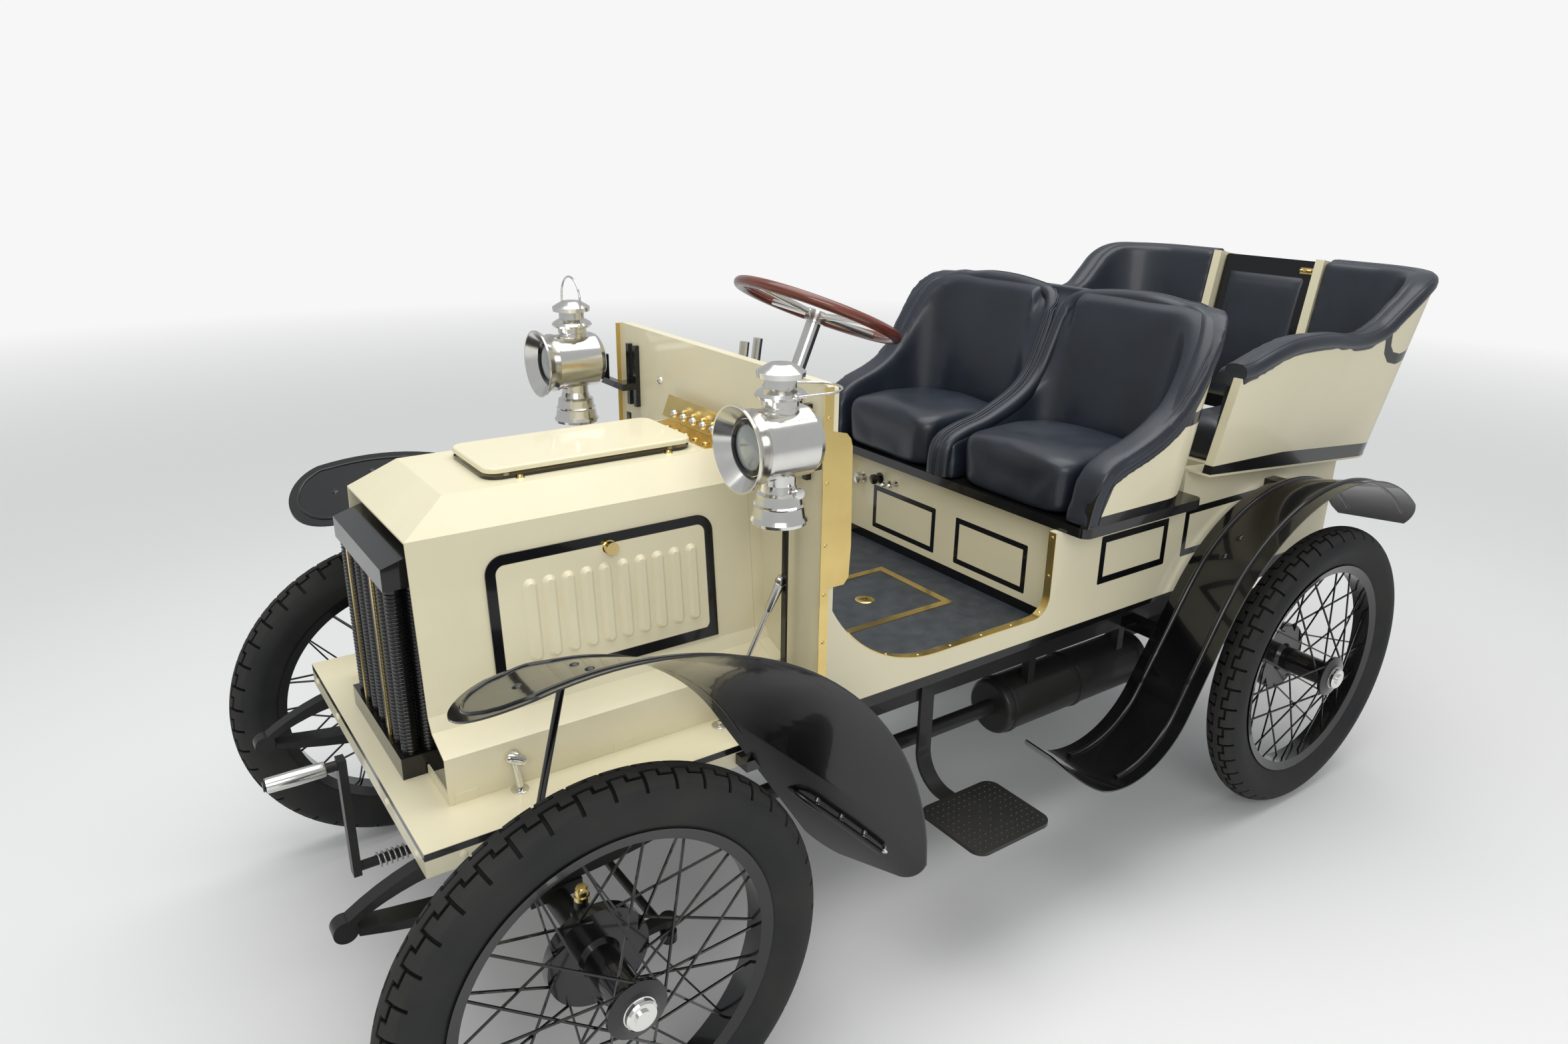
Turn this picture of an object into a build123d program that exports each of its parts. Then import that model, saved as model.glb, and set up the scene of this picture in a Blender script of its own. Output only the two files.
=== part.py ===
from build123d import *
import math
import os

# A light four-seat motor car of about 1904, all sizes in millimetres.
# It faces -X, its left side is -Y, and it stands on Z = 0.
# "Aft" sizes are measured rearwards from the front axle, and "half" sizes outwards from the centre line.

os.makedirs("parts", exist_ok=True)

# Overall length: what reaches ahead of the front axle, the wheelbase, and what reaches behind the rear axle
FRONT_REACH = 362.0
WHEELBASE = 1828.0
REAR_REACH = 519.7
FRONT_AXLE_X = FRONT_REACH - (FRONT_REACH + WHEELBASE + REAR_REACH) / 2

# Wheels
TRACK_HALF = 543.0
TYRE_R = 350.0
TYRE_HALF_WIDTH = 41.0
TYRE_BASE_R = 254.0
RIM_EDGE_R = 262.0
RIM_BED_HALF_WIDTH = 19.0
RIM_EDGE_HALF_WIDTH = 26.0
RIM_INNER_R = 243.0
RIM_INNER_HALF_WIDTH = 20.0
SPOKES_PER_FLANGE = 18
SPOKE_WIDTH = 3.2
SPOKE_LEAN_DEG = 62.0
SPOKE_RIM_OFFSET = 6.0
SPOKE_WEAVE = 3.2
HUB_INNER_OFFSET = -78.0
HUB_DRUM_R = 84.0
HUB_DRUM_WIDTH = 20.0
HUB_BARREL_R = 29.0
HUB_FLANGE_R = 48.0
HUB_FLANGE_OFFSET = 60.0
HUB_FLANGE_WIDTH = 7.0
HUB_CAP_R = 25.0
INNER_SPOKE_R = 62.0
HUB_CAP_OFFSET = 88.0
HUB_BORE_DEPTH = 132.0
SPINDLE_R = 15.0
RUNNING_CLEARANCE = 0.05

# Front axle and steering
KINGPIN_HALF = 425.0
KINGPIN_R = 9.0
KINGPIN_BOSS_R = 17.0
KINGPIN_BOSS_HEIGHT = 70.0
YOKE_EAR = 12.0
YOKE_GAP = 0.5
YOKE_WEB = 12.0
AXLE_TUBE_R = 20.0
STEER_ARM_AFT = 150.0
STEER_ARM_THICKNESS = 12.0
TRACK_ROD_R = 8.0
TRACK_ROD_DROP = 26.0
TRACK_ROD_EYE_HEIGHT = 18.0
TRACK_ROD_PIN_LENGTH = 38.0
TRACK_ROD_EYE_R = 14.0
TRACK_ROD_PIN_R = 6.0

# Frame and springs
RAIL_HALF = 304.0
RAIL_WIDTH = 34.0
RAIL_TOP = 528.0
RAIL_HEIGHT = 55.0
RAIL_START_AFT = -189.0
RAIL_END_AFT = 2110.0
CROSS_WIDTH = 40.0
CROSS_AFTS = (-150.0, 150.0, 380.0, 560.0, 1240.0, 2070.0)
DUMB_IRON_EYE_AFT = -318.0
DUMB_IRON_EYE_Z = 427.0
DUMB_IRON_EYE_R = 18.0
DUMB_IRON_WIDTH = 26.0
SPRING_WIDTH = 40.0
SPRING_THICKNESS = 26.0
FRONT_SPRING_REAR_AFT = 330.0
REAR_SPRING_HALF_LENGTH = 272.0
SPRING_END_Z = 432.0
SHACKLE_LENGTH = 16.0

# Body and deck
BODY_HALF = 372.0
WALL = 18.0
DECK_TOP = 542.0
DECK_THICKNESS = 14.0
DECK_GAP = 18.0
DECK_HALF = RAIL_HALF + RAIL_WIDTH / 2 + DECK_GAP + WALL
DECK_FRONT_AFT = -207.0
DECK_REAR_AFT = 494.0
FASCIA_HEIGHT = 42.0
DASH_AFT = 494.0
DASH_THICKNESS = 20.0
DASH_TOP = 1153.0
FLOOR_TOP = 560.0
FLOOR_THICKNESS = 14.0
BODY_BOTTOM = 535.0
BODY_TOP = 785.0
BODY_REAR_AFT = 2130.0
SEAT_BOX_AFT = 1128.0

# Door cut-outs of the body sides: the low line, and how far the ends stand from the dash
CUT_FRONT_Z = 755.0
CUT_SWEEP_AFT = 770.0
CUT_REAR_AFT = 1081.0
CUT_LOW_Z = 603.0
CUT_REAR_R = 45.0

# Bonnet
BONNET_FRONT_AFT = -138.0
BONNET_REAR_AFT = 470.0
BONNET_TOP = 997.0
BONNET_TOP_HALF = 121.0
BONNET_SHOULDER_Z = 948.0
BONNET_SHOULDER_HALF = 167.0
BONNET_SIDE_LOW_Z = 665.0
BONNET_SIDE_LOW_HALF = 194.0
SKIRT_TOP_Z = 622.0
SKIRT_HALF = 258.0
SKIRT_LOW_Z = 560.0
FACET_TOP_AFT = -62.0
SHEET = 3.0
BONNET_GAP = 0.5
BONNET_REST_AFTS = (-110.0, 160.0, 440.0)

# Bonnet side doors
SIDE_DOOR_FRONT_AFT = -24.0
SIDE_DOOR_REAR_AFT = 390.0
SIDE_DOOR_LOW_Z = 672.0
SIDE_DOOR_HEIGHT = 230.0
SIDE_DOOR_GAP = 0.5
SIDE_DOOR_CORNER_R = 32.0
SIDE_DOOR_LIP = 14.0
LOUVRES = 10
LOUVRE_PITCH = 33.0
LOUVRE_HEIGHT = 142.0
LOUVRE_WIDTH = 24.0
LOUVRE_BULGE = 8.0
LOUVRE_TAPER_DEG = 40.0
LOUVRE_AFT_SHIFT = 12.0
LOUVRE_DROP = 4.0
SIDE_KNOB_AFT = 190.0
SIDE_KNOB_DROP = 24.0
SIDE_KNOB_R = 11.0
SIDE_KNOB_LENGTH = 14.0

# Radiator
TANK_HALF = 146.0
TANK_FRONT_AFT = -172.0
TANK_DEPTH = 66.0
TANK_LOW_Z = 868.0
TANK_FRONT_TOP_Z = 905.0
TANK_REAR_TOP_Z = 926.0
RADIATOR_BASE_HEIGHT = 38.0
TUBES_ACROSS = 7
TUBE_ROWS = 2
TUBE_R = 12.5
TUBE_PITCH = 43.0
TUBE_ROW_PITCH = 30.0
STRAP_HALF = 72.0
STRAP_WIDTH = 9.0

# Front seats
SEAT_BASE_TOP = 806.0
SEAT_BASE_HALF = 432.0
SEAT_BASE_FRONT_AFT = 1096.0
SEAT_REAR_AFT = 1452.0
SEAT_CORNER_R = 110.0
SEAT_SHELL_WALL = 18.0
SEAT_LEAN_DEG = 7.3
SEAT_BACK_TOP = 1192.0
CUSHION_TOP = 925.0
SEAT_PADDING = 46.0
SEAT_ROLL_TOP = 18.0
ROLL_PROUD = 3.0
ROLL_AFT = 24.0
ROLL_DROP = 25.0

# Rear part
TONNEAU_FRONT_AFT = 1490.0
TONNEAU_HALF = 418.0
TONNEAU_REAR_AFT = 2262.0
TONNEAU_POST_HALF = 140.0
TONNEAU_POST_WIDTH = 24.0
TONNEAU_POST_DEPTH = 62.0
TONNEAU_BASE_Z = 790.0
TONNEAU_TOP_Z = 1245.0
TONNEAU_LEAN_DEG = 10.3
TONNEAU_WALL = 20.0
TONNEAU_CORNER_R = 132.0
TONNEAU_ROLL_TOP = 12.0
LEDGE = 5.0

# Belt line that the tonneau stands on, as (aft, z)
BELT_LINE = (
    (1400.0, 864.0),
    (2140.0, 797.0),
    (2400.0, 791.0),
)

# Mudguards and the front ones' stays
GUARD_THICKNESS = 3.0
FRONT_GUARD_INNER_HALF = DECK_HALF + 28
FRONT_GUARD_OUTER_HALF = TRACK_HALF + 42
REAR_GUARD_INNER_HALF = BODY_HALF + 20
REAR_GUARD_OUTER_HALF = TRACK_HALF + 47
STAY_AFT = -55.0
STAY_R = 6.0


def side_plane(half):
    # Local x is aft, local y is height, and a sketch extrudes towards -Y
    return Plane(origin=(FRONT_AXLE_X, half, 0), x_dir=(1, 0, 0), z_dir=(0, -1, 0))


def plan_plane(height):
    # Local x is aft, local y is the car's right
    return Plane(origin=(FRONT_AXLE_X, 0, height), x_dir=(1, 0, 0), z_dir=(0, 0, 1))


def cross_plane(aft):
    # Local x is the car's right, local y is height, and a sketch extrudes rearwards
    return Plane(origin=(FRONT_AXLE_X + aft, 0, 0), x_dir=(0, 1, 0), z_dir=(1, 0, 0))


def save(builder, label):
    builder.part.label = label
    export_step(builder.part, f"parts/{label}.step")


def block(aft, half, height, length, width, depth):
    # A box from its lowest aft, right and height
    with Locations((FRONT_AXLE_X + aft, half, height)):
        Box(length, width, depth, align=(Align.MIN, Align.MIN, Align.MIN))


def centred_block(aft, height, length, width, depth):
    with Locations((FRONT_AXLE_X + aft, 0, height)):
        Box(length, width, depth, align=(Align.MIN, Align.CENTER, Align.MIN))


# A level above everything
SKY_Z = 2000.0
# Wider than the car, for cuts that go right across it
ACROSS = 1400.0


def belt_slab(shift, far_z, how):
    # A slab across the car between the belt line, shifted in height, and a level far above or below it
    with BuildSketch(side_plane(ACROSS / 2)) as region:
        with BuildLine():
            Polyline(
                *[(aft, z + shift) for aft, z in BELT_LINE],
                (BELT_LINE[-1][0], far_z),
                (BELT_LINE[0][0], far_z),
                close=True,
            )
        make_face()
    extrude(region.sketch, amount=ACROSS, mode=how)


# Wheel, drawn with its axle along Z and its outboard side up

TYRE_RUNS = 10
TYRE_TURN_DEG = 108.0

with BuildPart() as tyre_form:
    with BuildSketch(Plane.XZ) as tyre_profile:
        with BuildLine():
            # Round section, drawn with straight runs to keep the ring light
            runs = []
            for step in range(TYRE_RUNS + 1):
                turn = math.radians(TYRE_TURN_DEG * (2 * step / TYRE_RUNS - 1))
                runs.append(
                    (
                        TYRE_R - TYRE_HALF_WIDTH * (1 - math.cos(turn)),
                        TYRE_HALF_WIDTH * math.sin(turn),
                    )
                )
            Polyline(
                *runs,
                (TYRE_BASE_R, RIM_BED_HALF_WIDTH),
                (TYRE_BASE_R, -RIM_BED_HALF_WIDTH),
                close=True,
            )
        make_face()
    revolve(axis=Axis.Z)


def spoke_ends(flange_r, flange_offset, rim_offset, angle, lean):
    start = Vector(flange_r, 0, flange_offset).rotate(Axis.Z, angle)
    rim_r = RIM_INNER_R + 4
    end = Vector(rim_r, 0, rim_offset).rotate(Axis.Z, angle + lean)
    return start, end


with BuildPart() as wheel_form:
    # Rim
    with BuildSketch(Plane.XZ):
        with BuildLine():
            Polyline(
                (RIM_EDGE_R, -RIM_EDGE_HALF_WIDTH),
                (TYRE_BASE_R, -RIM_BED_HALF_WIDTH),
                (TYRE_BASE_R, RIM_BED_HALF_WIDTH),
                (RIM_EDGE_R, RIM_EDGE_HALF_WIDTH),
                (RIM_INNER_R, RIM_INNER_HALF_WIDTH),
                (RIM_INNER_R, -RIM_INNER_HALF_WIDTH),
                close=True,
            )
        make_face()
    revolve(axis=Axis.Z)
    # Hub with its brake drum, long barrel, outer flange and cap
    with BuildSketch(Plane.XZ):
        with BuildLine():
            Polyline(
                (0, HUB_INNER_OFFSET),
                (HUB_DRUM_R, HUB_INNER_OFFSET),
                (HUB_DRUM_R, HUB_INNER_OFFSET + HUB_DRUM_WIDTH),
                (HUB_BARREL_R + 6, HUB_INNER_OFFSET + HUB_DRUM_WIDTH),
                (HUB_BARREL_R, HUB_INNER_OFFSET + HUB_DRUM_WIDTH + 8),
                (HUB_BARREL_R, HUB_FLANGE_OFFSET),
                (HUB_FLANGE_R, HUB_FLANGE_OFFSET),
                (HUB_FLANGE_R, HUB_FLANGE_OFFSET + HUB_FLANGE_WIDTH),
                (HUB_CAP_R + 8, HUB_FLANGE_OFFSET + HUB_FLANGE_WIDTH + 4),
                (HUB_CAP_R, HUB_FLANGE_OFFSET + HUB_FLANGE_WIDTH + 7),
                (HUB_CAP_R, HUB_CAP_OFFSET - 7),
                (HUB_CAP_R - 3, HUB_CAP_OFFSET - 4),
                (HUB_CAP_R / 2, HUB_CAP_OFFSET - 4),
                (HUB_CAP_R / 2, HUB_CAP_OFFSET),
                (0, HUB_CAP_OFFSET),
                close=True,
            )
        make_face()
    revolve(axis=Axis.Z)
    # Crossed spokes from both flanges, heads in turn on each side of the flange
    for flange_r, flange_offset, rim_offset in (
        (HUB_FLANGE_R - 5, HUB_FLANGE_OFFSET + HUB_FLANGE_WIDTH / 2, SPOKE_RIM_OFFSET),
        (INNER_SPOKE_R, HUB_INNER_OFFSET + HUB_DRUM_WIDTH / 2, -SPOKE_RIM_OFFSET),
    ):
        for index in range(SPOKES_PER_FLANGE):
            side = 1 if index % 2 == 0 else -1
            start, end = spoke_ends(
                flange_r,
                flange_offset + side * SPOKE_WEAVE,
                rim_offset,
                index * 360 / SPOKES_PER_FLANGE,
                side * SPOKE_LEAN_DEG,
            )
            with BuildSketch(Plane(origin=start, z_dir=end - start)):
                Rectangle(SPOKE_WIDTH, SPOKE_WIDTH)
            extrude(amount=(end - start).length)
    # Bore for the axle's spindle
    with Locations((0, 0, HUB_INNER_OFFSET)):
        Cylinder(
            SPINDLE_R + RUNNING_CLEARANCE,
            HUB_BORE_DEPTH,
            align=(Align.CENTER, Align.CENTER, Align.MIN),
            mode=Mode.SUBTRACT,
        )

# Corner name, aft of its axle, and the side its outboard face looks to
CORNERS = (
    ("front_left", 0.0, -1),
    ("front_right", 0.0, 1),
    ("rear_left", WHEELBASE, -1),
    ("rear_right", WHEELBASE, 1),
)
for corner, aft, side in CORNERS:
    place = Plane(
        origin=(FRONT_AXLE_X + aft, side * TRACK_HALF, TYRE_R),
        x_dir=(1, 0, 0),
        z_dir=(0, side, 0),
    )
    with BuildPart() as tyre:
        with Locations(place.location):
            add(tyre_form.part)
    save(tyre, f"tyre_{corner}")
    with BuildPart() as wheel:
        with Locations(place.location):
            add(wheel_form.part)
    save(wheel, f"wheel_{corner}")

# Front axle: a tube between two upright bosses, with a pad under each spring

PAD_TOP = TYRE_R + AXLE_TUBE_R + 4
with BuildPart() as front_axle:
    with Locations(Location((FRONT_AXLE_X, 0, TYRE_R), (90, 0, 0))):
        Cylinder(AXLE_TUBE_R, 2 * KINGPIN_HALF)
    for side in (-1, 1):
        with Locations((FRONT_AXLE_X, side * KINGPIN_HALF, TYRE_R)):
            Cylinder(KINGPIN_BOSS_R, KINGPIN_BOSS_HEIGHT)
            Cylinder(KINGPIN_R + RUNNING_CLEARANCE, KINGPIN_BOSS_HEIGHT, mode=Mode.SUBTRACT)
        with Locations((FRONT_AXLE_X, side * RAIL_HALF, TYRE_R)):
            Box(90, SPRING_WIDTH + 8, PAD_TOP - TYRE_R, align=(Align.CENTER, Align.CENTER, Align.MIN))
save(front_axle, "front_axle")

# Steering knuckles: a yoke over the axle's boss, its pin, the wheel's spindle and the steering arm

HUB_INNER_HALF = TRACK_HALF + HUB_INNER_OFFSET
YOKE_HALF_HEIGHT = KINGPIN_BOSS_HEIGHT / 2 + YOKE_GAP
WEB_INNER_HALF = KINGPIN_HALF + KINGPIN_BOSS_R + 1.5
ARM_END_AFT = STEER_ARM_AFT
ARM_END_HALF = KINGPIN_HALF
ARM_Z = TYRE_R - YOKE_HALF_HEIGHT - YOKE_EAR
for name, side in (("left", -1), ("right", 1)):
    with BuildPart() as knuckle:
        with Locations((FRONT_AXLE_X, side * KINGPIN_HALF, TYRE_R)):
            Cylinder(KINGPIN_R, 2 * (YOKE_HALF_HEIGHT + YOKE_EAR))
        for up in (-1, 1):
            middle = TYRE_R + up * (YOKE_HALF_HEIGHT + YOKE_EAR / 2)
            with Locations((FRONT_AXLE_X, side * KINGPIN_HALF, middle)):
                Cylinder(KINGPIN_BOSS_R, YOKE_EAR)
            with Locations((FRONT_AXLE_X, side * (KINGPIN_HALF + WEB_INNER_HALF + YOKE_WEB) / 2, middle)):
                Box(2 * KINGPIN_BOSS_R - 4, WEB_INNER_HALF + YOKE_WEB - KINGPIN_HALF, YOKE_EAR)
        with Locations((FRONT_AXLE_X, side * (WEB_INNER_HALF + YOKE_WEB / 2), TYRE_R)):
            Box(2 * KINGPIN_BOSS_R - 4, YOKE_WEB, 2 * (YOKE_HALF_HEIGHT + YOKE_EAR))
        spindle_length = HUB_INNER_HALF + HUB_BORE_DEPTH - 6 - WEB_INNER_HALF
        with Locations(Location((FRONT_AXLE_X, side * (WEB_INNER_HALF + spindle_length / 2), TYRE_R), (90, 0, 0))):
            Cylinder(SPINDLE_R, spindle_length)
        # Grease cap on the pin
        with Locations((FRONT_AXLE_X, side * KINGPIN_HALF, TYRE_R + YOKE_HALF_HEIGHT + YOKE_EAR)):
            Cylinder(KINGPIN_R + 2, 22, align=(Align.CENTER, Align.CENTER, Align.MIN))
        # Arm to the track rod, tapering from the lower ear
        with BuildSketch(plan_plane(ARM_Z)):
            with BuildLine():
                Polyline(
                    (0, side * (KINGPIN_HALF - KINGPIN_BOSS_R)),
                    (0, side * (KINGPIN_HALF + KINGPIN_BOSS_R)),
                    (ARM_END_AFT, side * (ARM_END_HALF + 10)),
                    (ARM_END_AFT, side * (ARM_END_HALF - 10)),
                    close=True,
                )
            make_face()
            with Locations((ARM_END_AFT, side * ARM_END_HALF)):
                Circle(TRACK_ROD_EYE_R)
        extrude(amount=STEER_ARM_THICKNESS)
        # Ball pin that the track rod's eye turns on
        with Locations((FRONT_AXLE_X + ARM_END_AFT, side * ARM_END_HALF, ARM_Z)):
            Cylinder(
                TRACK_ROD_PIN_R,
                TRACK_ROD_PIN_LENGTH,
                align=(Align.CENTER, Align.CENTER, Align.MAX),
            )
    save(knuckle, f"knuckle_{name}")

# Track rod: eyes under the two arms, the right one opened for clearance

TRACK_ROD_Z = ARM_Z - TRACK_ROD_DROP
with BuildPart() as track_rod:
    with Locations(Location((FRONT_AXLE_X + ARM_END_AFT, 0, TRACK_ROD_Z), (90, 0, 0))):
        Cylinder(TRACK_ROD_R, 2 * (ARM_END_HALF - TRACK_ROD_EYE_R + 2))
    for side in (-1, 1):
        with Locations((FRONT_AXLE_X + ARM_END_AFT, side * ARM_END_HALF, TRACK_ROD_Z)):
            Cylinder(TRACK_ROD_EYE_R, TRACK_ROD_EYE_HEIGHT)
    with Locations((FRONT_AXLE_X + ARM_END_AFT, -ARM_END_HALF, TRACK_ROD_Z)):
        Cylinder(TRACK_ROD_PIN_R + RUNNING_CLEARANCE, TRACK_ROD_EYE_HEIGHT, mode=Mode.SUBTRACT)
    with Locations((FRONT_AXLE_X + ARM_END_AFT, ARM_END_HALF, TRACK_ROD_Z)):
        Cylinder(TRACK_ROD_PIN_R + 1.0, TRACK_ROD_EYE_HEIGHT, mode=Mode.SUBTRACT)
save(track_rod, "track_rod")

# Rear axle: tube with the final drive's round casing, flanges and spring pads

REAR_AXLE_X = FRONT_AXLE_X + WHEELBASE
REAR_TUBE_R = 27.0
DRIVE_CASE_R = 105.0
REAR_PAD_TOP = TYRE_R + REAR_TUBE_R + 4
DRUM_GAP = 5.0
TORQUE_TUBE_R = 20.0
TORQUE_TUBE_Z = 382.0
GEARBOX_AFT = 600.0
GEARBOX_LENGTH = 300.0
DRIVE_CASE_HALF = 95.0
DRIVE_CASE_EDGE_R = 40.0
DRIVE_CASE_CROWN_HALF = 70.0
with BuildPart() as rear_axle:
    with Locations(Location((REAR_AXLE_X, 0, TYRE_R), (90, 0, 0))):
        Cylinder(REAR_TUBE_R, 2 * (HUB_INNER_HALF - DRUM_GAP))
        Cylinder(SPINDLE_R, 2 * (HUB_INNER_HALF + HUB_BORE_DEPTH - 6))
    with BuildSketch(Plane(origin=(REAR_AXLE_X, 0, TYRE_R), x_dir=(0, 1, 0), z_dir=(1, 0, 0))):
        with BuildLine():
            Polyline(
                (-DRIVE_CASE_HALF, 0),
                (-DRIVE_CASE_HALF, DRIVE_CASE_EDGE_R),
                (-DRIVE_CASE_CROWN_HALF, DRIVE_CASE_R),
                (DRIVE_CASE_CROWN_HALF, DRIVE_CASE_R),
                (DRIVE_CASE_HALF, DRIVE_CASE_EDGE_R),
                (DRIVE_CASE_HALF, 0),
                close=True,
            )
        make_face()
    revolve(axis=Axis((REAR_AXLE_X, 0, TYRE_R), (0, 1, 0)))
    for side in (-1, 1):
        with Locations((REAR_AXLE_X, side * RAIL_HALF, TYRE_R)):
            Box(100, SPRING_WIDTH + 8, REAR_PAD_TOP - TYRE_R, align=(Align.CENTER, Align.CENTER, Align.MIN))
    # Torque tube forward to the gearbox
    tube_start = GEARBOX_AFT + GEARBOX_LENGTH
    with Locations(Location((FRONT_AXLE_X + tube_start, 0, TORQUE_TUBE_Z), (0, 90, 0))):
        Cylinder(
            TORQUE_TUBE_R,
            WHEELBASE - 60 - tube_start,
            align=(Align.CENTER, Align.CENTER, Align.MIN),
        )
save(rear_axle, "rear_axle")

# Frame: two long rails with the sills on them, cross members, and a curved dumb iron before each rail

IRON_ROOT_TOP = DECK_TOP - FASCIA_HEIGHT - 2
IRON_ROOT_LOW = RAIL_TOP - RAIL_HEIGHT
IRON_TIP_TOP = 14.0
IRON_TIP_LOW = 2.0
IRON_RISE = 7.0


def iron_middle(root_z, tip_z):
    # Middle of one edge of the curved iron, arched over the straight line between its ends
    return ((RAIL_START_AFT + DUMB_IRON_EYE_AFT) / 2, (root_z + tip_z) / 2 + IRON_RISE)


with BuildPart() as frame:
    for side in (-1, 1):
        block(
            RAIL_START_AFT,
            side * RAIL_HALF - RAIL_WIDTH / 2,
            RAIL_TOP - RAIL_HEIGHT,
            RAIL_END_AFT - RAIL_START_AFT,
            RAIL_WIDTH,
            RAIL_HEIGHT,
        )
        block(
            DASH_AFT + DASH_THICKNESS,
            side * RAIL_HALF - RAIL_WIDTH / 2,
            RAIL_TOP,
            RAIL_END_AFT - DASH_AFT - DASH_THICKNESS,
            RAIL_WIDTH,
            FLOOR_TOP - FLOOR_THICKNESS - RAIL_TOP,
        )
        with BuildSketch(side_plane(side * RAIL_HALF + DUMB_IRON_WIDTH / 2)):
            with BuildLine():
                ThreePointArc(
                    (RAIL_START_AFT, IRON_ROOT_TOP),
                    iron_middle(IRON_ROOT_TOP, DUMB_IRON_EYE_Z + IRON_TIP_TOP),
                    (DUMB_IRON_EYE_AFT, DUMB_IRON_EYE_Z + IRON_TIP_TOP),
                )
                Line(
                    (DUMB_IRON_EYE_AFT, DUMB_IRON_EYE_Z + IRON_TIP_TOP),
                    (DUMB_IRON_EYE_AFT, DUMB_IRON_EYE_Z + IRON_TIP_LOW),
                )
                ThreePointArc(
                    (DUMB_IRON_EYE_AFT, DUMB_IRON_EYE_Z + IRON_TIP_LOW),
                    iron_middle(IRON_ROOT_LOW, DUMB_IRON_EYE_Z + IRON_TIP_LOW),
                    (RAIL_START_AFT, IRON_ROOT_LOW),
                )
                Line((RAIL_START_AFT, IRON_ROOT_LOW), (RAIL_START_AFT, IRON_ROOT_TOP))
            make_face()
            with Locations((DUMB_IRON_EYE_AFT, DUMB_IRON_EYE_Z)):
                Circle(DUMB_IRON_EYE_R)
        extrude(amount=DUMB_IRON_WIDTH)
    for cross_aft in CROSS_AFTS:
        centred_block(cross_aft, RAIL_TOP - RAIL_HEIGHT, CROSS_WIDTH, 2 * RAIL_HALF, RAIL_HEIGHT - 8)
save(frame, "frame")

# Leaf springs: one curved pack each, from a dumb iron's eye or a shackle to the next shackle


def spring_pair(front_aft, middle_aft, rear_aft, front_z, pad_top, shackle_afts):
    for side in (-1, 1):
        with BuildSketch(side_plane(side * RAIL_HALF + SPRING_WIDTH / 2)) as pack:
            with BuildLine():
                upper = ThreePointArc(
                    (front_aft, front_z + 4),
                    (middle_aft, pad_top + SPRING_THICKNESS),
                    (rear_aft, SPRING_END_Z + 4),
                )
                lower = ThreePointArc(
                    (front_aft, front_z - 4),
                    (middle_aft, pad_top),
                    (rear_aft, SPRING_END_Z - 4),
                )
                Line(upper @ 0, lower @ 0)
                Line(upper @ 1, lower @ 1)
            make_face()
        extrude(pack.sketch, amount=SPRING_WIDTH)
        for shackle_aft in shackle_afts:
            block(
                shackle_aft,
                side * RAIL_HALF - SPRING_WIDTH / 2,
                SPRING_END_Z - 4,
                SHACKLE_LENGTH,
                SPRING_WIDTH,
                RAIL_TOP - RAIL_HEIGHT - SPRING_END_Z + 4,
            )


REAR_SPRING_FRONT_AFT = WHEELBASE - REAR_SPRING_HALF_LENGTH
REAR_SPRING_REAR_AFT = WHEELBASE + REAR_SPRING_HALF_LENGTH
with BuildPart() as leaf_springs:
    spring_pair(
        DUMB_IRON_EYE_AFT + 4,
        0,
        FRONT_SPRING_REAR_AFT,
        DUMB_IRON_EYE_Z,
        PAD_TOP,
        (FRONT_SPRING_REAR_AFT - SHACKLE_LENGTH,),
    )
    spring_pair(
        REAR_SPRING_FRONT_AFT,
        WHEELBASE,
        REAR_SPRING_REAR_AFT,
        SPRING_END_Z,
        REAR_PAD_TOP,
        (REAR_SPRING_FRONT_AFT, REAR_SPRING_REAR_AFT - SHACKLE_LENGTH),
    )
    # The front ends fit round the dumb irons' eyes
    with Locations(Location((FRONT_AXLE_X + DUMB_IRON_EYE_AFT, 0, DUMB_IRON_EYE_Z), (90, 0, 0))):
        Cylinder(DUMB_IRON_EYE_R, 2 * RAIL_HALF + SPRING_WIDTH + 10, mode=Mode.SUBTRACT)
save(leaf_springs, "leaf_springs")

# Engine, one plain block behind the front axle

ENGINE_AFT = 190.0
ENGINE_LENGTH = 190.0
ENGINE_WIDTH = 230.0
ENGINE_LOW_Z = 240.0
ENGINE_TOP = 820.0
with BuildPart() as engine:
    centred_block(ENGINE_AFT, ENGINE_LOW_Z, ENGINE_LENGTH, ENGINE_WIDTH, ENGINE_TOP - ENGINE_LOW_Z)
save(engine, "engine")

# Gearbox under the floor, behind a cross member

GEARBOX_LOW_Z = 350.0
GEARBOX_WIDTH = 260.0
GEARBOX_HEIGHT = 160.0
GEARBOX_CORNER_R = 30.0
with BuildPart() as gearbox:
    centred_block(GEARBOX_AFT, GEARBOX_LOW_Z, GEARBOX_LENGTH, GEARBOX_WIDTH, GEARBOX_HEIGHT)
    fillet(gearbox.edges().filter_by(Axis.X), GEARBOX_CORNER_R)
save(gearbox, "gearbox")

# Starting handle: shaft under the deck, upright arm and grip

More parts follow.
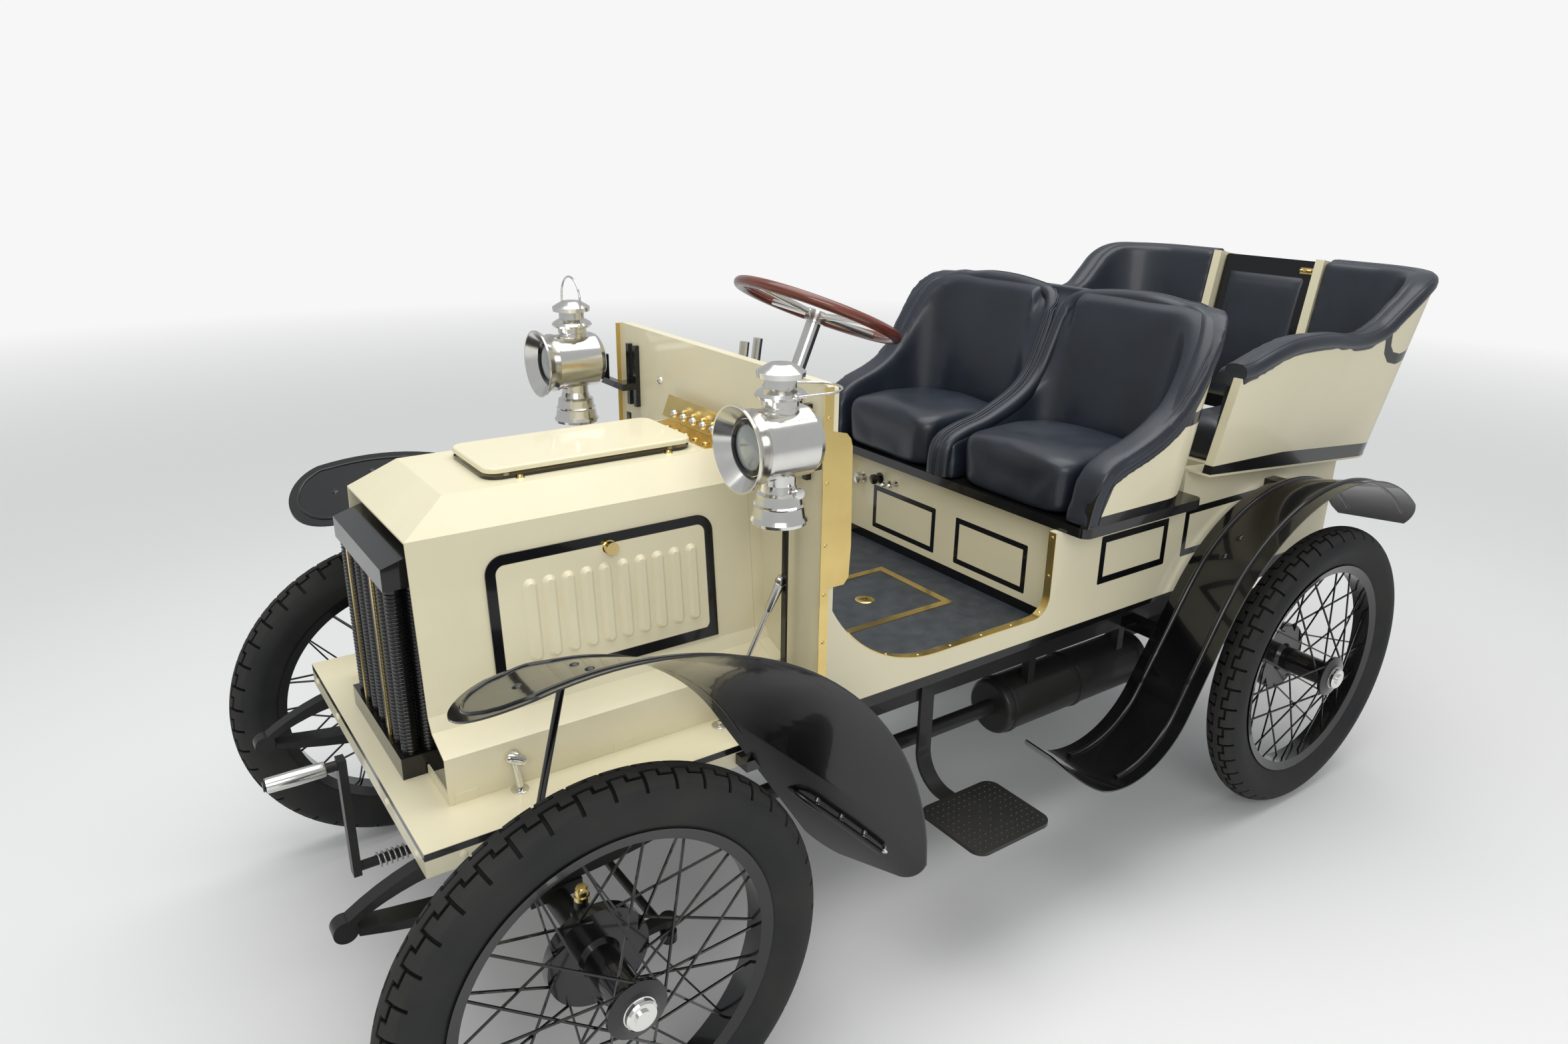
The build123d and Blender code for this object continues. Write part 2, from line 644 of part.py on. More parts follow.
CRANK_Z = 305.0
CRANK_ARM_AFT = -240.0
CRANK_HANDLE_Z = 515.0
CRANK_SHAFT_R = 9.0
CRANK_ARM_WIDTH = 24.0
CRANK_ARM_THICKNESS = 14.0
with BuildPart() as starting_handle:
    with Locations(Location((FRONT_AXLE_X + (CRANK_ARM_AFT + ENGINE_AFT) / 2, 0, CRANK_Z), (0, 90, 0))):
        Cylinder(CRANK_SHAFT_R, ENGINE_AFT - CRANK_ARM_AFT)
    with Locations((FRONT_AXLE_X + CRANK_ARM_AFT, 0, (CRANK_Z + CRANK_HANDLE_Z) / 2)):
        Box(CRANK_ARM_THICKNESS, CRANK_ARM_WIDTH, CRANK_HANDLE_Z - CRANK_Z + CRANK_ARM_WIDTH)
    grip_length = FRONT_REACH + CRANK_ARM_AFT
    with Locations(Location((FRONT_AXLE_X + CRANK_ARM_AFT, 0, CRANK_HANDLE_Z), (0, -90, 0))):
        Cylinder(CRANK_SHAFT_R, grip_length, align=(Align.CENTER, Align.CENTER, Align.MIN))
save(starting_handle, "starting_handle")

# Silencer under the left side, with its pipe from the engine's side and two hangers up to the rail

SILENCER_R = 62.0
SILENCER_AFT = 1035.0
SILENCER_LENGTH = 470.0
SILENCER_HALF = -275.0
SILENCER_Z = 358.0
PIPE_R = 17.0
PIPE_AFT = 300.0
HANGER_AFTS = (1110.0, 1410.0)
with BuildPart() as silencer:
    with Locations(Location((FRONT_AXLE_X + SILENCER_AFT, SILENCER_HALF, SILENCER_Z), (0, 90, 0))):
        Cylinder(SILENCER_R, SILENCER_LENGTH, align=(Align.CENTER, Align.CENTER, Align.MIN))
    fillet(silencer.edges().filter_by(GeomType.CIRCLE), 10)
    with BuildLine(plan_plane(SILENCER_Z)) as pipe_line:
        FilletPolyline(
            (PIPE_AFT, -ENGINE_WIDTH / 2),
            (PIPE_AFT, SILENCER_HALF),
            (SILENCER_AFT + 20, SILENCER_HALF),
            radius=50,
        )
    with BuildSketch(Plane(origin=pipe_line.line @ 0, z_dir=pipe_line.line % 0)):
        Circle(PIPE_R)
    sweep(path=pipe_line.line)
    for hanger_aft in HANGER_AFTS:
        block(
            hanger_aft,
            -RAIL_HALF - RAIL_WIDTH / 2 + 10,
            SILENCER_Z,
            20,
            RAIL_WIDTH - 14,
            RAIL_TOP - RAIL_HEIGHT - SILENCER_Z,
        )
save(silencer, "silencer")

# Steps: a plate each side on a curved strap from the rail

STEP_AFT = 704.0
STEP_LENGTH = 196.0
STEP_INNER_HALF = 416.0
STEP_WIDTH = 172.0
STEP_TOP = 302.0
STEP_THICKNESS = 8.0
STRAP_AFT = 780.0
with BuildPart() as steps:
    for side in (-1, 1):
        with BuildSketch(plan_plane(STEP_TOP - STEP_THICKNESS)):
            with Locations((STEP_AFT + STEP_LENGTH / 2, side * (STEP_INNER_HALF + STEP_WIDTH / 2))):
                RectangleRounded(STEP_LENGTH, STEP_WIDTH, 26)
        extrude(amount=STEP_THICKNESS)
        with BuildSketch(cross_plane(STRAP_AFT)):
            with BuildLine() as strap_line:
                FilletPolyline(
                    (side * (RAIL_HALF + RAIL_WIDTH / 2 + 4), RAIL_TOP - 8),
                    (side * (RAIL_HALF + RAIL_WIDTH / 2 + 4), STEP_TOP - STEP_THICKNESS - 4),
                    (side * (STEP_INNER_HALF + 60), STEP_TOP - STEP_THICKNESS - 4),
                    radius=70,
                )
            trace(line_width=8)
        extrude(amount=34)
save(steps, "steps")

# Deck under the bonnet, with a fascia all round and a hole over the engine

with BuildPart() as deck:
    centred_block(
        DECK_FRONT_AFT,
        DECK_TOP - DECK_THICKNESS,
        DECK_REAR_AFT - DECK_FRONT_AFT,
        2 * DECK_HALF,
        DECK_THICKNESS,
    )
    centred_block(DECK_FRONT_AFT, DECK_TOP - FASCIA_HEIGHT, WALL, 2 * DECK_HALF, FASCIA_HEIGHT)
    for side in (-1, 1):
        low_half = DECK_HALF - WALL if side > 0 else -DECK_HALF
        block(
            DECK_FRONT_AFT,
            low_half,
            DECK_TOP - FASCIA_HEIGHT,
            DECK_REAR_AFT - DECK_FRONT_AFT,
            WALL,
            FASCIA_HEIGHT,
        )
    with Locations((FRONT_AXLE_X + ENGINE_AFT + ENGINE_LENGTH / 2, 0, DECK_TOP)):
        Box(ENGINE_LENGTH + 20, ENGINE_WIDTH + 20, 4 * DECK_THICKNESS, mode=Mode.SUBTRACT)
    # Rests under the bonnet's skirt
    for rest_aft in BONNET_REST_AFTS:
        for side in (-1, 1):
            with Locations((FRONT_AXLE_X + rest_aft, side * (SKIRT_HALF - 2), DECK_TOP)):
                Box(36, 12, SKIRT_LOW_Z - DECK_TOP, align=(Align.CENTER, Align.CENTER, Align.MIN))
save(deck, "deck")

# Radiator: header tank with its sloping top, base, two rows of tubes and two brass straps

TUBE_LOW_Z = DECK_TOP + RADIATOR_BASE_HEIGHT

with BuildPart() as radiator:
    with BuildSketch(side_plane(TANK_HALF)):
        with BuildLine():
            Polyline(
                (TANK_FRONT_AFT, TANK_LOW_Z),
                (TANK_FRONT_AFT, TANK_FRONT_TOP_Z),
                (TANK_FRONT_AFT + TANK_DEPTH, TANK_REAR_TOP_Z),
                (TANK_FRONT_AFT + TANK_DEPTH, TANK_LOW_Z),
                close=True,
            )
        make_face()
    extrude(amount=2 * TANK_HALF)
    centred_block(TANK_FRONT_AFT - 4, DECK_TOP, TANK_DEPTH + 8, 2 * TANK_HALF + 8, RADIATOR_BASE_HEIGHT)
    tube_aft = TANK_FRONT_AFT + TANK_DEPTH / 2
    with Locations((FRONT_AXLE_X + tube_aft, 0, TUBE_LOW_Z)):
        with GridLocations(TUBE_ROW_PITCH, TUBE_PITCH, TUBE_ROWS, TUBES_ACROSS):
            Cylinder(
                TUBE_R,
                TANK_LOW_Z - TUBE_LOW_Z,
                align=(Align.CENTER, Align.CENTER, Align.MIN),
            )
save(radiator, "radiator")

with BuildPart() as radiator_straps:
    for side in (-1, 1):
        with Locations((FRONT_AXLE_X + TANK_FRONT_AFT, side * STRAP_HALF, TUBE_LOW_Z)):
            Box(3, STRAP_WIDTH, TANK_LOW_Z - TUBE_LOW_Z, align=(Align.MIN, Align.CENTER, Align.MIN))
save(radiator_straps, "radiator_straps")

# Bonnet: a faceted sheet shell, open in front, below and behind


def bonnet_section():
    # Half outline from the skirt's foot to the top, as (half, z)
    points = (
        (SKIRT_HALF + 3, SKIRT_LOW_Z),
        (SKIRT_HALF, SKIRT_TOP_Z),
        (BONNET_SIDE_LOW_HALF + 12, BONNET_SIDE_LOW_Z - 22),
        (BONNET_SIDE_LOW_HALF, BONNET_SIDE_LOW_Z),
        (BONNET_SHOULDER_HALF, BONNET_SHOULDER_Z),
        (BONNET_TOP_HALF, BONNET_TOP),
    )
    right = [(half, z) for half, z in points]
    left = [(-half, z) for half, z in reversed(points)]
    Polyline(*right, *left, close=True)


with BuildPart() as bonnet_void:
    with BuildSketch(cross_plane(BONNET_FRONT_AFT - 20)) as void_section:
        with BuildLine():
            bonnet_section()
        make_face()
        offset(amount=-SHEET, kind=Kind.INTERSECTION)
    extrude(amount=BONNET_REAR_AFT - BONNET_FRONT_AFT + 40)
    with BuildSketch(side_plane(SKIRT_HALF + 20)):
        with BuildLine():
            Polyline(
                (BONNET_FRONT_AFT - 40, BONNET_SHOULDER_Z - SHEET - 26),
                (BONNET_FRONT_AFT - 40, BONNET_TOP + 20),
                (FACET_TOP_AFT + 10, BONNET_TOP + 20),
                (FACET_TOP_AFT, BONNET_TOP - SHEET),
                close=True,
            )
        make_face()
    extrude(amount=2 * SKIRT_HALF + 40, mode=Mode.SUBTRACT)
    # The void runs out through the skirt's foot
    centred_block(BONNET_FRONT_AFT - 20, SKIRT_LOW_Z - 10, 700, 2 * SKIRT_HALF - 2, 20)

with BuildPart() as bonnet:
    with BuildSketch(cross_plane(BONNET_FRONT_AFT)):
        with BuildLine():
            bonnet_section()
        make_face()
    extrude(amount=BONNET_REAR_AFT - BONNET_FRONT_AFT)
    with BuildSketch(side_plane(SKIRT_HALF + 20)):
        with BuildLine():
            Polyline(
                (BONNET_FRONT_AFT - 10, BONNET_SHOULDER_Z),
                (BONNET_FRONT_AFT, BONNET_SHOULDER_Z),
                (FACET_TOP_AFT, BONNET_TOP),
                (FACET_TOP_AFT, BONNET_TOP + 20),
                (BONNET_FRONT_AFT - 10, BONNET_TOP + 20),
                close=True,
            )
        make_face()
    extrude(amount=2 * SKIRT_HALF + 40, mode=Mode.SUBTRACT)
    add(bonnet_void.part, mode=Mode.SUBTRACT)
    # Openings that the side doors cover
    with BuildSketch(side_plane(SKIRT_HALF + 20)):
        opening_middle = (SIDE_DOOR_FRONT_AFT + SIDE_DOOR_REAR_AFT) / 2
        with Locations((opening_middle, SIDE_DOOR_LOW_Z + SIDE_DOOR_HEIGHT / 2)):
            RectangleRounded(
                SIDE_DOOR_REAR_AFT - SIDE_DOOR_FRONT_AFT - 2 * SIDE_DOOR_LIP,
                SIDE_DOOR_HEIGHT - 2 * SIDE_DOOR_LIP,
                SIDE_DOOR_CORNER_R - SIDE_DOOR_LIP,
            )
    extrude(amount=2 * SKIRT_HALF + 40, mode=Mode.SUBTRACT)
save(bonnet, "bonnet")

# Raised lid over the bonnet's top, on four short feet

LID_FRONT_AFT = 20.0
LID_REAR_AFT = 405.0
LID_HALF = 92.0
LID_LOW_Z = 1008.0
LID_THICKNESS = 9.0
LID_CORNER_R = 24.0
LID_EDGE_R = 4.0
LID_FOOT_R = 5.0
LID_FOOT_IN = 40.0
LID_FOOT_SIDE_IN = 18.0
with BuildPart() as bonnet_lid:
    with BuildSketch(plan_plane(LID_LOW_Z)):
        with Locations(((LID_FRONT_AFT + LID_REAR_AFT) / 2, 0)):
            RectangleRounded(LID_REAR_AFT - LID_FRONT_AFT, 2 * LID_HALF, LID_CORNER_R)
    extrude(amount=LID_THICKNESS)
    fillet(bonnet_lid.faces().sort_by(Axis.Z)[-1].edges(), LID_EDGE_R)
    for foot_aft in (LID_FRONT_AFT + LID_FOOT_IN, LID_REAR_AFT - LID_FOOT_IN):
        for side in (-1, 1):
            with Locations((FRONT_AXLE_X + foot_aft, side * (LID_HALF - LID_FOOT_SIDE_IN), BONNET_TOP)):
                Cylinder(
                    LID_FOOT_R,
                    LID_LOW_Z - BONNET_TOP,
                    align=(Align.CENTER, Align.CENTER, Align.MIN),
                )
save(bonnet_lid, "bonnet_lid")

# Bonnet side doors: louvred flaps that lie on the leaning sides and drop on their lower edge

SIDE_LEAN = math.atan2(
    BONNET_SIDE_LOW_HALF - BONNET_SHOULDER_HALF,
    BONNET_SHOULDER_Z - BONNET_SIDE_LOW_Z,
)


def side_half(height):
    # Half width of the bonnet's side at a height
    return BONNET_SIDE_LOW_HALF - (height - BONNET_SIDE_LOW_Z) * math.tan(SIDE_LEAN)


for name, side in (("left", -1), ("right", 1)):
    outward = Vector(0, side * math.cos(SIDE_LEAN), math.sin(SIDE_LEAN))
    foot = Vector(FRONT_AXLE_X, side * side_half(SIDE_DOOR_LOW_Z), SIDE_DOOR_LOW_Z)
    door_plane = Plane(origin=foot + outward * SIDE_DOOR_GAP, x_dir=(-side, 0, 0), z_dir=outward)
    middle_aft = (SIDE_DOOR_FRONT_AFT + SIDE_DOOR_REAR_AFT) / 2
    with BuildPart() as side_door:
        with BuildSketch(door_plane):
            with Locations((-side * middle_aft, SIDE_DOOR_HEIGHT / 2)):
                RectangleRounded(
                    SIDE_DOOR_REAR_AFT - SIDE_DOOR_FRONT_AFT,
                    SIDE_DOOR_HEIGHT,
                    SIDE_DOOR_CORNER_R,
                )
            with Locations((-side * middle_aft, 20)):
                Rectangle(SIDE_DOOR_REAR_AFT - SIDE_DOOR_FRONT_AFT, 40)
        extrude(amount=SHEET)
        with BuildSketch(door_plane.offset(SHEET)):
            with Locations((-side * (middle_aft + LOUVRE_AFT_SHIFT), SIDE_DOOR_HEIGHT / 2 - LOUVRE_DROP)):
                with GridLocations(LOUVRE_PITCH, 0, LOUVRES, 1):
                    SlotOverall(LOUVRE_HEIGHT, LOUVRE_WIDTH, rotation=90)
        extrude(amount=LOUVRE_BULGE, taper=LOUVRE_TAPER_DEG)
        knob_plane = door_plane.offset(SHEET)
        knob_height = SIDE_DOOR_HEIGHT - SIDE_KNOB_DROP
        with Locations(knob_plane * Location((-side * SIDE_KNOB_AFT, knob_height, 0))):
            Cylinder(SIDE_KNOB_R, SIDE_KNOB_LENGTH, align=(Align.CENTER, Align.CENTER, Align.MIN))
    save(side_door, f"bonnet_door_{name}")

# Dash: an upright board across the car, with the fixed shroud that meets the bonnet

with BuildPart() as dash:
    with BuildSketch(cross_plane(DASH_AFT)):
        with Locations((0, (DASH_TOP + BODY_BOTTOM) / 2)):
            Rectangle(2 * BODY_HALF, DASH_TOP - BODY_BOTTOM)
    extrude(amount=DASH_THICKNESS)
    fillet(dash.edges().filter_by(Axis.X).group_by(Axis.Z)[-1], 12)
    with BuildSketch(cross_plane(BONNET_REAR_AFT + BONNET_GAP)):
        with BuildLine():
            bonnet_section()
        make_face()
        offset(amount=-SHEET, kind=Kind.INTERSECTION, mode=Mode.SUBTRACT)
        with Locations((0, SKIRT_LOW_Z)):
            Rectangle(2 * SKIRT_HALF - 2 * SHEET, 4 * SHEET, mode=Mode.SUBTRACT)
    extrude(amount=DASH_AFT - BONNET_REAR_AFT - BONNET_GAP)
save(dash, "dash")

# Oil feed box on the bonnet's rear, against the dash

OILER_HALF = 96.0
OILER_BASE_LENGTH = 68.0
OILER_BASE_HEIGHT = 12.0
OILER_BOX_LENGTH = 32.0
OILER_BOX_HEIGHT = 40.0
OILER_GLASSES = 5
OILER_GLASS_PITCH = 36.0
OILER_GLASS_R = 9.0
OILER_GLASS_LENGTH = 24.0
with BuildPart() as oiler:
    oiler_face = DASH_AFT - 2 - OILER_BOX_LENGTH
    centred_block(
        DASH_AFT - 2 - OILER_BASE_LENGTH,
        BONNET_TOP,
        OILER_BASE_LENGTH,
        2 * OILER_HALF,
        OILER_BASE_HEIGHT,
    )
    centred_block(
        oiler_face,
        BONNET_TOP + OILER_BASE_HEIGHT,
        OILER_BOX_LENGTH,
        2 * OILER_HALF - 12,
        OILER_BOX_HEIGHT,
    )
    glass_z = BONNET_TOP + OILER_BASE_HEIGHT + OILER_BOX_HEIGHT / 2
    with Locations(Location((FRONT_AXLE_X + oiler_face, 0, glass_z), (0, -90, 0))):
        with GridLocations(0, OILER_GLASS_PITCH, 1, OILER_GLASSES):
            Cylinder(OILER_GLASS_R, OILER_GLASS_LENGTH, align=(Align.CENTER, Align.CENTER, Align.MIN))
save(oiler, "oiler")

# Body sides: one board each, with the swept door cut-out

with BuildPart() as body_sides:
    for side in (-1, 1):
        face_half = BODY_HALF if side > 0 else -BODY_HALF + WALL
        with BuildSketch(side_plane(face_half)):
            with BuildLine():
                Polyline(
                    (DASH_AFT + DASH_THICKNESS, CUT_FRONT_Z),
                    (DASH_AFT + DASH_THICKNESS, BODY_BOTTOM),
                    (BODY_REAR_AFT, BODY_BOTTOM + 24),
                    (BODY_REAR_AFT, BELT_LINE[0][1]),
                    (TONNEAU_FRONT_AFT, BELT_LINE[0][1]),
                    (TONNEAU_FRONT_AFT, BODY_TOP),
                    (CUT_REAR_AFT, BODY_TOP),
                    (CUT_REAR_AFT, CUT_LOW_Z + CUT_REAR_R),
                )
                RadiusArc(
                    (CUT_REAR_AFT, CUT_LOW_Z + CUT_REAR_R),
                    (CUT_REAR_AFT - CUT_REAR_R, CUT_LOW_Z),
                    CUT_REAR_R,
                )
                Line((CUT_REAR_AFT - CUT_REAR_R, CUT_LOW_Z), (CUT_SWEEP_AFT, CUT_LOW_Z))
                TangentArc(
                    (CUT_SWEEP_AFT, CUT_LOW_Z),
                    (DASH_AFT + DASH_THICKNESS, CUT_FRONT_Z),
                    tangent=(-1, 0),
                )
            make_face()
        extrude(amount=WALL)
    belt_slab(-LEDGE, SKY_Z, Mode.SUBTRACT)
save(body_sides, "body_sides")

# Floor, seat box front, rear floor and rear panel

INNER_HALF = BODY_HALF - WALL
with BuildPart() as floor:
    centred_block(
        DASH_AFT + DASH_THICKNESS,
        FLOOR_TOP - FLOOR_THICKNESS,
        BODY_REAR_AFT - DASH_AFT - DASH_THICKNESS - WALL,
        2 * INNER_HALF,
        FLOOR_THICKNESS,
    )
save(floor, "floor")

with BuildPart() as seat_box:
    centred_block(SEAT_BOX_AFT, FLOOR_TOP, WALL, 2 * INNER_HALF, BODY_TOP - FLOOR_TOP)
    centred_block(TONNEAU_FRONT_AFT - WALL, FLOOR_TOP, WALL, 2 * INNER_HALF, BODY_TOP - FLOOR_TOP)
save(seat_box, "seat_box")

with BuildPart() as front_seat_base:
    with BuildSketch(plan_plane(BODY_TOP)):
        with Locations(((SEAT_BASE_FRONT_AFT + SEAT_REAR_AFT + 26) / 2, 0)):
            RectangleRounded(SEAT_REAR_AFT + 26 - SEAT_BASE_FRONT_AFT, 2 * SEAT_BASE_HALF, 20)
    extrude(amount=SEAT_BASE_TOP - BODY_TOP)
save(front_seat_base, "front_seat_base")

# Front seat shell: outer wall round both seats, leaning outwards, cut down to the arms in front

# Arm and back line of the front seats, as (aft of the seat's front, z from the back's top)
SEAT_LINE_STEPS = (
    (2.0, -392.0),
    (5.0, -345.0),
    (11.0, -312.0),
    (26.0, -285.0),
    (54.0, -266.0),
    (104.0, -248.0),
    (174.0, -219.0),
    (228.0, -174.0),
    (264.0, -118.0),
    (305.0, -53.0),
    (338.0, -17.0),
    (376.0, 0.0),
)
SEAT_LINE = [(SEAT_BASE_FRONT_AFT + step, SEAT_BACK_TOP + rise) for step, rise in SEAT_LINE_STEPS]


def wrap(front_aft, rear_aft, half, low_z, top_z, corner_r, lean):
    # A block with rounded rear corners that widens upwards
    with BuildSketch(plan_plane(low_z)) as outline:
        with Locations(((front_aft + rear_aft) / 2, 0)):
            Rectangle(rear_aft - front_aft, 2 * half)
        fillet(outline.vertices().group_by(Axis.X)[-1], corner_r)
    extrude(outline.sketch, amount=top_z - low_z, taper=-lean)


LINE_REACH = 400.0


def above_line(line, extra):
    # A slab across the car that takes away what is above and ahead of a side line
    with BuildSketch(side_plane(ACROSS / 2)) as sky:
        with BuildLine():
            curve = Spline(*[(aft, z + extra) for aft, z in line])
            Polyline(
                curve @ 1,
                (line[-1][0] + LINE_REACH, line[-1][1] + extra),
                (line[-1][0] + LINE_REACH, SKY_Z),
                (line[0][0] - LINE_REACH, SKY_Z),
                (line[0][0] - LINE_REACH, line[0][1] + extra),
                curve @ 0,
            )
        make_face()
    extrude(sky.sketch, amount=ACROSS, mode=Mode.SUBTRACT)


def below_line(line, aft_shift, z_shift):
    # A slab across the car that takes away what is under and behind a side line
    with BuildSketch(side_plane(ACROSS / 2)) as ground:
        with BuildLine():
            curve = Spline(*[(aft + aft_shift, z + z_shift) for aft, z in line])
            Polyline(
                curve @ 1,
                (line[-1][0] + LINE_REACH, line[-1][1] + z_shift),
                (line[-1][0] + LINE_REACH, 0),
                (line[0][0] + aft_shift, 0),
                curve @ 0,
            )
        make_face()
    extrude(ground.sketch, amount=ACROSS, mode=Mode.SUBTRACT)


with BuildPart() as seat_shell_void:
    wrap(
        SEAT_BASE_FRONT_AFT - 100,
        SEAT_REAR_AFT - SEAT_SHELL_WALL,
        SEAT_BASE_HALF - SEAT_SHELL_WALL,
        SEAT_BASE_TOP,
        SEAT_BACK_TOP + 30,
        SEAT_CORNER_R - SEAT_SHELL_WALL,
        SEAT_LEAN_DEG,
    )

with BuildPart() as front_seat_shell:
    wrap(
        SEAT_BASE_FRONT_AFT,
        SEAT_REAR_AFT,
        SEAT_BASE_HALF,
        SEAT_BASE_TOP,
        SEAT_BACK_TOP + 30,
        SEAT_CORNER_R,
        SEAT_LEAN_DEG,
    )
    add(seat_shell_void.part, mode=Mode.SUBTRACT)
    above_line(SEAT_LINE, 0)
save(front_seat_shell, "front_seat_shell")

# Leather of the two front seats: padding that follows the shell, a divider between, and a roll over the edge

WRAP_HALF = SEAT_BASE_HALF - SEAT_SHELL_WALL - 1
WRAP_REAR_AFT = SEAT_REAR_AFT - SEAT_SHELL_WALL - 1
WRAP_CORNER_R = SEAT_CORNER_R - SEAT_SHELL_WALL - 1
SEAT_HOLLOW_R = 58.0
SEAT_HOLLOW_REAR_AFT = WRAP_REAR_AFT - SEAT_PADDING
SEAT_HOLLOW_WIDTH = WRAP_HALF - 2 * SEAT_PADDING
SEAT_MIDDLE_HALF = WRAP_HALF / 2
SEAT_HOLLOW_AHEAD = 240.0
DIVIDER_HALF = 62.0
# Top line of the divider, as (aft of the seat's front, z from the back's top)
DIVIDER_STEPS = (
    (-12.0, -312.0),
    (46.0, -291.0),
    (140.0, -268.0),
    (240.0, -222.0),
    (292.0, -172.0),
    (334.0, -66.0),
    (380.0, 4.0),
)

with BuildPart() as front_seat_leather:
    # The roll lies over the shell's edge and down its outside
    wrap(
        SEAT_BASE_FRONT_AFT,
        SEAT_REAR_AFT + ROLL_PROUD,
        SEAT_BASE_HALF + ROLL_PROUD,
        SEAT_BASE_TOP,
        SEAT_BACK_TOP + 30,
        SEAT_CORNER_R + ROLL_PROUD,
        SEAT_LEAN_DEG,
    )
    below_line(SEAT_LINE, ROLL_AFT, -ROLL_DROP)
    wrap(
        SEAT_BASE_FRONT_AFT,
        WRAP_REAR_AFT,
        WRAP_HALF,
        SEAT_BASE_TOP,
        SEAT_BACK_TOP + 30,
        WRAP_CORNER_R,
        SEAT_LEAN_DEG,
    )
    for side in (-1, 1):
        with BuildSketch(plan_plane(SEAT_BASE_TOP)) as hollow:
            with Locations((SEAT_HOLLOW_REAR_AFT - SEAT_HOLLOW_AHEAD, side * SEAT_MIDDLE_HALF)):
                Rectangle(2 * SEAT_HOLLOW_AHEAD, SEAT_HOLLOW_WIDTH)
            fillet(hollow.vertices().group_by(Axis.X)[-1], SEAT_HOLLOW_R)
        extrude(
            hollow.sketch,
            amount=SEAT_BACK_TOP + 30 - SEAT_BASE_TOP,
            taper=-SEAT_LEAN_DEG,
            mode=Mode.SUBTRACT,
        )
    above_line(SEAT_LINE, SEAT_ROLL_TOP)
    # The divider dips between the seats
    with BuildSketch(side_plane(DIVIDER_HALF)) as dip:
        with BuildLine():
            divider = Spline(
                *[(SEAT_BASE_FRONT_AFT + step, SEAT_BACK_TOP + rise) for step, rise in DIVIDER_STEPS]
            )
            Polyline(
                divider @ 1,
                (SEAT_BASE_FRONT_AFT, SKY_Z),
                (SEAT_BASE_FRONT_AFT - LINE_REACH, SKY_Z),
                (SEAT_BASE_FRONT_AFT - LINE_REACH, SEAT_BACK_TOP + DIVIDER_STEPS[0][1]),
                divider @ 0,
            )
        make_face()
    extrude(dip.sketch, amount=2 * DIVIDER_HALF, mode=Mode.SUBTRACT)
    add(front_seat_shell.part, mode=Mode.SUBTRACT)
save(front_seat_leather, "front_seat_leather")

CUSHION_GAP = 3.0
CUSHION_CORNER_R = 52.0
CUSHION_EDGE_R = 24.0
CUSHION_REAR_AFT = SEAT_HOLLOW_REAR_AFT - CUSHION_GAP
with BuildPart() as front_cushions:
    for side in (-1, 1):
        with BuildSketch(plan_plane(SEAT_BASE_TOP)):
            with Locations(((SEAT_BASE_FRONT_AFT + CUSHION_REAR_AFT) / 2, side * SEAT_MIDDLE_HALF)):
                RectangleRounded(
                    CUSHION_REAR_AFT - SEAT_BASE_FRONT_AFT,
                    SEAT_HOLLOW_WIDTH - 2 * CUSHION_GAP,
                    CUSHION_CORNER_R,
                )
        extrude(amount=CUSHION_TOP - SEAT_BASE_TOP, taper=-SEAT_LEAN_DEG / 2)
    fillet(front_cushions.faces().sort_by(Axis.Z)[-2:].edges(), CUSHION_EDGE_R)
save(front_cushions, "front_cushions")

# Tonneau: two curved corner walls, leaning outwards, with the rear door between them

# Top line of the tonneau's sides, as (aft of the tonneau's front, z from its top)
TONNEAU_LINE_STEPS = (
    (-50.0, -190.0),
    (40.0, -159.0),
    (120.0, -134.0),
    (190.0, -120.0),
    (310.0, -120.0),
    (440.0, -134.0),
    (540.0, -124.0),
    (610.0, -78.0),
    (665.0, -36.0),
    (740.0, -12.0),
)
TONNEAU_LINE = [(TONNEAU_FRONT_AFT + step, TONNEAU_TOP_Z + rise) for step, rise in TONNEAU_LINE_STEPS]
TONNEAU_HEIGHT = TONNEAU_TOP_Z + 20 - TONNEAU_BASE_Z

LEAN = math.radians(TONNEAU_LEAN_DEG)
# Leaning plane of the rear face: local x is the car's right, local y runs up the lean
door_face = Plane(
    origin=(FRONT_AXLE_X + TONNEAU_REAR_AFT, 0, TONNEAU_BASE_Z),
    x_dir=(0, 1, 0),
    z_dir=(math.cos(LEAN), 0, -math.sin(LEAN)),
)
POST_HEIGHT = (TONNEAU_TOP_Z - TONNEAU_BASE_Z) / math.cos(LEAN) - 8

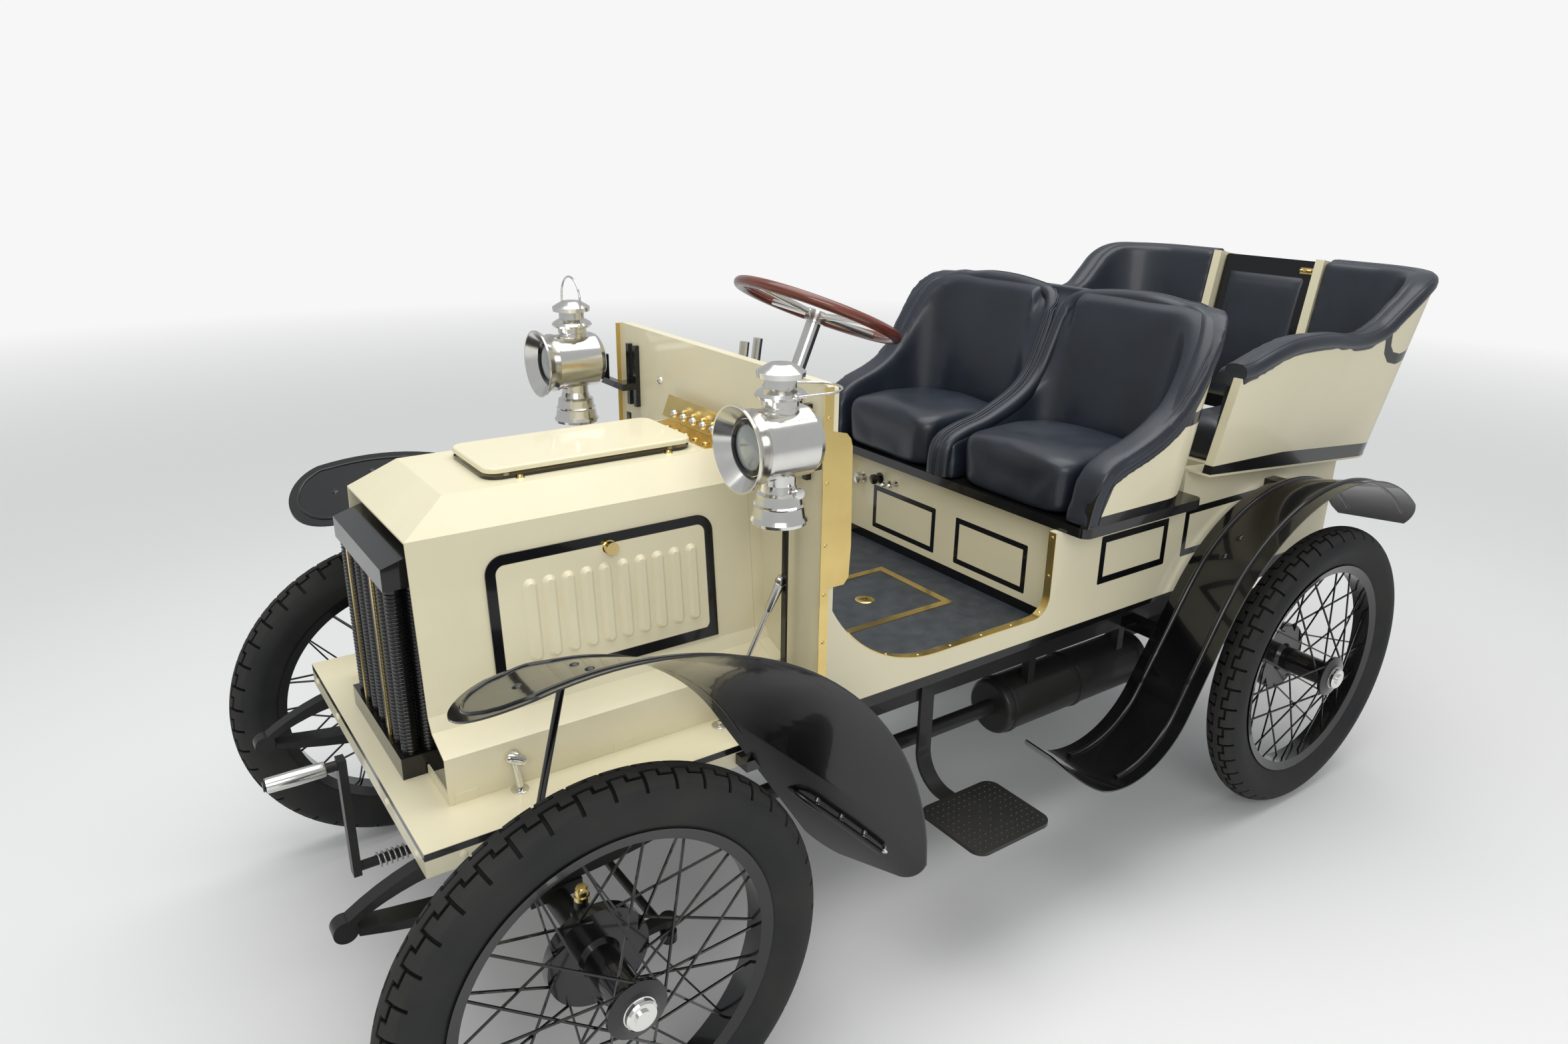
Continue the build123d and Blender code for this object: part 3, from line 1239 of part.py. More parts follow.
with BuildPart() as tonneau_shell:
    wrap(
        TONNEAU_FRONT_AFT - 200,
        TONNEAU_REAR_AFT,
        TONNEAU_HALF,
        TONNEAU_BASE_Z,
        TONNEAU_TOP_Z + 20,
        TONNEAU_CORNER_R,
        TONNEAU_LEAN_DEG,
    )
    with BuildSketch(plan_plane(TONNEAU_BASE_Z)) as tonneau_void:
        with Locations(((TONNEAU_FRONT_AFT - 300 + TONNEAU_REAR_AFT - TONNEAU_WALL) / 2, 0)):
            Rectangle(
                TONNEAU_REAR_AFT - TONNEAU_WALL - TONNEAU_FRONT_AFT + 300,
                2 * (TONNEAU_HALF - TONNEAU_WALL),
            )
        fillet(tonneau_void.vertices().group_by(Axis.X)[-1], TONNEAU_CORNER_R - TONNEAU_WALL)
    extrude(amount=TONNEAU_HEIGHT, taper=-TONNEAU_LEAN_DEG, mode=Mode.SUBTRACT)
    # Square front ends, and the gap for the rear door
    with Locations((FRONT_AXLE_X + TONNEAU_FRONT_AFT, 0, TONNEAU_BASE_Z - 20)):
        Box(
            700,
            1400,
            700,
            align=(Align.MAX, Align.CENTER, Align.MIN),
            mode=Mode.SUBTRACT,
        )
    with Locations((FRONT_AXLE_X + TONNEAU_REAR_AFT, 0, TONNEAU_BASE_Z)):
        Box(400, 2 * TONNEAU_POST_HALF, 700, align=(Align.CENTER, Align.CENTER, Align.MIN), mode=Mode.SUBTRACT)
    above_line(TONNEAU_LINE, 0)
    # Posts on both sides of the door
    for side in (-1, 1):
        with BuildSketch(door_face):
            with Locations((side * (TONNEAU_POST_HALF + TONNEAU_POST_WIDTH / 2), POST_HEIGHT / 2)):
                Rectangle(TONNEAU_POST_WIDTH, POST_HEIGHT)
        extrude(amount=-TONNEAU_POST_DEPTH)
    belt_slab(0, 0, Mode.SUBTRACT)
save(tonneau_shell, "tonneau_shell")

# Leather lining of the two corners, inside the shell

LINING = 44.0
LINING_START = 90.0
POST_OUTER_HALF = TONNEAU_POST_HALF + TONNEAU_POST_WIDTH
with BuildPart() as tonneau_leather:
    # The roll lies over the shell's edge and down its outside
    wrap(
        TONNEAU_FRONT_AFT,
        TONNEAU_REAR_AFT + ROLL_PROUD,
        TONNEAU_HALF + ROLL_PROUD,
        TONNEAU_BASE_Z,
        TONNEAU_TOP_Z + 20,
        TONNEAU_CORNER_R + ROLL_PROUD,
        TONNEAU_LEAN_DEG,
    )
    below_line(TONNEAU_LINE, 0, -ROLL_DROP)
    wrap(
        TONNEAU_FRONT_AFT + LINING_START,
        TONNEAU_REAR_AFT - TONNEAU_WALL - 1,
        TONNEAU_HALF - TONNEAU_WALL - 1,
        TONNEAU_BASE_Z,
        TONNEAU_TOP_Z + 20,
        TONNEAU_CORNER_R - TONNEAU_WALL - 1,
        TONNEAU_LEAN_DEG,
    )
    with BuildSketch(plan_plane(TONNEAU_BASE_Z)) as lining_void:
        with Locations(((TONNEAU_FRONT_AFT - 300 + TONNEAU_REAR_AFT - TONNEAU_WALL - LINING) / 2, 0)):
            Rectangle(
                TONNEAU_REAR_AFT - TONNEAU_WALL - LINING - TONNEAU_FRONT_AFT + 300,
                2 * (TONNEAU_HALF - TONNEAU_WALL - LINING),
            )
        fillet(lining_void.vertices().group_by(Axis.X)[-1], TONNEAU_CORNER_R - TONNEAU_WALL - LINING)
    extrude(amount=TONNEAU_HEIGHT, taper=-TONNEAU_LEAN_DEG, mode=Mode.SUBTRACT)
    with Locations((FRONT_AXLE_X + TONNEAU_FRONT_AFT, 0, TONNEAU_BASE_Z - 20)):
        Box(
            700,
            ACROSS,
            700,
            align=(Align.MAX, Align.CENTER, Align.MIN),
            mode=Mode.SUBTRACT,
        )
    with Locations((FRONT_AXLE_X + TONNEAU_REAR_AFT, 0, TONNEAU_BASE_Z - 20)):
        Box(
            600,
            2 * POST_OUTER_HALF + 4,
            700,
            align=(Align.CENTER, Align.CENTER, Align.MIN),
            mode=Mode.SUBTRACT,
        )
    above_line(TONNEAU_LINE, TONNEAU_ROLL_TOP)
    belt_slab(0, 0, Mode.SUBTRACT)
    add(tonneau_shell.part, mode=Mode.SUBTRACT)
save(tonneau_leather, "tonneau_leather")

# Tonneau cushions: one each side of the gangway, on a box from the floor

TONNEAU_SEAT_Z = 812.0
TONNEAU_CUSHION_TOP = 905.0
TONNEAU_SEAT_FRONT_AFT = 1700.0
TONNEAU_CUSHION_REAR_AFT = 2188.0
GANGWAY_HALF = 135.0
with BuildPart() as tonneau_boxes:
    for side in (-1, 1):
        low = GANGWAY_HALF if side > 0 else -INNER_HALF
        block(
            TONNEAU_SEAT_FRONT_AFT,
            low,
            FLOOR_TOP,
            BODY_REAR_AFT - WALL - TONNEAU_SEAT_FRONT_AFT,
            INNER_HALF - GANGWAY_HALF,
            TONNEAU_SEAT_Z - FLOOR_TOP,
        )
save(tonneau_boxes, "tonneau_boxes")

with BuildPart() as tonneau_cushions:
    for side in (-1, 1):
        with BuildSketch(plan_plane(TONNEAU_SEAT_Z)):
            with Locations(
                (
                    (TONNEAU_SEAT_FRONT_AFT + TONNEAU_CUSHION_REAR_AFT) / 2,
                    side * (GANGWAY_HALF + TONNEAU_HALF - TONNEAU_WALL - LINING - 4) / 2,
                )
            ):
                RectangleRounded(
                    TONNEAU_CUSHION_REAR_AFT - TONNEAU_SEAT_FRONT_AFT,
                    TONNEAU_HALF - TONNEAU_WALL - LINING - 4 - GANGWAY_HALF,
                    50,
                )
        extrude(amount=TONNEAU_CUSHION_TOP - TONNEAU_SEAT_Z)
    fillet(tonneau_cushions.faces().sort_by(Axis.Z)[-2:].edges(), 22)
save(tonneau_cushions, "tonneau_cushions")

# Rear panel under the door, and the ledge on the belt line that carries the overhanging tonneau

with BuildPart() as ledge_form:
    wrap(
        TONNEAU_FRONT_AFT - 200,
        TONNEAU_REAR_AFT,
        TONNEAU_HALF,
        TONNEAU_BASE_Z - LEDGE,
        TONNEAU_BASE_Z + 100,
        TONNEAU_CORNER_R,
        TONNEAU_LEAN_DEG,
    )
    belt_slab(0, SKY_Z, Mode.SUBTRACT)
    belt_slab(-LEDGE, 0, Mode.SUBTRACT)
    with Locations((FRONT_AXLE_X + TONNEAU_FRONT_AFT - 300, 0, FLOOR_TOP)):
        Box(
            BODY_REAR_AFT - WALL - TONNEAU_FRONT_AFT + 300,
            2 * INNER_HALF,
            BODY_TOP,
            align=(Align.MIN, Align.CENTER, Align.MIN),
            mode=Mode.SUBTRACT,
        )
        Box(300, ACROSS, BODY_TOP, align=(Align.MIN, Align.CENTER, Align.MIN), mode=Mode.SUBTRACT)

with BuildPart() as rear_panel:
    centred_block(BODY_REAR_AFT - WALL, FLOOR_TOP, WALL, 2 * INNER_HALF, 300)
    belt_slab(-LEDGE, SKY_Z, Mode.SUBTRACT)
    add(ledge_form.part)
save(rear_panel, "rear_panel")

# Rear door: a leaning panel between the posts, hinged at its left edge

DOOR_GAP = 5.0
DOOR_THICKNESS = 40.0
DOOR_LOW = 20.0
with BuildPart() as tonneau_door:
    with BuildSketch(door_face):
        with Locations((0, (POST_HEIGHT + DOOR_LOW - 4) / 2)):
            RectangleRounded(
                2 * (TONNEAU_POST_HALF - DOOR_GAP),
                POST_HEIGHT - DOOR_LOW - 4,
                8,
            )
    extrude(amount=-DOOR_THICKNESS)
save(tonneau_door, "tonneau_door")

# Mudguards: sheets ruled between an inner and an outer edge curve


def arc_points(centre, radius, degrees):
    # Points of an arc at its start, middle and end angles, as (aft, z)
    return [
        (centre[0] + radius * math.cos(math.radians(d)), centre[1] + radius * math.sin(math.radians(d)))
        for d in degrees
    ]


FRONT_GUARD_TIP_DEG = 140.0
FRONT_GUARD_FOOT_Z = 292.0


def front_guard_section(half, centre, radius, line_deg, foot_aft):
    # Band along one edge: an arc over the wheel, then a straight run to the foot
    degrees = (FRONT_GUARD_TIP_DEG, (FRONT_GUARD_TIP_DEG + line_deg) / 2, line_deg)
    outer = arc_points(centre, radius, degrees)
    inner = arc_points(centre, radius - GUARD_THICKNESS, degrees)
    foot = (foot_aft, FRONT_GUARD_FOOT_Z)
    inner_foot = (foot_aft - GUARD_THICKNESS, FRONT_GUARD_FOOT_Z)
    with BuildSketch(side_plane(half)) as section:
        with BuildLine():
            ThreePointArc(*outer)
            Line(outer[2], foot)
            Line(foot, inner_foot)
            Line(inner_foot, inner[2])
            ThreePointArc(inner[2], inner[1], inner[0])
            Line(inner[0], outer[0])
        make_face()
    return section.sketch


# Edges of the front blade: arc centre (aft, z), arc radius, degrees where the straight run begins, its foot's aft
FRONT_GUARD_INNER = ((-40.0, 455.0), 360.0, 33.0, 486.0)
FRONT_GUARD_OUTER = ((0.0, 305.0), 577.0, 8.0, 577.0)
FRONT_GUARD_TIP_AFT = -184.0
FRONT_GUARD_LENGTH = 900.0
FRONT_GUARD_FOOT_R = 62.0
GUARD_PLAN_LOW_Z = 200.0
GUARD_PLAN_HEIGHT = 900.0
GUARD_PLAN_MARGIN = 2.0
GUARD_BRACKET_AFT = 325.0
GUARD_BRACKET_Z = 508.0
GUARD_BRACKET_LENGTH = 40.0
GUARD_BRACKET_DEPTH = 20.0
STAY_FOOT_Z = 518.0
STAY_TOP_Z = 815.5
STAY_REACH = 30.0
STAY_RUN_AFT = 63.0
FRONT_GUARD_WIDTH = FRONT_GUARD_OUTER_HALF - FRONT_GUARD_INNER_HALF
FRONT_GUARD_MIDDLE = -(FRONT_GUARD_INNER_HALF + FRONT_GUARD_OUTER_HALF) / 2
with BuildPart() as front_mudguards:
    inner_edge = front_guard_section(-FRONT_GUARD_INNER_HALF, *FRONT_GUARD_INNER)
    outer_edge = front_guard_section(-FRONT_GUARD_OUTER_HALF, *FRONT_GUARD_OUTER)
    loft(sections=[outer_edge.faces()[0], inner_edge.faces()[0]], ruled=True)
    # Rounded front tip
    with BuildSketch(plan_plane(GUARD_PLAN_LOW_Z)) as tip:
        with Locations((FRONT_GUARD_TIP_AFT + FRONT_GUARD_LENGTH / 2, FRONT_GUARD_MIDDLE)):
            Rectangle(FRONT_GUARD_LENGTH, FRONT_GUARD_WIDTH + 2 * GUARD_PLAN_MARGIN)
        fillet(tip.vertices().group_by(Axis.X)[0], FRONT_GUARD_WIDTH / 2 - 1)
    extrude(amount=GUARD_PLAN_HEIGHT, mode=Mode.INTERSECT)
    # Rounded lower corners behind the wheel, cut across the car
    with BuildSketch(cross_plane(0)) as skirt:
        skirt_middle_z = FRONT_GUARD_FOOT_Z - GUARD_PLAN_MARGIN + GUARD_PLAN_HEIGHT / 2
        with Locations((FRONT_GUARD_MIDDLE, skirt_middle_z)):
            Rectangle(FRONT_GUARD_WIDTH + 2 * GUARD_PLAN_MARGIN, GUARD_PLAN_HEIGHT)
        fillet(skirt.vertices().group_by(Axis.Y)[0], FRONT_GUARD_FOOT_R)
    extrude(amount=FRONT_GUARD_LENGTH, both=True, mode=Mode.INTERSECT)
    # Bracket to the deck's edge behind the wheel, and the stay under the blade
    block(
        GUARD_BRACKET_AFT,
        -FRONT_GUARD_INNER_HALF - 8,
        GUARD_BRACKET_Z,
        GUARD_BRACKET_LENGTH,
        FRONT_GUARD_INNER_HALF + 8 - DECK_HALF,
        GUARD_BRACKET_DEPTH,
    )
    with BuildLine(Plane.XY) as stay_line:
        FilletPolyline(
            (FRONT_AXLE_X + STAY_AFT, -DECK_HALF, STAY_FOOT_Z),
            (FRONT_AXLE_X + STAY_AFT, -DECK_HALF - STAY_REACH, STAY_FOOT_Z),
            (FRONT_AXLE_X + STAY_AFT + STAY_RUN_AFT, -DECK_HALF - STAY_REACH * 1.6, STAY_TOP_Z),
            radius=3 * STAY_R,
        )
    with BuildSketch(Plane(origin=stay_line.line @ 0, z_dir=stay_line.line % 0)):
        Circle(STAY_R)
    sweep(path=stay_line.line)
    mirror(about=Plane.XZ)
save(front_mudguards, "front_mudguards")

REAR_GUARD_TAIL_DEG = 215.0


def rear_guard_section(half, centre_from_axle, radius, tail_from_axle, tail_radius, tip_deg):
    # Band along one edge: a rising tail arc, a straight run, and an arc over the wheel
    centre = (WHEELBASE + centre_from_axle[0], centre_from_axle[1])
    tail = (WHEELBASE + tail_from_axle[0], tail_from_axle[1])
    span = math.hypot(centre[0] - tail[0], centre[1] - tail[1])
    heading = math.degrees(math.atan2(centre[1] - tail[1], centre[0] - tail[0]))
    touch = heading - math.degrees(math.acos((radius + tail_radius) / span))
    tail_degrees = (REAR_GUARD_TAIL_DEG, (REAR_GUARD_TAIL_DEG + touch + 360) / 2, touch)
    top_degrees = (touch + 180, (touch + 180 + tip_deg) / 2, tip_deg)
    with BuildSketch(side_plane(half)) as section:
        with BuildLine():
            upper_tail = arc_points(tail, tail_radius, tail_degrees)
            upper_top = arc_points(centre, radius, top_degrees)
            lower_tail = arc_points(tail, tail_radius + GUARD_THICKNESS, tail_degrees)
            lower_top = arc_points(centre, radius - GUARD_THICKNESS, top_degrees)
            ThreePointArc(*upper_tail)
            Line(upper_tail[2], upper_top[0])
            ThreePointArc(*upper_top)
            Line(upper_top[2], lower_top[2])
            ThreePointArc(*reversed(lower_top))
            Line(lower_top[0], lower_tail[2])
            ThreePointArc(*reversed(lower_tail))
            Line(lower_tail[0], upper_tail[0])
        make_face()
    return section.sketch


# Edges of the rear blade, aft sizes from the rear axle: wheel arc's centre (aft, z) and radius,
# tail arc's centre and radius, and degrees where the wheel arc ends
REAR_GUARD_INNER = ((2.0, 370.0), 408.0, (-658.0, 490.0), 215.0, 42.0)
REAR_GUARD_OUTER = ((-16.0, 345.0), 480.0, (-708.0, 500.0), 200.0, 40.0)
# Reach of the rear blades before and behind the rear axle
REAR_GUARD_FRONT_REACH = 858.0
REAR_GUARD_REAR_REACH = 352.0
REAR_GUARD_END_R = 90.0
BODY_BRACKET_Z = 758.0
BODY_BRACKET_DEPTH = 23.0
RAIL_BRACKET_AHEAD = 428.0
RAIL_BRACKET_Z = 478.0
RAIL_BRACKET_DEPTH = 22.0
with BuildPart() as rear_mudguards:
    inner_edge = rear_guard_section(-REAR_GUARD_INNER_HALF, *REAR_GUARD_INNER)
    outer_edge = rear_guard_section(-REAR_GUARD_OUTER_HALF, *REAR_GUARD_OUTER)
    loft(sections=[outer_edge.faces()[0], inner_edge.faces()[0]], ruled=True)
    with BuildSketch(plan_plane(GUARD_PLAN_LOW_Z)):
        guard_middle_aft = WHEELBASE + (REAR_GUARD_REAR_REACH - REAR_GUARD_FRONT_REACH) / 2
        guard_width = REAR_GUARD_OUTER_HALF - REAR_GUARD_INNER_HALF
        with Locations((guard_middle_aft, -(REAR_GUARD_INNER_HALF + REAR_GUARD_OUTER_HALF) / 2)):
            RectangleRounded(
                REAR_GUARD_FRONT_REACH + REAR_GUARD_REAR_REACH,
                guard_width + 2 * GUARD_PLAN_MARGIN,
                min(REAR_GUARD_END_R, guard_width / 2),
            )
    extrude(amount=GUARD_PLAN_HEIGHT, mode=Mode.INTERSECT)
    # Brackets to the body's side over the wheel and to the rail before it
    block(
        WHEELBASE - 18,
        -REAR_GUARD_INNER_HALF - 14,
        BODY_BRACKET_Z,
        40,
        REAR_GUARD_INNER_HALF + 14 - BODY_HALF,
        BODY_BRACKET_DEPTH,
    )
    rail_face = RAIL_HALF + RAIL_WIDTH / 2
    block(
        WHEELBASE - RAIL_BRACKET_AHEAD,
        -REAR_GUARD_INNER_HALF - 10,
        RAIL_BRACKET_Z,
        44,
        REAR_GUARD_INNER_HALF + 10 - rail_face,
        RAIL_BRACKET_DEPTH,
    )
    mirror(about=Plane.XZ)
save(rear_mudguards, "rear_mudguards")

# Side lamps: upright body on its base drum, chimney, and a flared bell that looks forward

LAMP_AFT = 390.0
LAMP_HALF = 385.0
LAMP_BASE_Z = 948.0
LAMP_HEIGHT = 257.0
LAMP_R = 46.0
LAMP_AXIS_SHARE = 0.506
LAMP_AXIS_Z = LAMP_BASE_Z + LAMP_AXIS_SHARE * LAMP_HEIGHT
BARREL_SHARE = 1.24
BARREL_R = BARREL_SHARE * LAMP_R
# Upright body with its base drum, neck, collar, chimney and domed cap, as (share of radius, share of height)
LAMP_BODY = (
    (0.00, 0.000),
    (1.00, 0.000),
    (1.02, 0.020),
    (0.94, 0.045),
    (0.88, 0.110),
    (0.90, 0.118),
    (0.84, 0.128),
    (0.80, 0.190),
    (0.66, 0.205),
    (0.60, 0.250),
    (0.60, 0.735),
    (0.64, 0.740),
    (0.64, 0.775),
    (0.82, 0.785),
    (0.90, 0.805),
    (0.82, 0.825),
    (0.62, 0.845),
    (0.56, 0.850),
    (0.56, 0.905),
    (0.82, 0.912),
    (0.84, 0.945),
    (0.70, 0.962),
    (0.42, 0.990),
    (0.00, 1.000),
)
# Barrel and bell about the axis that looks forward, as (share of barrel radius aft of the axis, share of it out)
LAMP_BARREL = (
    (1.02, 0.00),
    (1.02, 0.50),
    (0.96, 0.78),
    (0.86, 0.93),
    (0.70, 1.00),
    (-0.78, 1.00),
    (-0.80, 1.04),
    (-0.92, 1.04),
    (-0.94, 0.90),
    (-1.38, 1.21),
    (-1.44, 1.21),
    (-1.44, 1.16),
    (-1.02, 0.80),
    (-1.02, 0.00),
)
with BuildPart() as side_lamps:
    for side in (-1, 1):
        lamp_plane = Plane(
            origin=(FRONT_AXLE_X + LAMP_AFT, side * LAMP_HALF, 0),
            x_dir=(1, 0, 0),
            z_dir=(0, -1, 0),
        )
        with BuildSketch(lamp_plane):
            with BuildLine():
                Polyline(
                    *[(LAMP_R * out, LAMP_BASE_Z + LAMP_HEIGHT * up) for out, up in LAMP_BODY],
                    close=True,
                )
            make_face()
        revolve(axis=Axis((FRONT_AXLE_X + LAMP_AFT, side * LAMP_HALF, 0), (0, 0, 1)))
        with BuildSketch(lamp_plane):
            with BuildLine():
                Polyline(
                    *[(BARREL_R * aft, LAMP_AXIS_Z + BARREL_R * out) for aft, out in LAMP_BARREL],
                    close=True,
                )
            make_face()
        revolve(axis=Axis((FRONT_AXLE_X, side * LAMP_HALF, LAMP_AXIS_Z), (1, 0, 0)))
save(side_lamps, "side_lamps")

# Lamp brackets: two upright bars on each side of the dash, and an arm out to the lamp

BRACKET_HALVES = (292.0, 322.0)
BRACKET_BAR = 10.0
BRACKET_BAR_WIDTH = 12.0
BRACKET_BAR_HEIGHT = 130.0
BRACKET_ARM = 14.0
BRACKET_ARM_GAP = 16.0
BRACKET_ARM_Z = LAMP_AXIS_Z - 48
BRACKET_BAR_Z = BRACKET_ARM_Z + 20
LAMP_STUB_R = 9.0
with BuildPart() as lamp_brackets:
    for side in (-1, 1):
        bars_middle = sum(BRACKET_HALVES) / 2
        arm_aft = DASH_AFT - BRACKET_BAR - BRACKET_ARM - BRACKET_ARM_GAP
        for bar_half in BRACKET_HALVES:
            with Locations((FRONT_AXLE_X + DASH_AFT, side * bar_half, BRACKET_BAR_Z)):
                Box(
                    BRACKET_BAR,
                    BRACKET_BAR_WIDTH,
                    BRACKET_BAR_HEIGHT,
                    align=(Align.MAX, Align.CENTER, Align.CENTER),
                )
        # Foot between the bars, arm outwards, riser and boss on the lamp's back
        with Locations((FRONT_AXLE_X + DASH_AFT - BRACKET_BAR, side * bars_middle, BRACKET_ARM_Z)):
            Box(
                BRACKET_ARM_GAP + BRACKET_ARM,
                BRACKET_HALVES[1] - BRACKET_HALVES[0] + BRACKET_BAR_WIDTH,
                BRACKET_ARM,
                align=(Align.MAX, Align.CENTER, Align.CENTER),
            )
        with Locations((FRONT_AXLE_X + arm_aft, side * (bars_middle + LAMP_HALF) / 2, BRACKET_ARM_Z)):
            Box(
                BRACKET_ARM,
                LAMP_HALF - bars_middle + BRACKET_ARM,
                BRACKET_ARM,
                align=(Align.MIN, Align.CENTER, Align.CENTER),
            )
        with Locations((FRONT_AXLE_X + arm_aft, side * LAMP_HALF, BRACKET_ARM_Z - BRACKET_ARM / 2)):
            Box(
                BRACKET_ARM,
                BRACKET_ARM,
                LAMP_AXIS_Z - BRACKET_ARM_Z + BRACKET_ARM,
                align=(Align.MIN, Align.CENTER, Align.MIN),
            )
        lamp_back = LAMP_AFT + BARREL_R * LAMP_BARREL[0][0]
        with Locations(Location((FRONT_AXLE_X + lamp_back, side * LAMP_HALF, LAMP_AXIS_Z), (0, 90, 0))):
            Cylinder(LAMP_STUB_R, arm_aft - lamp_back, align=(Align.CENTER, Align.CENTER, Align.MIN))
save(lamp_brackets, "lamp_brackets")

# Steering column and wheel, on the car's right

WHEEL_HALF = 200.0
COLUMN_FOOT_AFT = 635.0
HUB_AFT = 888.0
HUB_Z = 1157.0
COLUMN_R = 17.0
COLUMN_HEAD_GAP = 14.0
COLUMN_FLANGE_R = 34.0
COLUMN_FLANGE_HEIGHT = 20.0
COLUMN_FLANGE_SINK = 4.0
foot = Vector(FRONT_AXLE_X + COLUMN_FOOT_AFT, WHEEL_HALF, FLOOR_TOP)
head = Vector(FRONT_AXLE_X + HUB_AFT, WHEEL_HALF, HUB_Z)
column_direction = (head - foot).normalized()
COLUMN_LENGTH = (head - foot).length
with BuildPart() as steering_column:
    with BuildSketch(Plane(origin=foot, z_dir=column_direction)):
        Circle(COLUMN_R)
    extrude(amount=COLUMN_LENGTH - COLUMN_HEAD_GAP)
    with BuildSketch(Plane(origin=foot - column_direction * COLUMN_FLANGE_SINK, z_dir=column_direction)):
        Circle(COLUMN_FLANGE_R)
    extrude(amount=COLUMN_FLANGE_HEIGHT + COLUMN_FLANGE_SINK)
    split(bisect_by=Plane.XY.offset(FLOOR_TOP), keep=Keep.TOP)
save(steering_column, "steering_column")

STEERING_WHEEL_R = 184.0
STEERING_RIM_R = 12.0
STEERING_RIM_LIFT = 14.0
STEERING_HUB_R = 24.0
STEERING_HUB_HEIGHT = 26.0
SPIDER_ARM_R = 7.0
SPIDER_ARM_LIFT = 8.0
SPIDER_ARM_TILT_DEG = 3.0
wheel_plane = Plane(origin=head, z_dir=column_direction)
with BuildPart() as steering_wheel:
    with Locations(wheel_plane.location):
        Cylinder(STEERING_HUB_R, STEERING_HUB_HEIGHT)
        with Locations((0, 0, STEERING_RIM_LIFT)):
            Torus(STEERING_WHEEL_R, STEERING_RIM_R)
        with PolarLocations(0, 4):
            with Locations(
                Location((STEERING_WHEEL_R / 2, 0, SPIDER_ARM_LIFT), (0, 90 - SPIDER_ARM_TILT_DEG, 0))
            ):
                Cylinder(SPIDER_ARM_R, STEERING_WHEEL_R - 4)
save(steering_wheel, "steering_wheel")

# Hand levers on the right-hand side of the driver's footwell

LEVER_TOP_Z = 1096.0
LEVER_R = 7.0
LEVER_GRIP_R = 11.0
LEVER_GRIP_LENGTH = 110.0
# Foot aft, head aft, half
LEVERS = (
    (700.0, 770.0, 306.0),
    (745.0, 822.0, 330.0),
)
with BuildPart() as hand_levers:
    for foot_aft, head_aft, lever_half in LEVERS:
        lever_foot = Vector(FRONT_AXLE_X + foot_aft, lever_half, FLOOR_TOP)
        lever_head = Vector(FRONT_AXLE_X + head_aft, lever_half, LEVER_TOP_Z)
        lever_direction = (lever_head - lever_foot).normalized()
        with BuildSketch(Plane(origin=lever_foot, z_dir=lever_direction)):
            Circle(LEVER_R)
        extrude(amount=(lever_head - lever_foot).length)
        grip_foot = lever_head - lever_direction * LEVER_GRIP_LENGTH
        with BuildSketch(Plane(origin=grip_foot, z_dir=lever_direction)):
            Circle(LEVER_GRIP_R)
        extrude(amount=LEVER_GRIP_LENGTH)
    split(bisect_by=Plane.XY.offset(FLOOR_TOP), keep=Keep.TOP)
save(hand_levers, "hand_levers")

# Pedals: two bent arms with a flat pad each, either side of the column's foot

PEDAL_AFT = 590.0
PEDAL_HALVES = (WHEEL_HALF - 65, WHEEL_HALF + 62)
PEDAL_HEIGHT = 112.0
PEDAL_ARM = 12.0
PEDAL_PAD_WIDTH = 62.0
PEDAL_PAD_LENGTH = 70.0
PEDAL_TILT_DEG = 35.0
with BuildPart() as pedals:
    for pedal_half in PEDAL_HALVES:
        with Locations((FRONT_AXLE_X + PEDAL_AFT, pedal_half, FLOOR_TOP)):
            Box(PEDAL_ARM, PEDAL_ARM, PEDAL_HEIGHT, align=(Align.CENTER, Align.CENTER, Align.MIN))
        with Locations(
            Location((FRONT_AXLE_X + PEDAL_AFT, pedal_half, FLOOR_TOP + PEDAL_HEIGHT), (0, -PEDAL_TILT_DEG, 0))
        ):
            Box(PEDAL_ARM, PEDAL_PAD_WIDTH, PEDAL_PAD_LENGTH)
save(pedals, "pedals")
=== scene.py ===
# %% [markdown]
# # A light four-seat motor car of about 1904
# The construction model gives every rigid part of the car: wheels, frame, body, seats, lamps.
# This script dresses it. It gives each part its real finish, and adds what is too fine or too soft
# for a construction model: tyre tread, cooling fins, sewn leather, brass strips, painted lines, bolts.
# All sizes are in metres. The car faces -X, its left side is -Y, and it stands on Z = 0.

# %% Load the construction model
import math

import bmesh
import bpy
from mathutils import Matrix, Vector
from mathutils.bvhtree import BVHTree


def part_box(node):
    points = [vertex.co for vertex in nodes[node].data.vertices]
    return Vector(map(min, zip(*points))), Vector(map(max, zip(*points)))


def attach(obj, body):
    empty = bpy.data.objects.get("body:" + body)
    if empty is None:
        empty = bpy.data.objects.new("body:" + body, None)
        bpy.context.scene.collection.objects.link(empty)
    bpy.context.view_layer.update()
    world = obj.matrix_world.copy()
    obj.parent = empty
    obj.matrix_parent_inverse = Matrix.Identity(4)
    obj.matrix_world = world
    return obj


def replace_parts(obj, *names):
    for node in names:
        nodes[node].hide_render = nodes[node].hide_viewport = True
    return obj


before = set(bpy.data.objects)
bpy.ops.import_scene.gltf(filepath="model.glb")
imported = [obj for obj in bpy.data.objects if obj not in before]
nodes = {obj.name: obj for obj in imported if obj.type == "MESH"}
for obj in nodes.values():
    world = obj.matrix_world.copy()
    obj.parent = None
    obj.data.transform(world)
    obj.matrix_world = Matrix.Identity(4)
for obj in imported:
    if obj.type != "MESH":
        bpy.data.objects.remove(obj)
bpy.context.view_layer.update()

# %% Driving places, read from the frame
# "Aft" sizes run rearwards from the front axle, so they are easy to check against each other.
wheel_low, wheel_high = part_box("wheel_front_left")
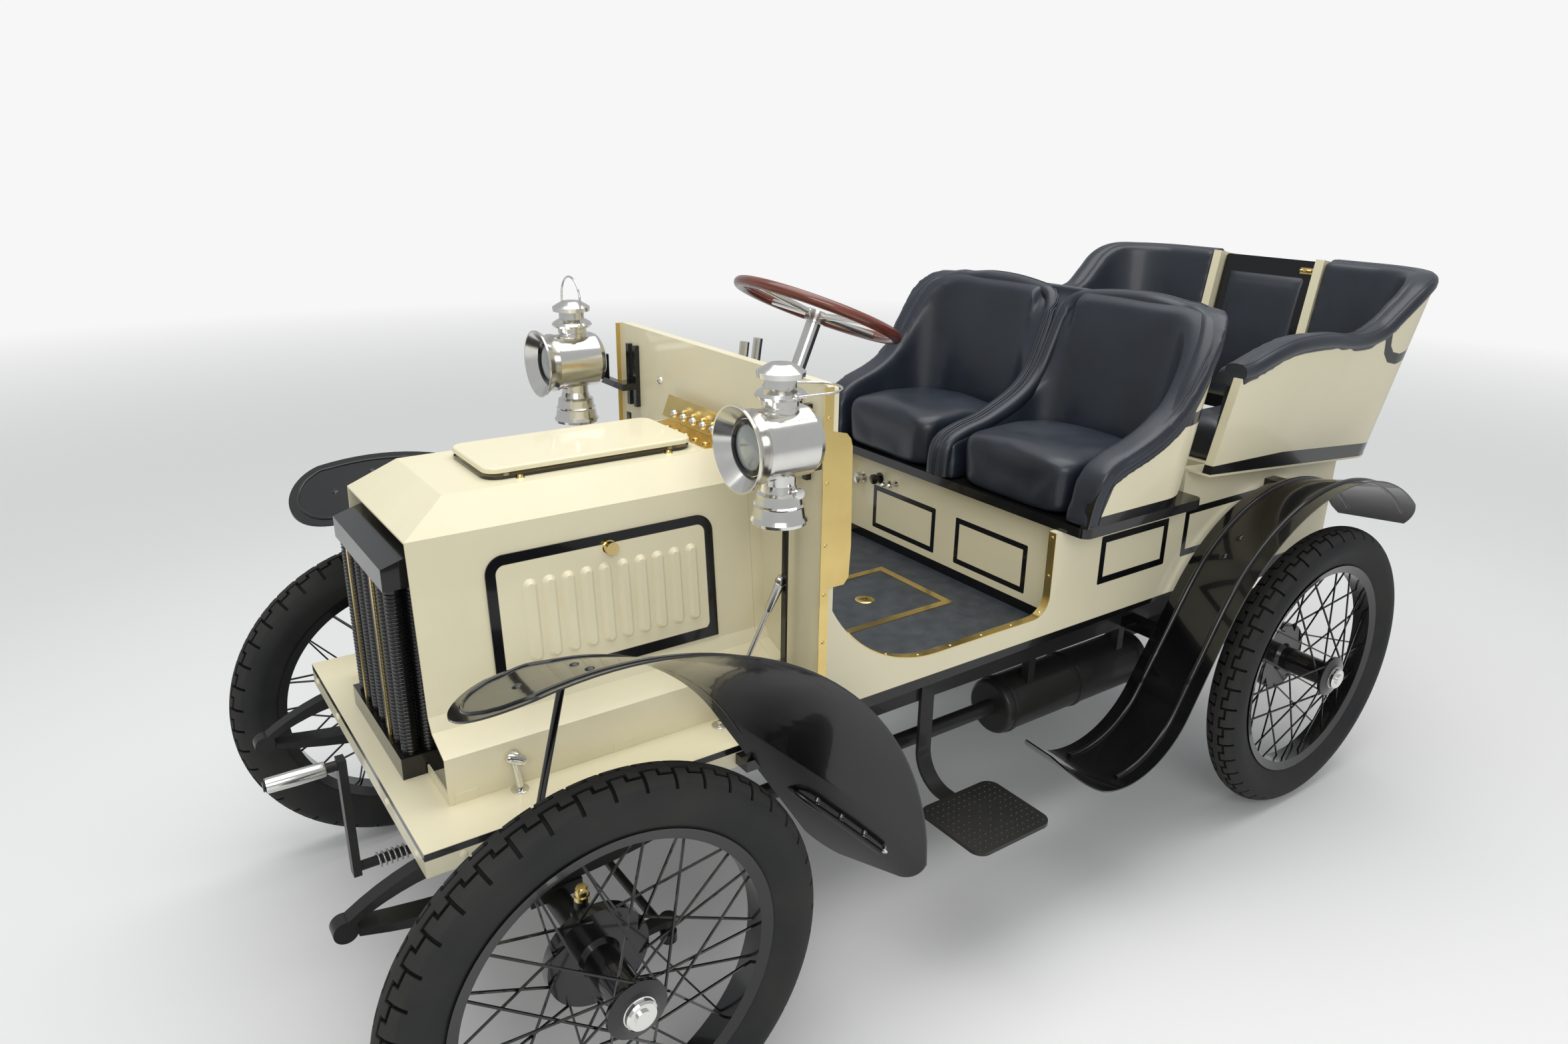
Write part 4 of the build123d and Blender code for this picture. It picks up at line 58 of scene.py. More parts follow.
FRONT_AXLE_X = (wheel_low.x + wheel_high.x) / 2
AXLE_Z = (wheel_low.z + wheel_high.z) / 2
rear_low, rear_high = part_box("wheel_rear_left")
REAR_AXLE_X = (rear_low.x + rear_high.x) / 2
tyre_low, tyre_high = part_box("tyre_front_left")
TRACK_HALF = -(tyre_low.y + tyre_high.y) / 2
TYRE_R = (tyre_high.z - tyre_low.z) / 2
print("axles at", round(FRONT_AXLE_X, 4), round(REAR_AXLE_X, 4), "track half", round(TRACK_HALF, 4))

# %% [markdown]
# The camera stands close to the left front wheel and a little above the bonnet. A wide lens that
# close makes the near wheel look large, so place and lens both matter: the same picture can't be had
# from further off with a longer lens. Azimuth, elevation and roll are turned into three axes, which
# is easier to read than three Euler angles in Blender's order.

# %% Camera
CAMERA_AFT = -0.51926
CAMERA_SIDE = -1.69368
CAMERA_HEIGHT = 1.51556
CAMERA_AZIMUTH = math.radians(-35.079)
CAMERA_ELEVATION = math.radians(19.655)
CAMERA_ROLL = math.radians(0.861)
LENS_MM = 24.281
SENSOR_MM = 36.0


def camera_axes(azimuth, elevation, roll):
    back = Vector((
        math.sin(azimuth) * math.cos(elevation),
        -math.cos(azimuth) * math.cos(elevation),
        math.sin(elevation),
    ))
    level = Vector((math.cos(azimuth), math.sin(azimuth), 0))
    upright = back.cross(level)
    right = math.cos(roll) * level + math.sin(roll) * upright
    up = math.cos(roll) * upright - math.sin(roll) * level
    return right, up, back


camera_data = bpy.data.cameras.new("camera")
camera_data.lens = LENS_MM
camera_data.sensor_width = SENSOR_MM
camera_data.clip_start = 0.05
camera = bpy.data.objects.new("camera", camera_data)
bpy.context.scene.collection.objects.link(camera)
axes = camera_axes(CAMERA_AZIMUTH, CAMERA_ELEVATION, CAMERA_ROLL)
camera.matrix_world = Matrix(axes).transposed().to_4x4()
camera.location = (FRONT_AXLE_X + CAMERA_AFT, CAMERA_SIDE, CAMERA_HEIGHT)
bpy.context.scene.camera = camera
bpy.context.scene.view_settings.view_transform = "Standard"
print("camera at", [round(c, 3) for c in camera.location])

# %% [markdown]
# Materials are written as sums. The small class below holds one output socket of a material,
# and Python's + - * / on it add the Math nodes. A mask is a value from 0 to 1 over the surface,
# and `a.mix(b, mask)` lays b over a where the mask is 1.


# %% Shader sums
class Socket:
    def __init__(self, tree, link):
        self.tree = tree
        self.link = link

    def node(self, kind, settings=None, output=0, **inputs):
        made = self.tree.nodes.new(kind)
        for key, value in (settings or {}).items():
            setattr(made, key, value)
        for key, value in inputs.items():
            slot = made.inputs[int(key[1:])] if key[0] == "i" and key[1:].isdigit() else made.inputs[key]
            if isinstance(value, Socket):
                self.tree.links.new(value.link, slot)
            elif value is not None:
                slot.default_value = value
        return Socket(self.tree, made.outputs[output])

    def maths(self, operation, a, b=None):
        return self.node("ShaderNodeMath", {"operation": operation}, i0=a, i1=b)

    def square_root(self):
        return self.maths("SQRT", self)

    def __add__(self, other):
        return self.maths("ADD", self, other)

    __radd__ = __add__

    def __mul__(self, other):
        return self.maths("MULTIPLY", self, other)

    __rmul__ = __mul__

    def __sub__(self, other):
        return self.maths("SUBTRACT", self, other)

    def __rsub__(self, other):
        return self.maths("SUBTRACT", other, self)

    def __truediv__(self, other):
        return self.maths("DIVIDE", self, other)

    def above(self, level, soft=0.0005):
        """1 where this value is over the level, with a soft edge."""
        return self.node(
            "ShaderNodeMapRange",
            {"clamp": True},
            i0=self, i1=level - soft, i2=level + soft, i3=0.0, i4=1.0,
        )

    def below(self, level, soft=0.0005):
        return 1.0 - self.above(level, soft)

    def between(self, low, high, soft=0.0005):
        return self.above(low, soft) * self.below(high, soft)

    def size(self):
        return self.maths("ABSOLUTE", self)

    def greater(self, other):
        return self.maths("MAXIMUM", self, other)

    def lesser(self, other):
        return self.maths("MINIMUM", self, other)

    def mix(self, other, mask):
        """This colour, with the other laid over it by the mask."""
        return self.node(
            "ShaderNodeMix",
            {"data_type": "RGBA"},
            output=2,
            i0=mask, i6=self, i7=other,
        )

    def blend(self, other, mask):
        """This number, with the other laid over it by the mask."""
        return self + (other - self) * mask


def linear(red, green, blue):
    """A screen colour of 0 to 255, turned into the light values that the shader wants."""
    def one(value):
        value /= 255
        return value / 12.92 if value <= 0.04045 else ((value + 0.055) / 1.055) ** 2.4
    return (one(red), one(green), one(blue), 1.0)


class Finish:
    """A new material with its Principled shader and the places it reads its patterns from."""

    def __init__(self, name, **constants):
        self.material = bpy.data.materials.new(name)
        self.material.use_nodes = True
        self.tree = self.material.node_tree
        self.shader = self.tree.nodes["Principled BSDF"]
        for key, value in constants.items():
            self.shader.inputs[key.replace("_", " ")].default_value = value
        self.root = Socket(self.tree, None)
        place = self.tree.nodes.new("ShaderNodeTexCoord")
        self.place = Socket(self.tree, place.outputs["Object"])
        split = self.root.node("ShaderNodeSeparateXYZ", i0=self.place)
        self.x = split
        self.y = Socket(self.tree, split.link.node.outputs[1])
        self.z = Socket(self.tree, split.link.node.outputs[2])

    def colour(self, rgba):
        made = self.tree.nodes.new("ShaderNodeRGB")
        made.outputs[0].default_value = rgba
        return Socket(self.tree, made.outputs[0])

    def noise(self, scale, detail=3.0, vector=None):
        return self.root.node(
            "ShaderNodeTexNoise",
            {"noise_dimensions": "3D"},
            Vector=vector or self.place, Scale=scale, Detail=detail,
        )

    def grain_cells(self, scale):
        """Distance to the nearest crease between small cells."""
        return self.root.node(
            "ShaderNodeTexVoronoi", {"feature": "DISTANCE_TO_EDGE"}, Vector=self.place, Scale=scale
        )

    def set(self, name, value):
        if isinstance(value, Socket):
            self.tree.links.new(value.link, self.shader.inputs[name])
        else:
            self.shader.inputs[name].default_value = value
        return self

    def bump(self, height, distance, strength=1.0):
        made = self.root.node("ShaderNodeBump", Height=height, Distance=distance, Strength=strength)
        self.tree.links.new(made.link, self.shader.inputs["Normal"])
        return self


# %% [markdown]
# The coachwork is brushed coach enamel: a thick cream coat with a clear varnish over it.
# Up close it has a faint orange-peel ripple, and dust dulls the gloss in soft patches.
# The same recipe in black serves for mudguards, wheels and trim.
#
# Painted lines and borders are masks over the same coat, measured in the car's own places, so a
# border follows its panel exactly. Bright plated areas of a painted part are masks too. A picture
# wrapped round the body could carry the lines as well, but it blurs up close, and a mask does not.

# %% Painted finishes
CREAM = linear(234, 226, 194)
CREAM_DUST = linear(206, 198, 168)
BLACK = (0.004, 0.004, 0.005, 1.0)
BLACK_DUST = linear(70, 68, 62)
NICKEL_COLOUR = (0.80, 0.79, 0.76, 1.0)
BRASS_COLOUR = (0.82, 0.62, 0.26, 1.0)


def enamel(
    name, colour, dust_colour, gloss=0.22, dust=0.08, coat=0.6,
    lined=None, bright=None, plate=NICKEL_COLOUR,
):
    """A coat of paint. lined(finish) is a mask of black lining, bright(finish) a mask of plating."""
    made = Finish(name, Coat_Weight=coat, Coat_Roughness=0.06, Specular_IOR_Level=0.3)
    patches = made.noise(3.0, 5.0).above(0.62, 0.2)
    fine = made.noise(90.0, 2.0)
    paint = made.colour(colour).mix(dust_colour, patches * dust + fine * (dust * 0.25))
    rough = gloss + patches * 0.12 + fine * 0.05
    if lined:
        lining = lined(made)
        paint = paint.mix(BLACK, lining)
        rough = rough - lining * (gloss * 0.5)
    if bright:
        plating = bright(made)
        paint = paint.mix(plate, plating)
        rough = rough.blend(0.12, plating)
        made.set("Metallic", plating)
    made.set("Base Color", paint)
    made.set("Roughness", rough)
    made.bump(made.noise(220.0, 1.0), 0.00004)
    return made


def cream_enamel(name, **lining):
    """The coachwork's cream coat, with the lining and plating of one part."""
    return enamel(name, CREAM, CREAM_DUST, gloss=0.34, dust=0.35, coat=0.35, **lining)


def rounded_box(u, v, half_u, half_v, corner):
    """Distance of a place (u, v) from the edge of a rounded rectangle: below 0 inside it."""
    over_u = u.size() - (half_u - corner)
    over_v = v.size() - (half_v - corner)
    past_u = over_u.greater(0.0)
    past_v = over_v.greater(0.0)
    return (past_u * past_u + past_v * past_v).square_root() + over_u.greater(over_v).lesser(0.0) - corner


def line_height(made, start, end):
    """How far a place lies above the straight line through two (aft, z) places."""
    slope = (end[1] - start[1]) / (end[0] - start[0])
    run = made.x - (FRONT_AXLE_X + start[0])
    return made.z - start[1] - run * slope


cream_paint = cream_enamel("cream_enamel")
black_paint = enamel("black_enamel", BLACK, BLACK_DUST, gloss=0.16, dust=0.10)
IRON = (0.012, 0.012, 0.012, 1.0)
iron_paint = enamel("chassis_black", IRON, linear(78, 74, 66), gloss=0.42, dust=0.22, coat=0.15)
print("painted finishes:", cream_paint.material.name, black_paint.material.name, iron_paint.material.name)

# %% [markdown]
# The two louvred doors of the bonnet have a broad black border with round corners, and a brass
# knob. The border is every place less than its width from the edge of a rounded rectangle, and the
# knob is every place near its middle. The knob is part of the door's own solid, so it takes its
# brass from the same material.

# %% Bonnet doors
DOOR_LOW, DOOR_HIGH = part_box("bonnet_door_left")
DOOR_BORDER = 0.017
DOOR_CORNER = 0.032
DOOR_FOOT = 0.020
KNOB_AFT, KNOB_DROP, KNOB_R = 0.190, 0.024, 0.0125


def bonnet_door_lining(made):
    u = made.x - (DOOR_LOW.x + DOOR_HIGH.x) / 2
    v = made.z - (DOOR_LOW.z + DOOR_HIGH.z) / 2
    half_u = (DOOR_HIGH.x - DOOR_LOW.x) / 2
    half_v = (DOOR_HIGH.z - DOOR_LOW.z) / 2
    edge = rounded_box(u, v, half_u, half_v, DOOR_CORNER)
    foot = v.below(DOOR_FOOT - half_v, 0.0006)
    return edge.above(-DOOR_BORDER, 0.0006).greater(foot)


def knob_plating(made):
    across = made.x - (FRONT_AXLE_X + KNOB_AFT)
    up = made.z - (DOOR_HIGH.z - KNOB_DROP)
    return (across * across + up * up).below(KNOB_R**2, 0.000004)


door_paint = cream_enamel(
    "cream_enamel_bordered", lined=bonnet_door_lining, bright=knob_plating, plate=BRASS_COLOUR
)

# %% Deck, with the black edge of its board
SKIRT_RISE = 0.018
DECK_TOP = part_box("deck")[1].z - SKIRT_RISE
BOARD_EDGE = 0.013
CREAM_TOP_EDGE = 0.0008


def deck_lining(made):
    return made.z.between(DECK_TOP - BOARD_EDGE, DECK_TOP - CREAM_TOP_EDGE)


deck_paint = cream_enamel("cream_enamel_deck", lined=deck_lining)
print("deck's board from", round(DECK_TOP - BOARD_EDGE, 4), "to", round(DECK_TOP, 4))

# %% [markdown]
# The tonneau has a black band under its belt, and a short black hook that leaves the padded roll
# at the rear and runs round to the back. The band is everything below a bent line. The hook is a
# chain of straight runs with round ends, each the places within half its width of a line.

# %% Tonneau
BELT = ((1.488, 0.876), (1.760, 0.868), (2.260, 0.8205))
HOOK = ((2.048, 1.150), (2.052, 1.112), (2.068, 1.080), (2.096, 1.059), (2.135, 1.051), (2.360, 1.075))
HOOK_WIDTH = 0.026
POST_HALF = 0.200


def near_line(made, start, end, width):
    """A band of this width along the straight line between two (aft, z) places, round at its ends."""
    run_x, run_z = end[0] - start[0], end[1] - start[1]
    length = math.hypot(run_x, run_z)
    x = made.x - (FRONT_AXLE_X + start[0])
    z = made.z - start[1]
    along = ((x * run_x + z * run_z) / length).greater(0.0).lesser(length)
    gap_x = x - along * (run_x / length)
    gap_z = z - along * (run_z / length)
    return (gap_x * gap_x + gap_z * gap_z).below((width / 2) ** 2, 0.00002)


def tonneau_lining(made):
    over_front = line_height(made, BELT[0], BELT[1])
    over_rear = line_height(made, BELT[1], BELT[2])
    band = over_front.greater(over_rear).below(0.0)
    for start, end in zip(HOOK, HOOK[1:]):
        band = band.greater(near_line(made, start, end, HOOK_WIDTH))
    posts = made.y.size().below(POST_HALF)
    return band * (1.0 - posts)


tonneau_paint = cream_enamel("cream_enamel_tonneau", lined=tonneau_lining)

# %% [markdown]
# The rear door is cream outside and black on its padded inner side. The door leans, so the place
# of its inner face is worked out for each height, and the black goes a few millimetres deep.

# %% Rear door
door_low, door_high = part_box("tonneau_door")
DOOR_DEPTH, INNER_LAYER = 0.040, 0.012


def rear_door_lining(made):
    """Black up to this depth from the door's leaning inner face."""
    slope = (door_high.x - DOOR_DEPTH - door_low.x) / (door_high.z - door_low.z)
    inner_face = (made.z - door_low.z) * slope + door_low.x
    return (made.x - inner_face).below(INNER_LAYER)


rear_door_paint = cream_enamel("cream_enamel_rear_door", lined=rear_door_lining)
print("rear door from", round(door_low.z, 3), "to", round(door_high.z, 3))

# %% [markdown]
# The side of the front seats carries two cream panels in a black surround: a low one that follows
# the swept arm, and a small triangle behind the arm. Each is bounded by straight lines, so the mask
# is a product of half planes. The rest of the shell is black, because leather covers it.


# %% Front seats
BACK_HALF = 0.330


def seat_lining(made):
    """Black all over, but for two cream panels with a stripe between them."""
    front = line_height(made, (1.133, 0.830), (1.160, 0.925)).below(0.0)
    top = line_height(made, (1.165, 0.930), (1.290, 0.952))
    top = top.lesser(line_height(made, (1.290, 0.952), (1.338, 0.988)))
    top = top.greater(line_height(made, (1.338, 0.988), (1.500, 0.992)))
    low_panel = front * top.below(0.0) * made.z.above(0.8285)
    high = line_height(made, (1.350, 1.016), (1.500, 1.020)).above(0.0)
    slope = line_height(made, (1.352, 1.008), (1.478, 1.170)).below(0.0)
    behind = made.y.size().below(BACK_HALF)
    return 1.0 - low_panel.greater(high * slope).greater(behind)


seat_paint = cream_enamel("cream_enamel_seat", lined=seat_lining)

# %% [markdown]
# The body's sides and the front of the seat box have panels framed in black. Each frame is given by
# its middle, its half sizes and its width, and both parts have a black foot.


# %% Body sides and seat box
SILL_FOOT_Z, SEAT_BOX_FOOT_Z = 0.560, 0.583


def frame_lining(made, u, v, middle, half, corner=0.004, width=0.016):
    edge = rounded_box(u - middle[0], v - middle[1], half[0], half[1], corner)
    return edge.between(-width, 0.0, 0.0005)


def body_lining(made):
    u = made.x - FRONT_AXLE_X
    first = frame_lining(made, u, made.z, (1.3400, 0.6930), (0.1130, 0.0550))
    second = frame_lining(made, u, made.z, (1.7150, 0.7000), (0.2030, 0.0580))
    foot = made.z.below(SILL_FOOT_Z)
    return first.greater(second).greater(foot)


def box_lining(made):
    left = frame_lining(made, made.y, made.z, (-0.1490, 0.6560), (0.1110, 0.0560), width=0.013)
    right = frame_lining(made, made.y, made.z, (0.1445, 0.6560), (0.1145, 0.0560), width=0.013)
    foot = made.z.below(SEAT_BOX_FOOT_Z)
    return left.greater(right).greater(foot)


body_paint = cream_enamel("cream_enamel_body", lined=body_lining)
box_paint = cream_enamel("cream_enamel_seat_box", lined=box_lining)
print("lined parts: body sides, seat box, seats, tonneau, rear door, deck, bonnet doors")

# %% [markdown]
# A wire wheel is black, but for the nickelled cap on its hub. The cap is the part of the wheel's
# solid that lies close to the axle line and far out. The mask has to know where the axle is, so one
# function makes the mask for each axle.


# %% Wheels
HUB_CAP_R, HUB_CAP_OUT = 0.0262, 0.0715


def hub_plating(axle_x):
    def mask(made):
        across = made.x - axle_x
        up = made.z - AXLE_Z
        near = (across * across + up * up).below(HUB_CAP_R**2, 0.00001)
        return near * made.y.size().above(TRACK_HALF + HUB_CAP_OUT)
    return mask


def wheel_enamel(name, axle_x):
    return enamel(name, BLACK, BLACK_DUST, gloss=0.2, dust=0.12, bright=hub_plating(axle_x))


front_wheel_paint = wheel_enamel("wheel_black_front", FRONT_AXLE_X)
rear_wheel_paint = wheel_enamel("wheel_black_rear", REAR_AXLE_X)

# %% [markdown]
# Bright metal is mostly what it mirrors. So the metals have one plain colour, a little shade in
# cloudy patches, and a roughness that varies, which breaks the mirror as handling and polish do.


# %% Metals
def metal(name, colour, shade, rough=0.14, wear=0.12, grain=60.0):
    made = Finish(name, Metallic=1.0)
    clouds = made.noise(14.0, 4.0).above(0.55, 0.25)
    fine = made.noise(grain, 3.0)
    made.set("Base Color", made.colour(colour).mix(shade, clouds * 0.5))
    made.set("Roughness", rough + clouds * wear + fine * 0.06)
    made.bump(fine, 0.00003)
    return made


nickel = metal("nickel_plate", (0.80, 0.79, 0.76, 1.0), (0.62, 0.60, 0.56, 1.0), rough=0.10)
brass = metal("polished_brass", (0.82, 0.63, 0.25, 1.0), (0.64, 0.46, 0.17, 1.0), rough=0.16)
steel = metal("bare_steel", (0.50, 0.50, 0.50, 1.0), (0.30, 0.29, 0.28, 1.0), rough=0.28)
print("metals:", nickel.material.name, brass.material.name, steel.material.name)

# %% [markdown]
# A used tyre is dusty on top of its tread, and painted shade darkens its grooves. The material finds
# out where on the tyre's round section each place lies: how far it is from the middle of the section,
# on either axle. What is almost as far out as the tread is dusted, and the floor of a groove is
# blackened: painted shade.

# %% Tyre rubber
SECTION_R = 0.041
rubber = Finish("tyre_rubber", Specular_IOR_Level=0.3)
dusty = rubber.noise(7.0, 6.0).above(0.5, 0.22)
from_axle = (rubber.x - FRONT_AXLE_X).size().lesser((rubber.x - REAR_AXLE_X).size())
above_axle = rubber.z - AXLE_Z
from_hub = (from_axle * from_axle + above_axle * above_axle).square_root()
section_out = from_hub - (TYRE_R - SECTION_R)
section_side = rubber.y.size() - TRACK_HALF
section = (section_out * section_out + section_side * section_side).square_root()
tread_top = section.above(SECTION_R - 0.0010, 0.0006) * section_out.above(0.024, 0.004)
# Painted shade: the floor of each groove is picked out here, to be coloured darker than the rubber.
groove_painted_shade = section.below(SECTION_R - 0.0038, 0.0010) * section_out.above(0.018, 0.002)
dusty = dusty.greater(tread_top * (0.45 + rubber.noise(26.0, 5.0) * 0.9))
rubber_colour = rubber.colour((0.011, 0.012, 0.014, 1.0)).mix(linear(96, 92, 84), dusty * 0.20)
# The groove floors get near black laid over the rubber, as painted shade.
rubber.set("Base Color", rubber_colour.mix((0.002, 0.002, 0.002, 1.0), groove_painted_shade))
rubber.set("Roughness", 0.62 + dusty * 0.2)
rubber.bump(rubber.noise(340.0, 3.0), 0.0002)
print("tread dusted beyond", round(SECTION_R - 0.001, 4), "m of the section's middle")

# %% [markdown]
# Cast iron is rough and grey, and the leather is dark navy with a fine grain and worn, paler
# patches. The grain is the crease between small cells: it goes into the bump only, since on a real
# hide it is felt in the shine and hardly seen in the colour.

# %% Iron and leather
cast_iron = Finish("cast_iron")
iron_colour = cast_iron.colour((0.05, 0.05, 0.05, 1.0))
cast_iron.set("Base Color", iron_colour.mix((0.11, 0.10, 0.09, 1.0), cast_iron.noise(25.0, 6.0)))
cast_iron.set("Roughness", 0.55 + cast_iron.noise(60.0) * 0.2)
cast_iron.bump(cast_iron.noise(160.0, 4.0), 0.0006)

leather = Finish("navy_leather", Specular_IOR_Level=0.5, Coat_Weight=0.3, Coat_Roughness=0.22)
worn = leather.noise(9.0, 4.0).above(0.58, 0.25)
leather.set("Base Color", leather.colour((0.007, 0.011, 0.019, 1.0)).mix((0.016, 0.023, 0.036, 1.0), worn))
leather.set("Roughness", 0.36 + worn * 0.12 + leather.noise(200.0) * 0.1)
leather.bump(leather.grain_cells(700.0).lesser(0.35) + leather.noise(60.0) * 0.4, 0.0002, 0.35)

# %% [markdown]
# The lamps have a thick lens that looks grey, because the dark inside of the lamp is seen through
# it. A plain glossy grey with a clear coat gives that look and needs no light to pass through it.
# The floor is dark linoleum, slightly mottled.

# %% Lamp glass and floor
lamp_glass = Finish("lamp_glass", Coat_Weight=1.0, Coat_Roughness=0.03)
lens_colour = lamp_glass.colour((0.42, 0.44, 0.42, 1.0))
lamp_glass.set("Base Color", lens_colour.mix((0.24, 0.27, 0.27, 1.0), lamp_glass.noise(20.0, 3.0)))
lamp_glass.set("Roughness", 0.10 + lamp_glass.noise(90.0) * 0.05)

lino = Finish("floor_lino")
lino_mottle = lino.noise(30.0, 6.0).above(0.5, 0.3)
lino.set("Base Color", lino.colour((0.022, 0.028, 0.036, 1.0)).mix((0.055, 0.064, 0.076, 1.0), lino_mottle))
lino.set("Roughness", 0.38 + lino.noise(120.0) * 0.25)
lino.bump(lino.noise(420.0, 2.0), 0.0002)
print("lens and floor finishes made")

# %% [markdown]
# The steering wheel's rim is turned from red-brown wood, and its hub and four arms are plated.
# The grain runs round the rim, so the noise is read by distance from the hub, height and turn.

# %% Steering wheel
HUB_PLACE = Vector((FRONT_AXLE_X + 0.888, 0.200, 1.157))
COLUMN_WAY = Vector((0.253, 0, 0.597)).normalized()
wheel_wood = Finish("steering_wood", Coat_Weight=0.7, Coat_Roughness=0.1)
along = (
    (wheel_wood.x - HUB_PLACE.x) * COLUMN_WAY.x + (wheel_wood.z - HUB_PLACE.z) * COLUMN_WAY.z
)
flat_x = (wheel_wood.x - HUB_PLACE.x) * COLUMN_WAY.z - (wheel_wood.z - HUB_PLACE.z) * COLUMN_WAY.x
flat_y = wheel_wood.y - HUB_PLACE.y
reach = (flat_x * flat_x + flat_y * flat_y).square_root()
turn = flat_y.maths("ARCTAN2", flat_y, flat_x)
GRAIN_FINE, GRAIN_LONG = 260.0, 2.2
grain_place = wheel_wood.root.node(
    "ShaderNodeCombineXYZ", i0=reach * GRAIN_FINE, i1=along * GRAIN_FINE, i2=turn * GRAIN_LONG
)
grain = wheel_wood.noise(1.0, 4.0, vector=grain_place)
wood = wheel_wood.colour(linear(128, 62, 44)).mix(linear(84, 36, 26), grain.above(0.5, 0.16))
RIM_INNER_R = 0.1705
rim = reach.above(RIM_INNER_R, 0.0008)
wheel_wood.set("Base Color", wheel_wood.colour(NICKEL_COLOUR).mix(wood, rim))
wheel_wood.set("Metallic", 1.0 - rim)
wheel_wood.set("Roughness", grain * 0.12 + rim * 0.16 + 0.1)
wheel_wood.bump(grain * rim, 0.0001)
print("wood beyond", RIM_INNER_R, "m of the hub")

# %% [markdown]
# Each part of the construction model is one mesh with one material. The table below says which
# finish goes on which part, and a loop hands them out. The tyres are told by the start of their name.

# %% Hand the finishes to the construction model's parts
FINISH_OF = {
    cream_paint: ("bonnet", "bonnet_lid", "dash", "rear_panel", "tonneau_boxes"),
    door_paint: ("bonnet_door_left", "bonnet_door_right"),
    deck_paint: ("deck",),
    body_paint: ("body_sides",),
    box_paint: ("seat_box",),
    seat_paint: ("front_seat_shell",),
    tonneau_paint: ("tonneau_shell",),
    rear_door_paint: ("tonneau_door",),
    front_wheel_paint: ("wheel_front_left", "wheel_front_right"),
    rear_wheel_paint: ("wheel_rear_left", "wheel_rear_right"),
    black_paint: ("front_mudguards", "rear_mudguards", "radiator", "front_seat_base", "lamp_brackets"),
    iron_paint: (
        "frame", "front_axle", "rear_axle", "leaf_springs", "knuckle_left", "knuckle_right",
        "track_rod", "gearbox", "silencer", "starting_handle", "pedals", "steps",
    ),
    nickel: ("side_lamps", "hand_levers", "steering_column"),
    wheel_wood: ("steering_wheel",),
    brass: ("oiler", "radiator_straps"),
    cast_iron: ("engine",),
    lino: ("floor",),
    leather: ("front_seat_leather", "front_cushions", "tonneau_leather", "tonneau_cushions"),
}


def dress(obj, finish):
    obj.data.materials.clear()
    obj.data.materials.append(finish.material)


for finish, names in FINISH_OF.items():
    for name in names:
        dress(nodes[name], finish)
for name in nodes:
    if name.startswith("tyre_"):
        dress(nodes[name], rubber)
print("finishes on", len(nodes), "parts")

# %% [markdown]
# The rest of the script models the pieces that the construction model leaves out. A few short
# helpers come first: they select, bend a profile round an axis, lay rods and strips, and hand the
# finished piece to the part of the car that it moves with.


# %% Modelling helpers
def only(obj):
    """Selects this object alone, in object mode."""
    if bpy.context.object and bpy.context.object.mode != "OBJECT":
        bpy.ops.object.mode_set(mode="OBJECT")
    bpy.ops.object.select_all(action="DESELECT")
    obj.select_set(True)
    bpy.context.view_layer.objects.active = obj
    return obj


def mesh_object(name, points, edges=(), faces=()):
    data = bpy.data.meshes.new(name)
    data.from_pydata([tuple(p) for p in points], list(edges), list(faces))
    made = bpy.data.objects.new(name, data)
    bpy.context.scene.collection.objects.link(made)
    return only(made)


def clean(obj):
    """Merges doubles and turns the faces outward."""
    only(obj)
    bpy.ops.object.mode_set(mode="EDIT")
    bpy.ops.mesh.select_all(action="SELECT")
    bpy.ops.mesh.remove_doubles(threshold=0.00002)
    bpy.ops.mesh.normals_make_consistent(inside=False)
    bpy.ops.object.mode_set(mode="OBJECT")
    return obj


def keep(obj, name, finish, body="chassis", angle=38):
    """Applies what is left open, smooths, dresses the piece and lets it ride on its body."""
    only(obj)
    for modifier in list(obj.modifiers):
        bpy.ops.object.modifier_apply(modifier=modifier.name)
    bpy.ops.object.transform_apply(location=True, rotation=True, scale=True)
    bpy.ops.object.shade_smooth_by_angle(angle=math.radians(angle))
    obj.name = name
    obj.data.name = name
    dress(obj, finish)
    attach(obj, body)
    print(name, len(obj.data.polygons), "faces")
    return obj


def repeat(model, places):
    """One piece of many copies of the model, each at its own matrix."""
    copies = []
    for place in places:
        copy = bpy.data.objects.new(model.name, model.data.copy())
        bpy.context.scene.collection.objects.link(copy)
        copy.matrix_world = place @ model.matrix_world
        copies.append(copy)
    bpy.data.objects.remove(model)
    only(copies[0])
    for copy in copies:
        copy.select_set(True)
    bpy.ops.object.join()
    return bpy.context.object


def turned(name, profile, steps=48, closed=False):
    """A profile of (radius, along) spun about Z."""
    points = [(radius, 0, along) for radius, along in profile]
    edges = [(i, i + 1) for i in range(len(points) - 1)]
    if closed:
        edges.append((len(points) - 1, 0))
    made = mesh_object(name, points, edges)
    bpy.ops.object.mode_set(mode="EDIT")
    bpy.ops.mesh.select_all(action="SELECT")
    bpy.ops.mesh.spin(steps=steps, angle=math.tau, center=(0, 0, 0), axis=(0, 0, 1))
    bpy.ops.object.mode_set(mode="OBJECT")
    return clean(made)


def rod(name, points, radius, cyclic=False, sides=3):
    """A round bar along points."""
    curve = bpy.data.curves.new(name, "CURVE")
    curve.dimensions = "3D"
    curve.bevel_depth = radius
    curve.bevel_resolution = sides
    curve.use_fill_caps = not cyclic
    line = curve.splines.new("POLY")
    line.points.add(len(points) - 1)
    for spot, point in zip(line.points, points):
        spot.co = (*point, 1.0)
    line.use_cyclic_u = cyclic
    made = bpy.data.objects.new(name, curve)
    bpy.context.scene.collection.objects.link(made)
    only(made)
    bpy.ops.object.convert(target="MESH")
    return clean(bpy.context.object)


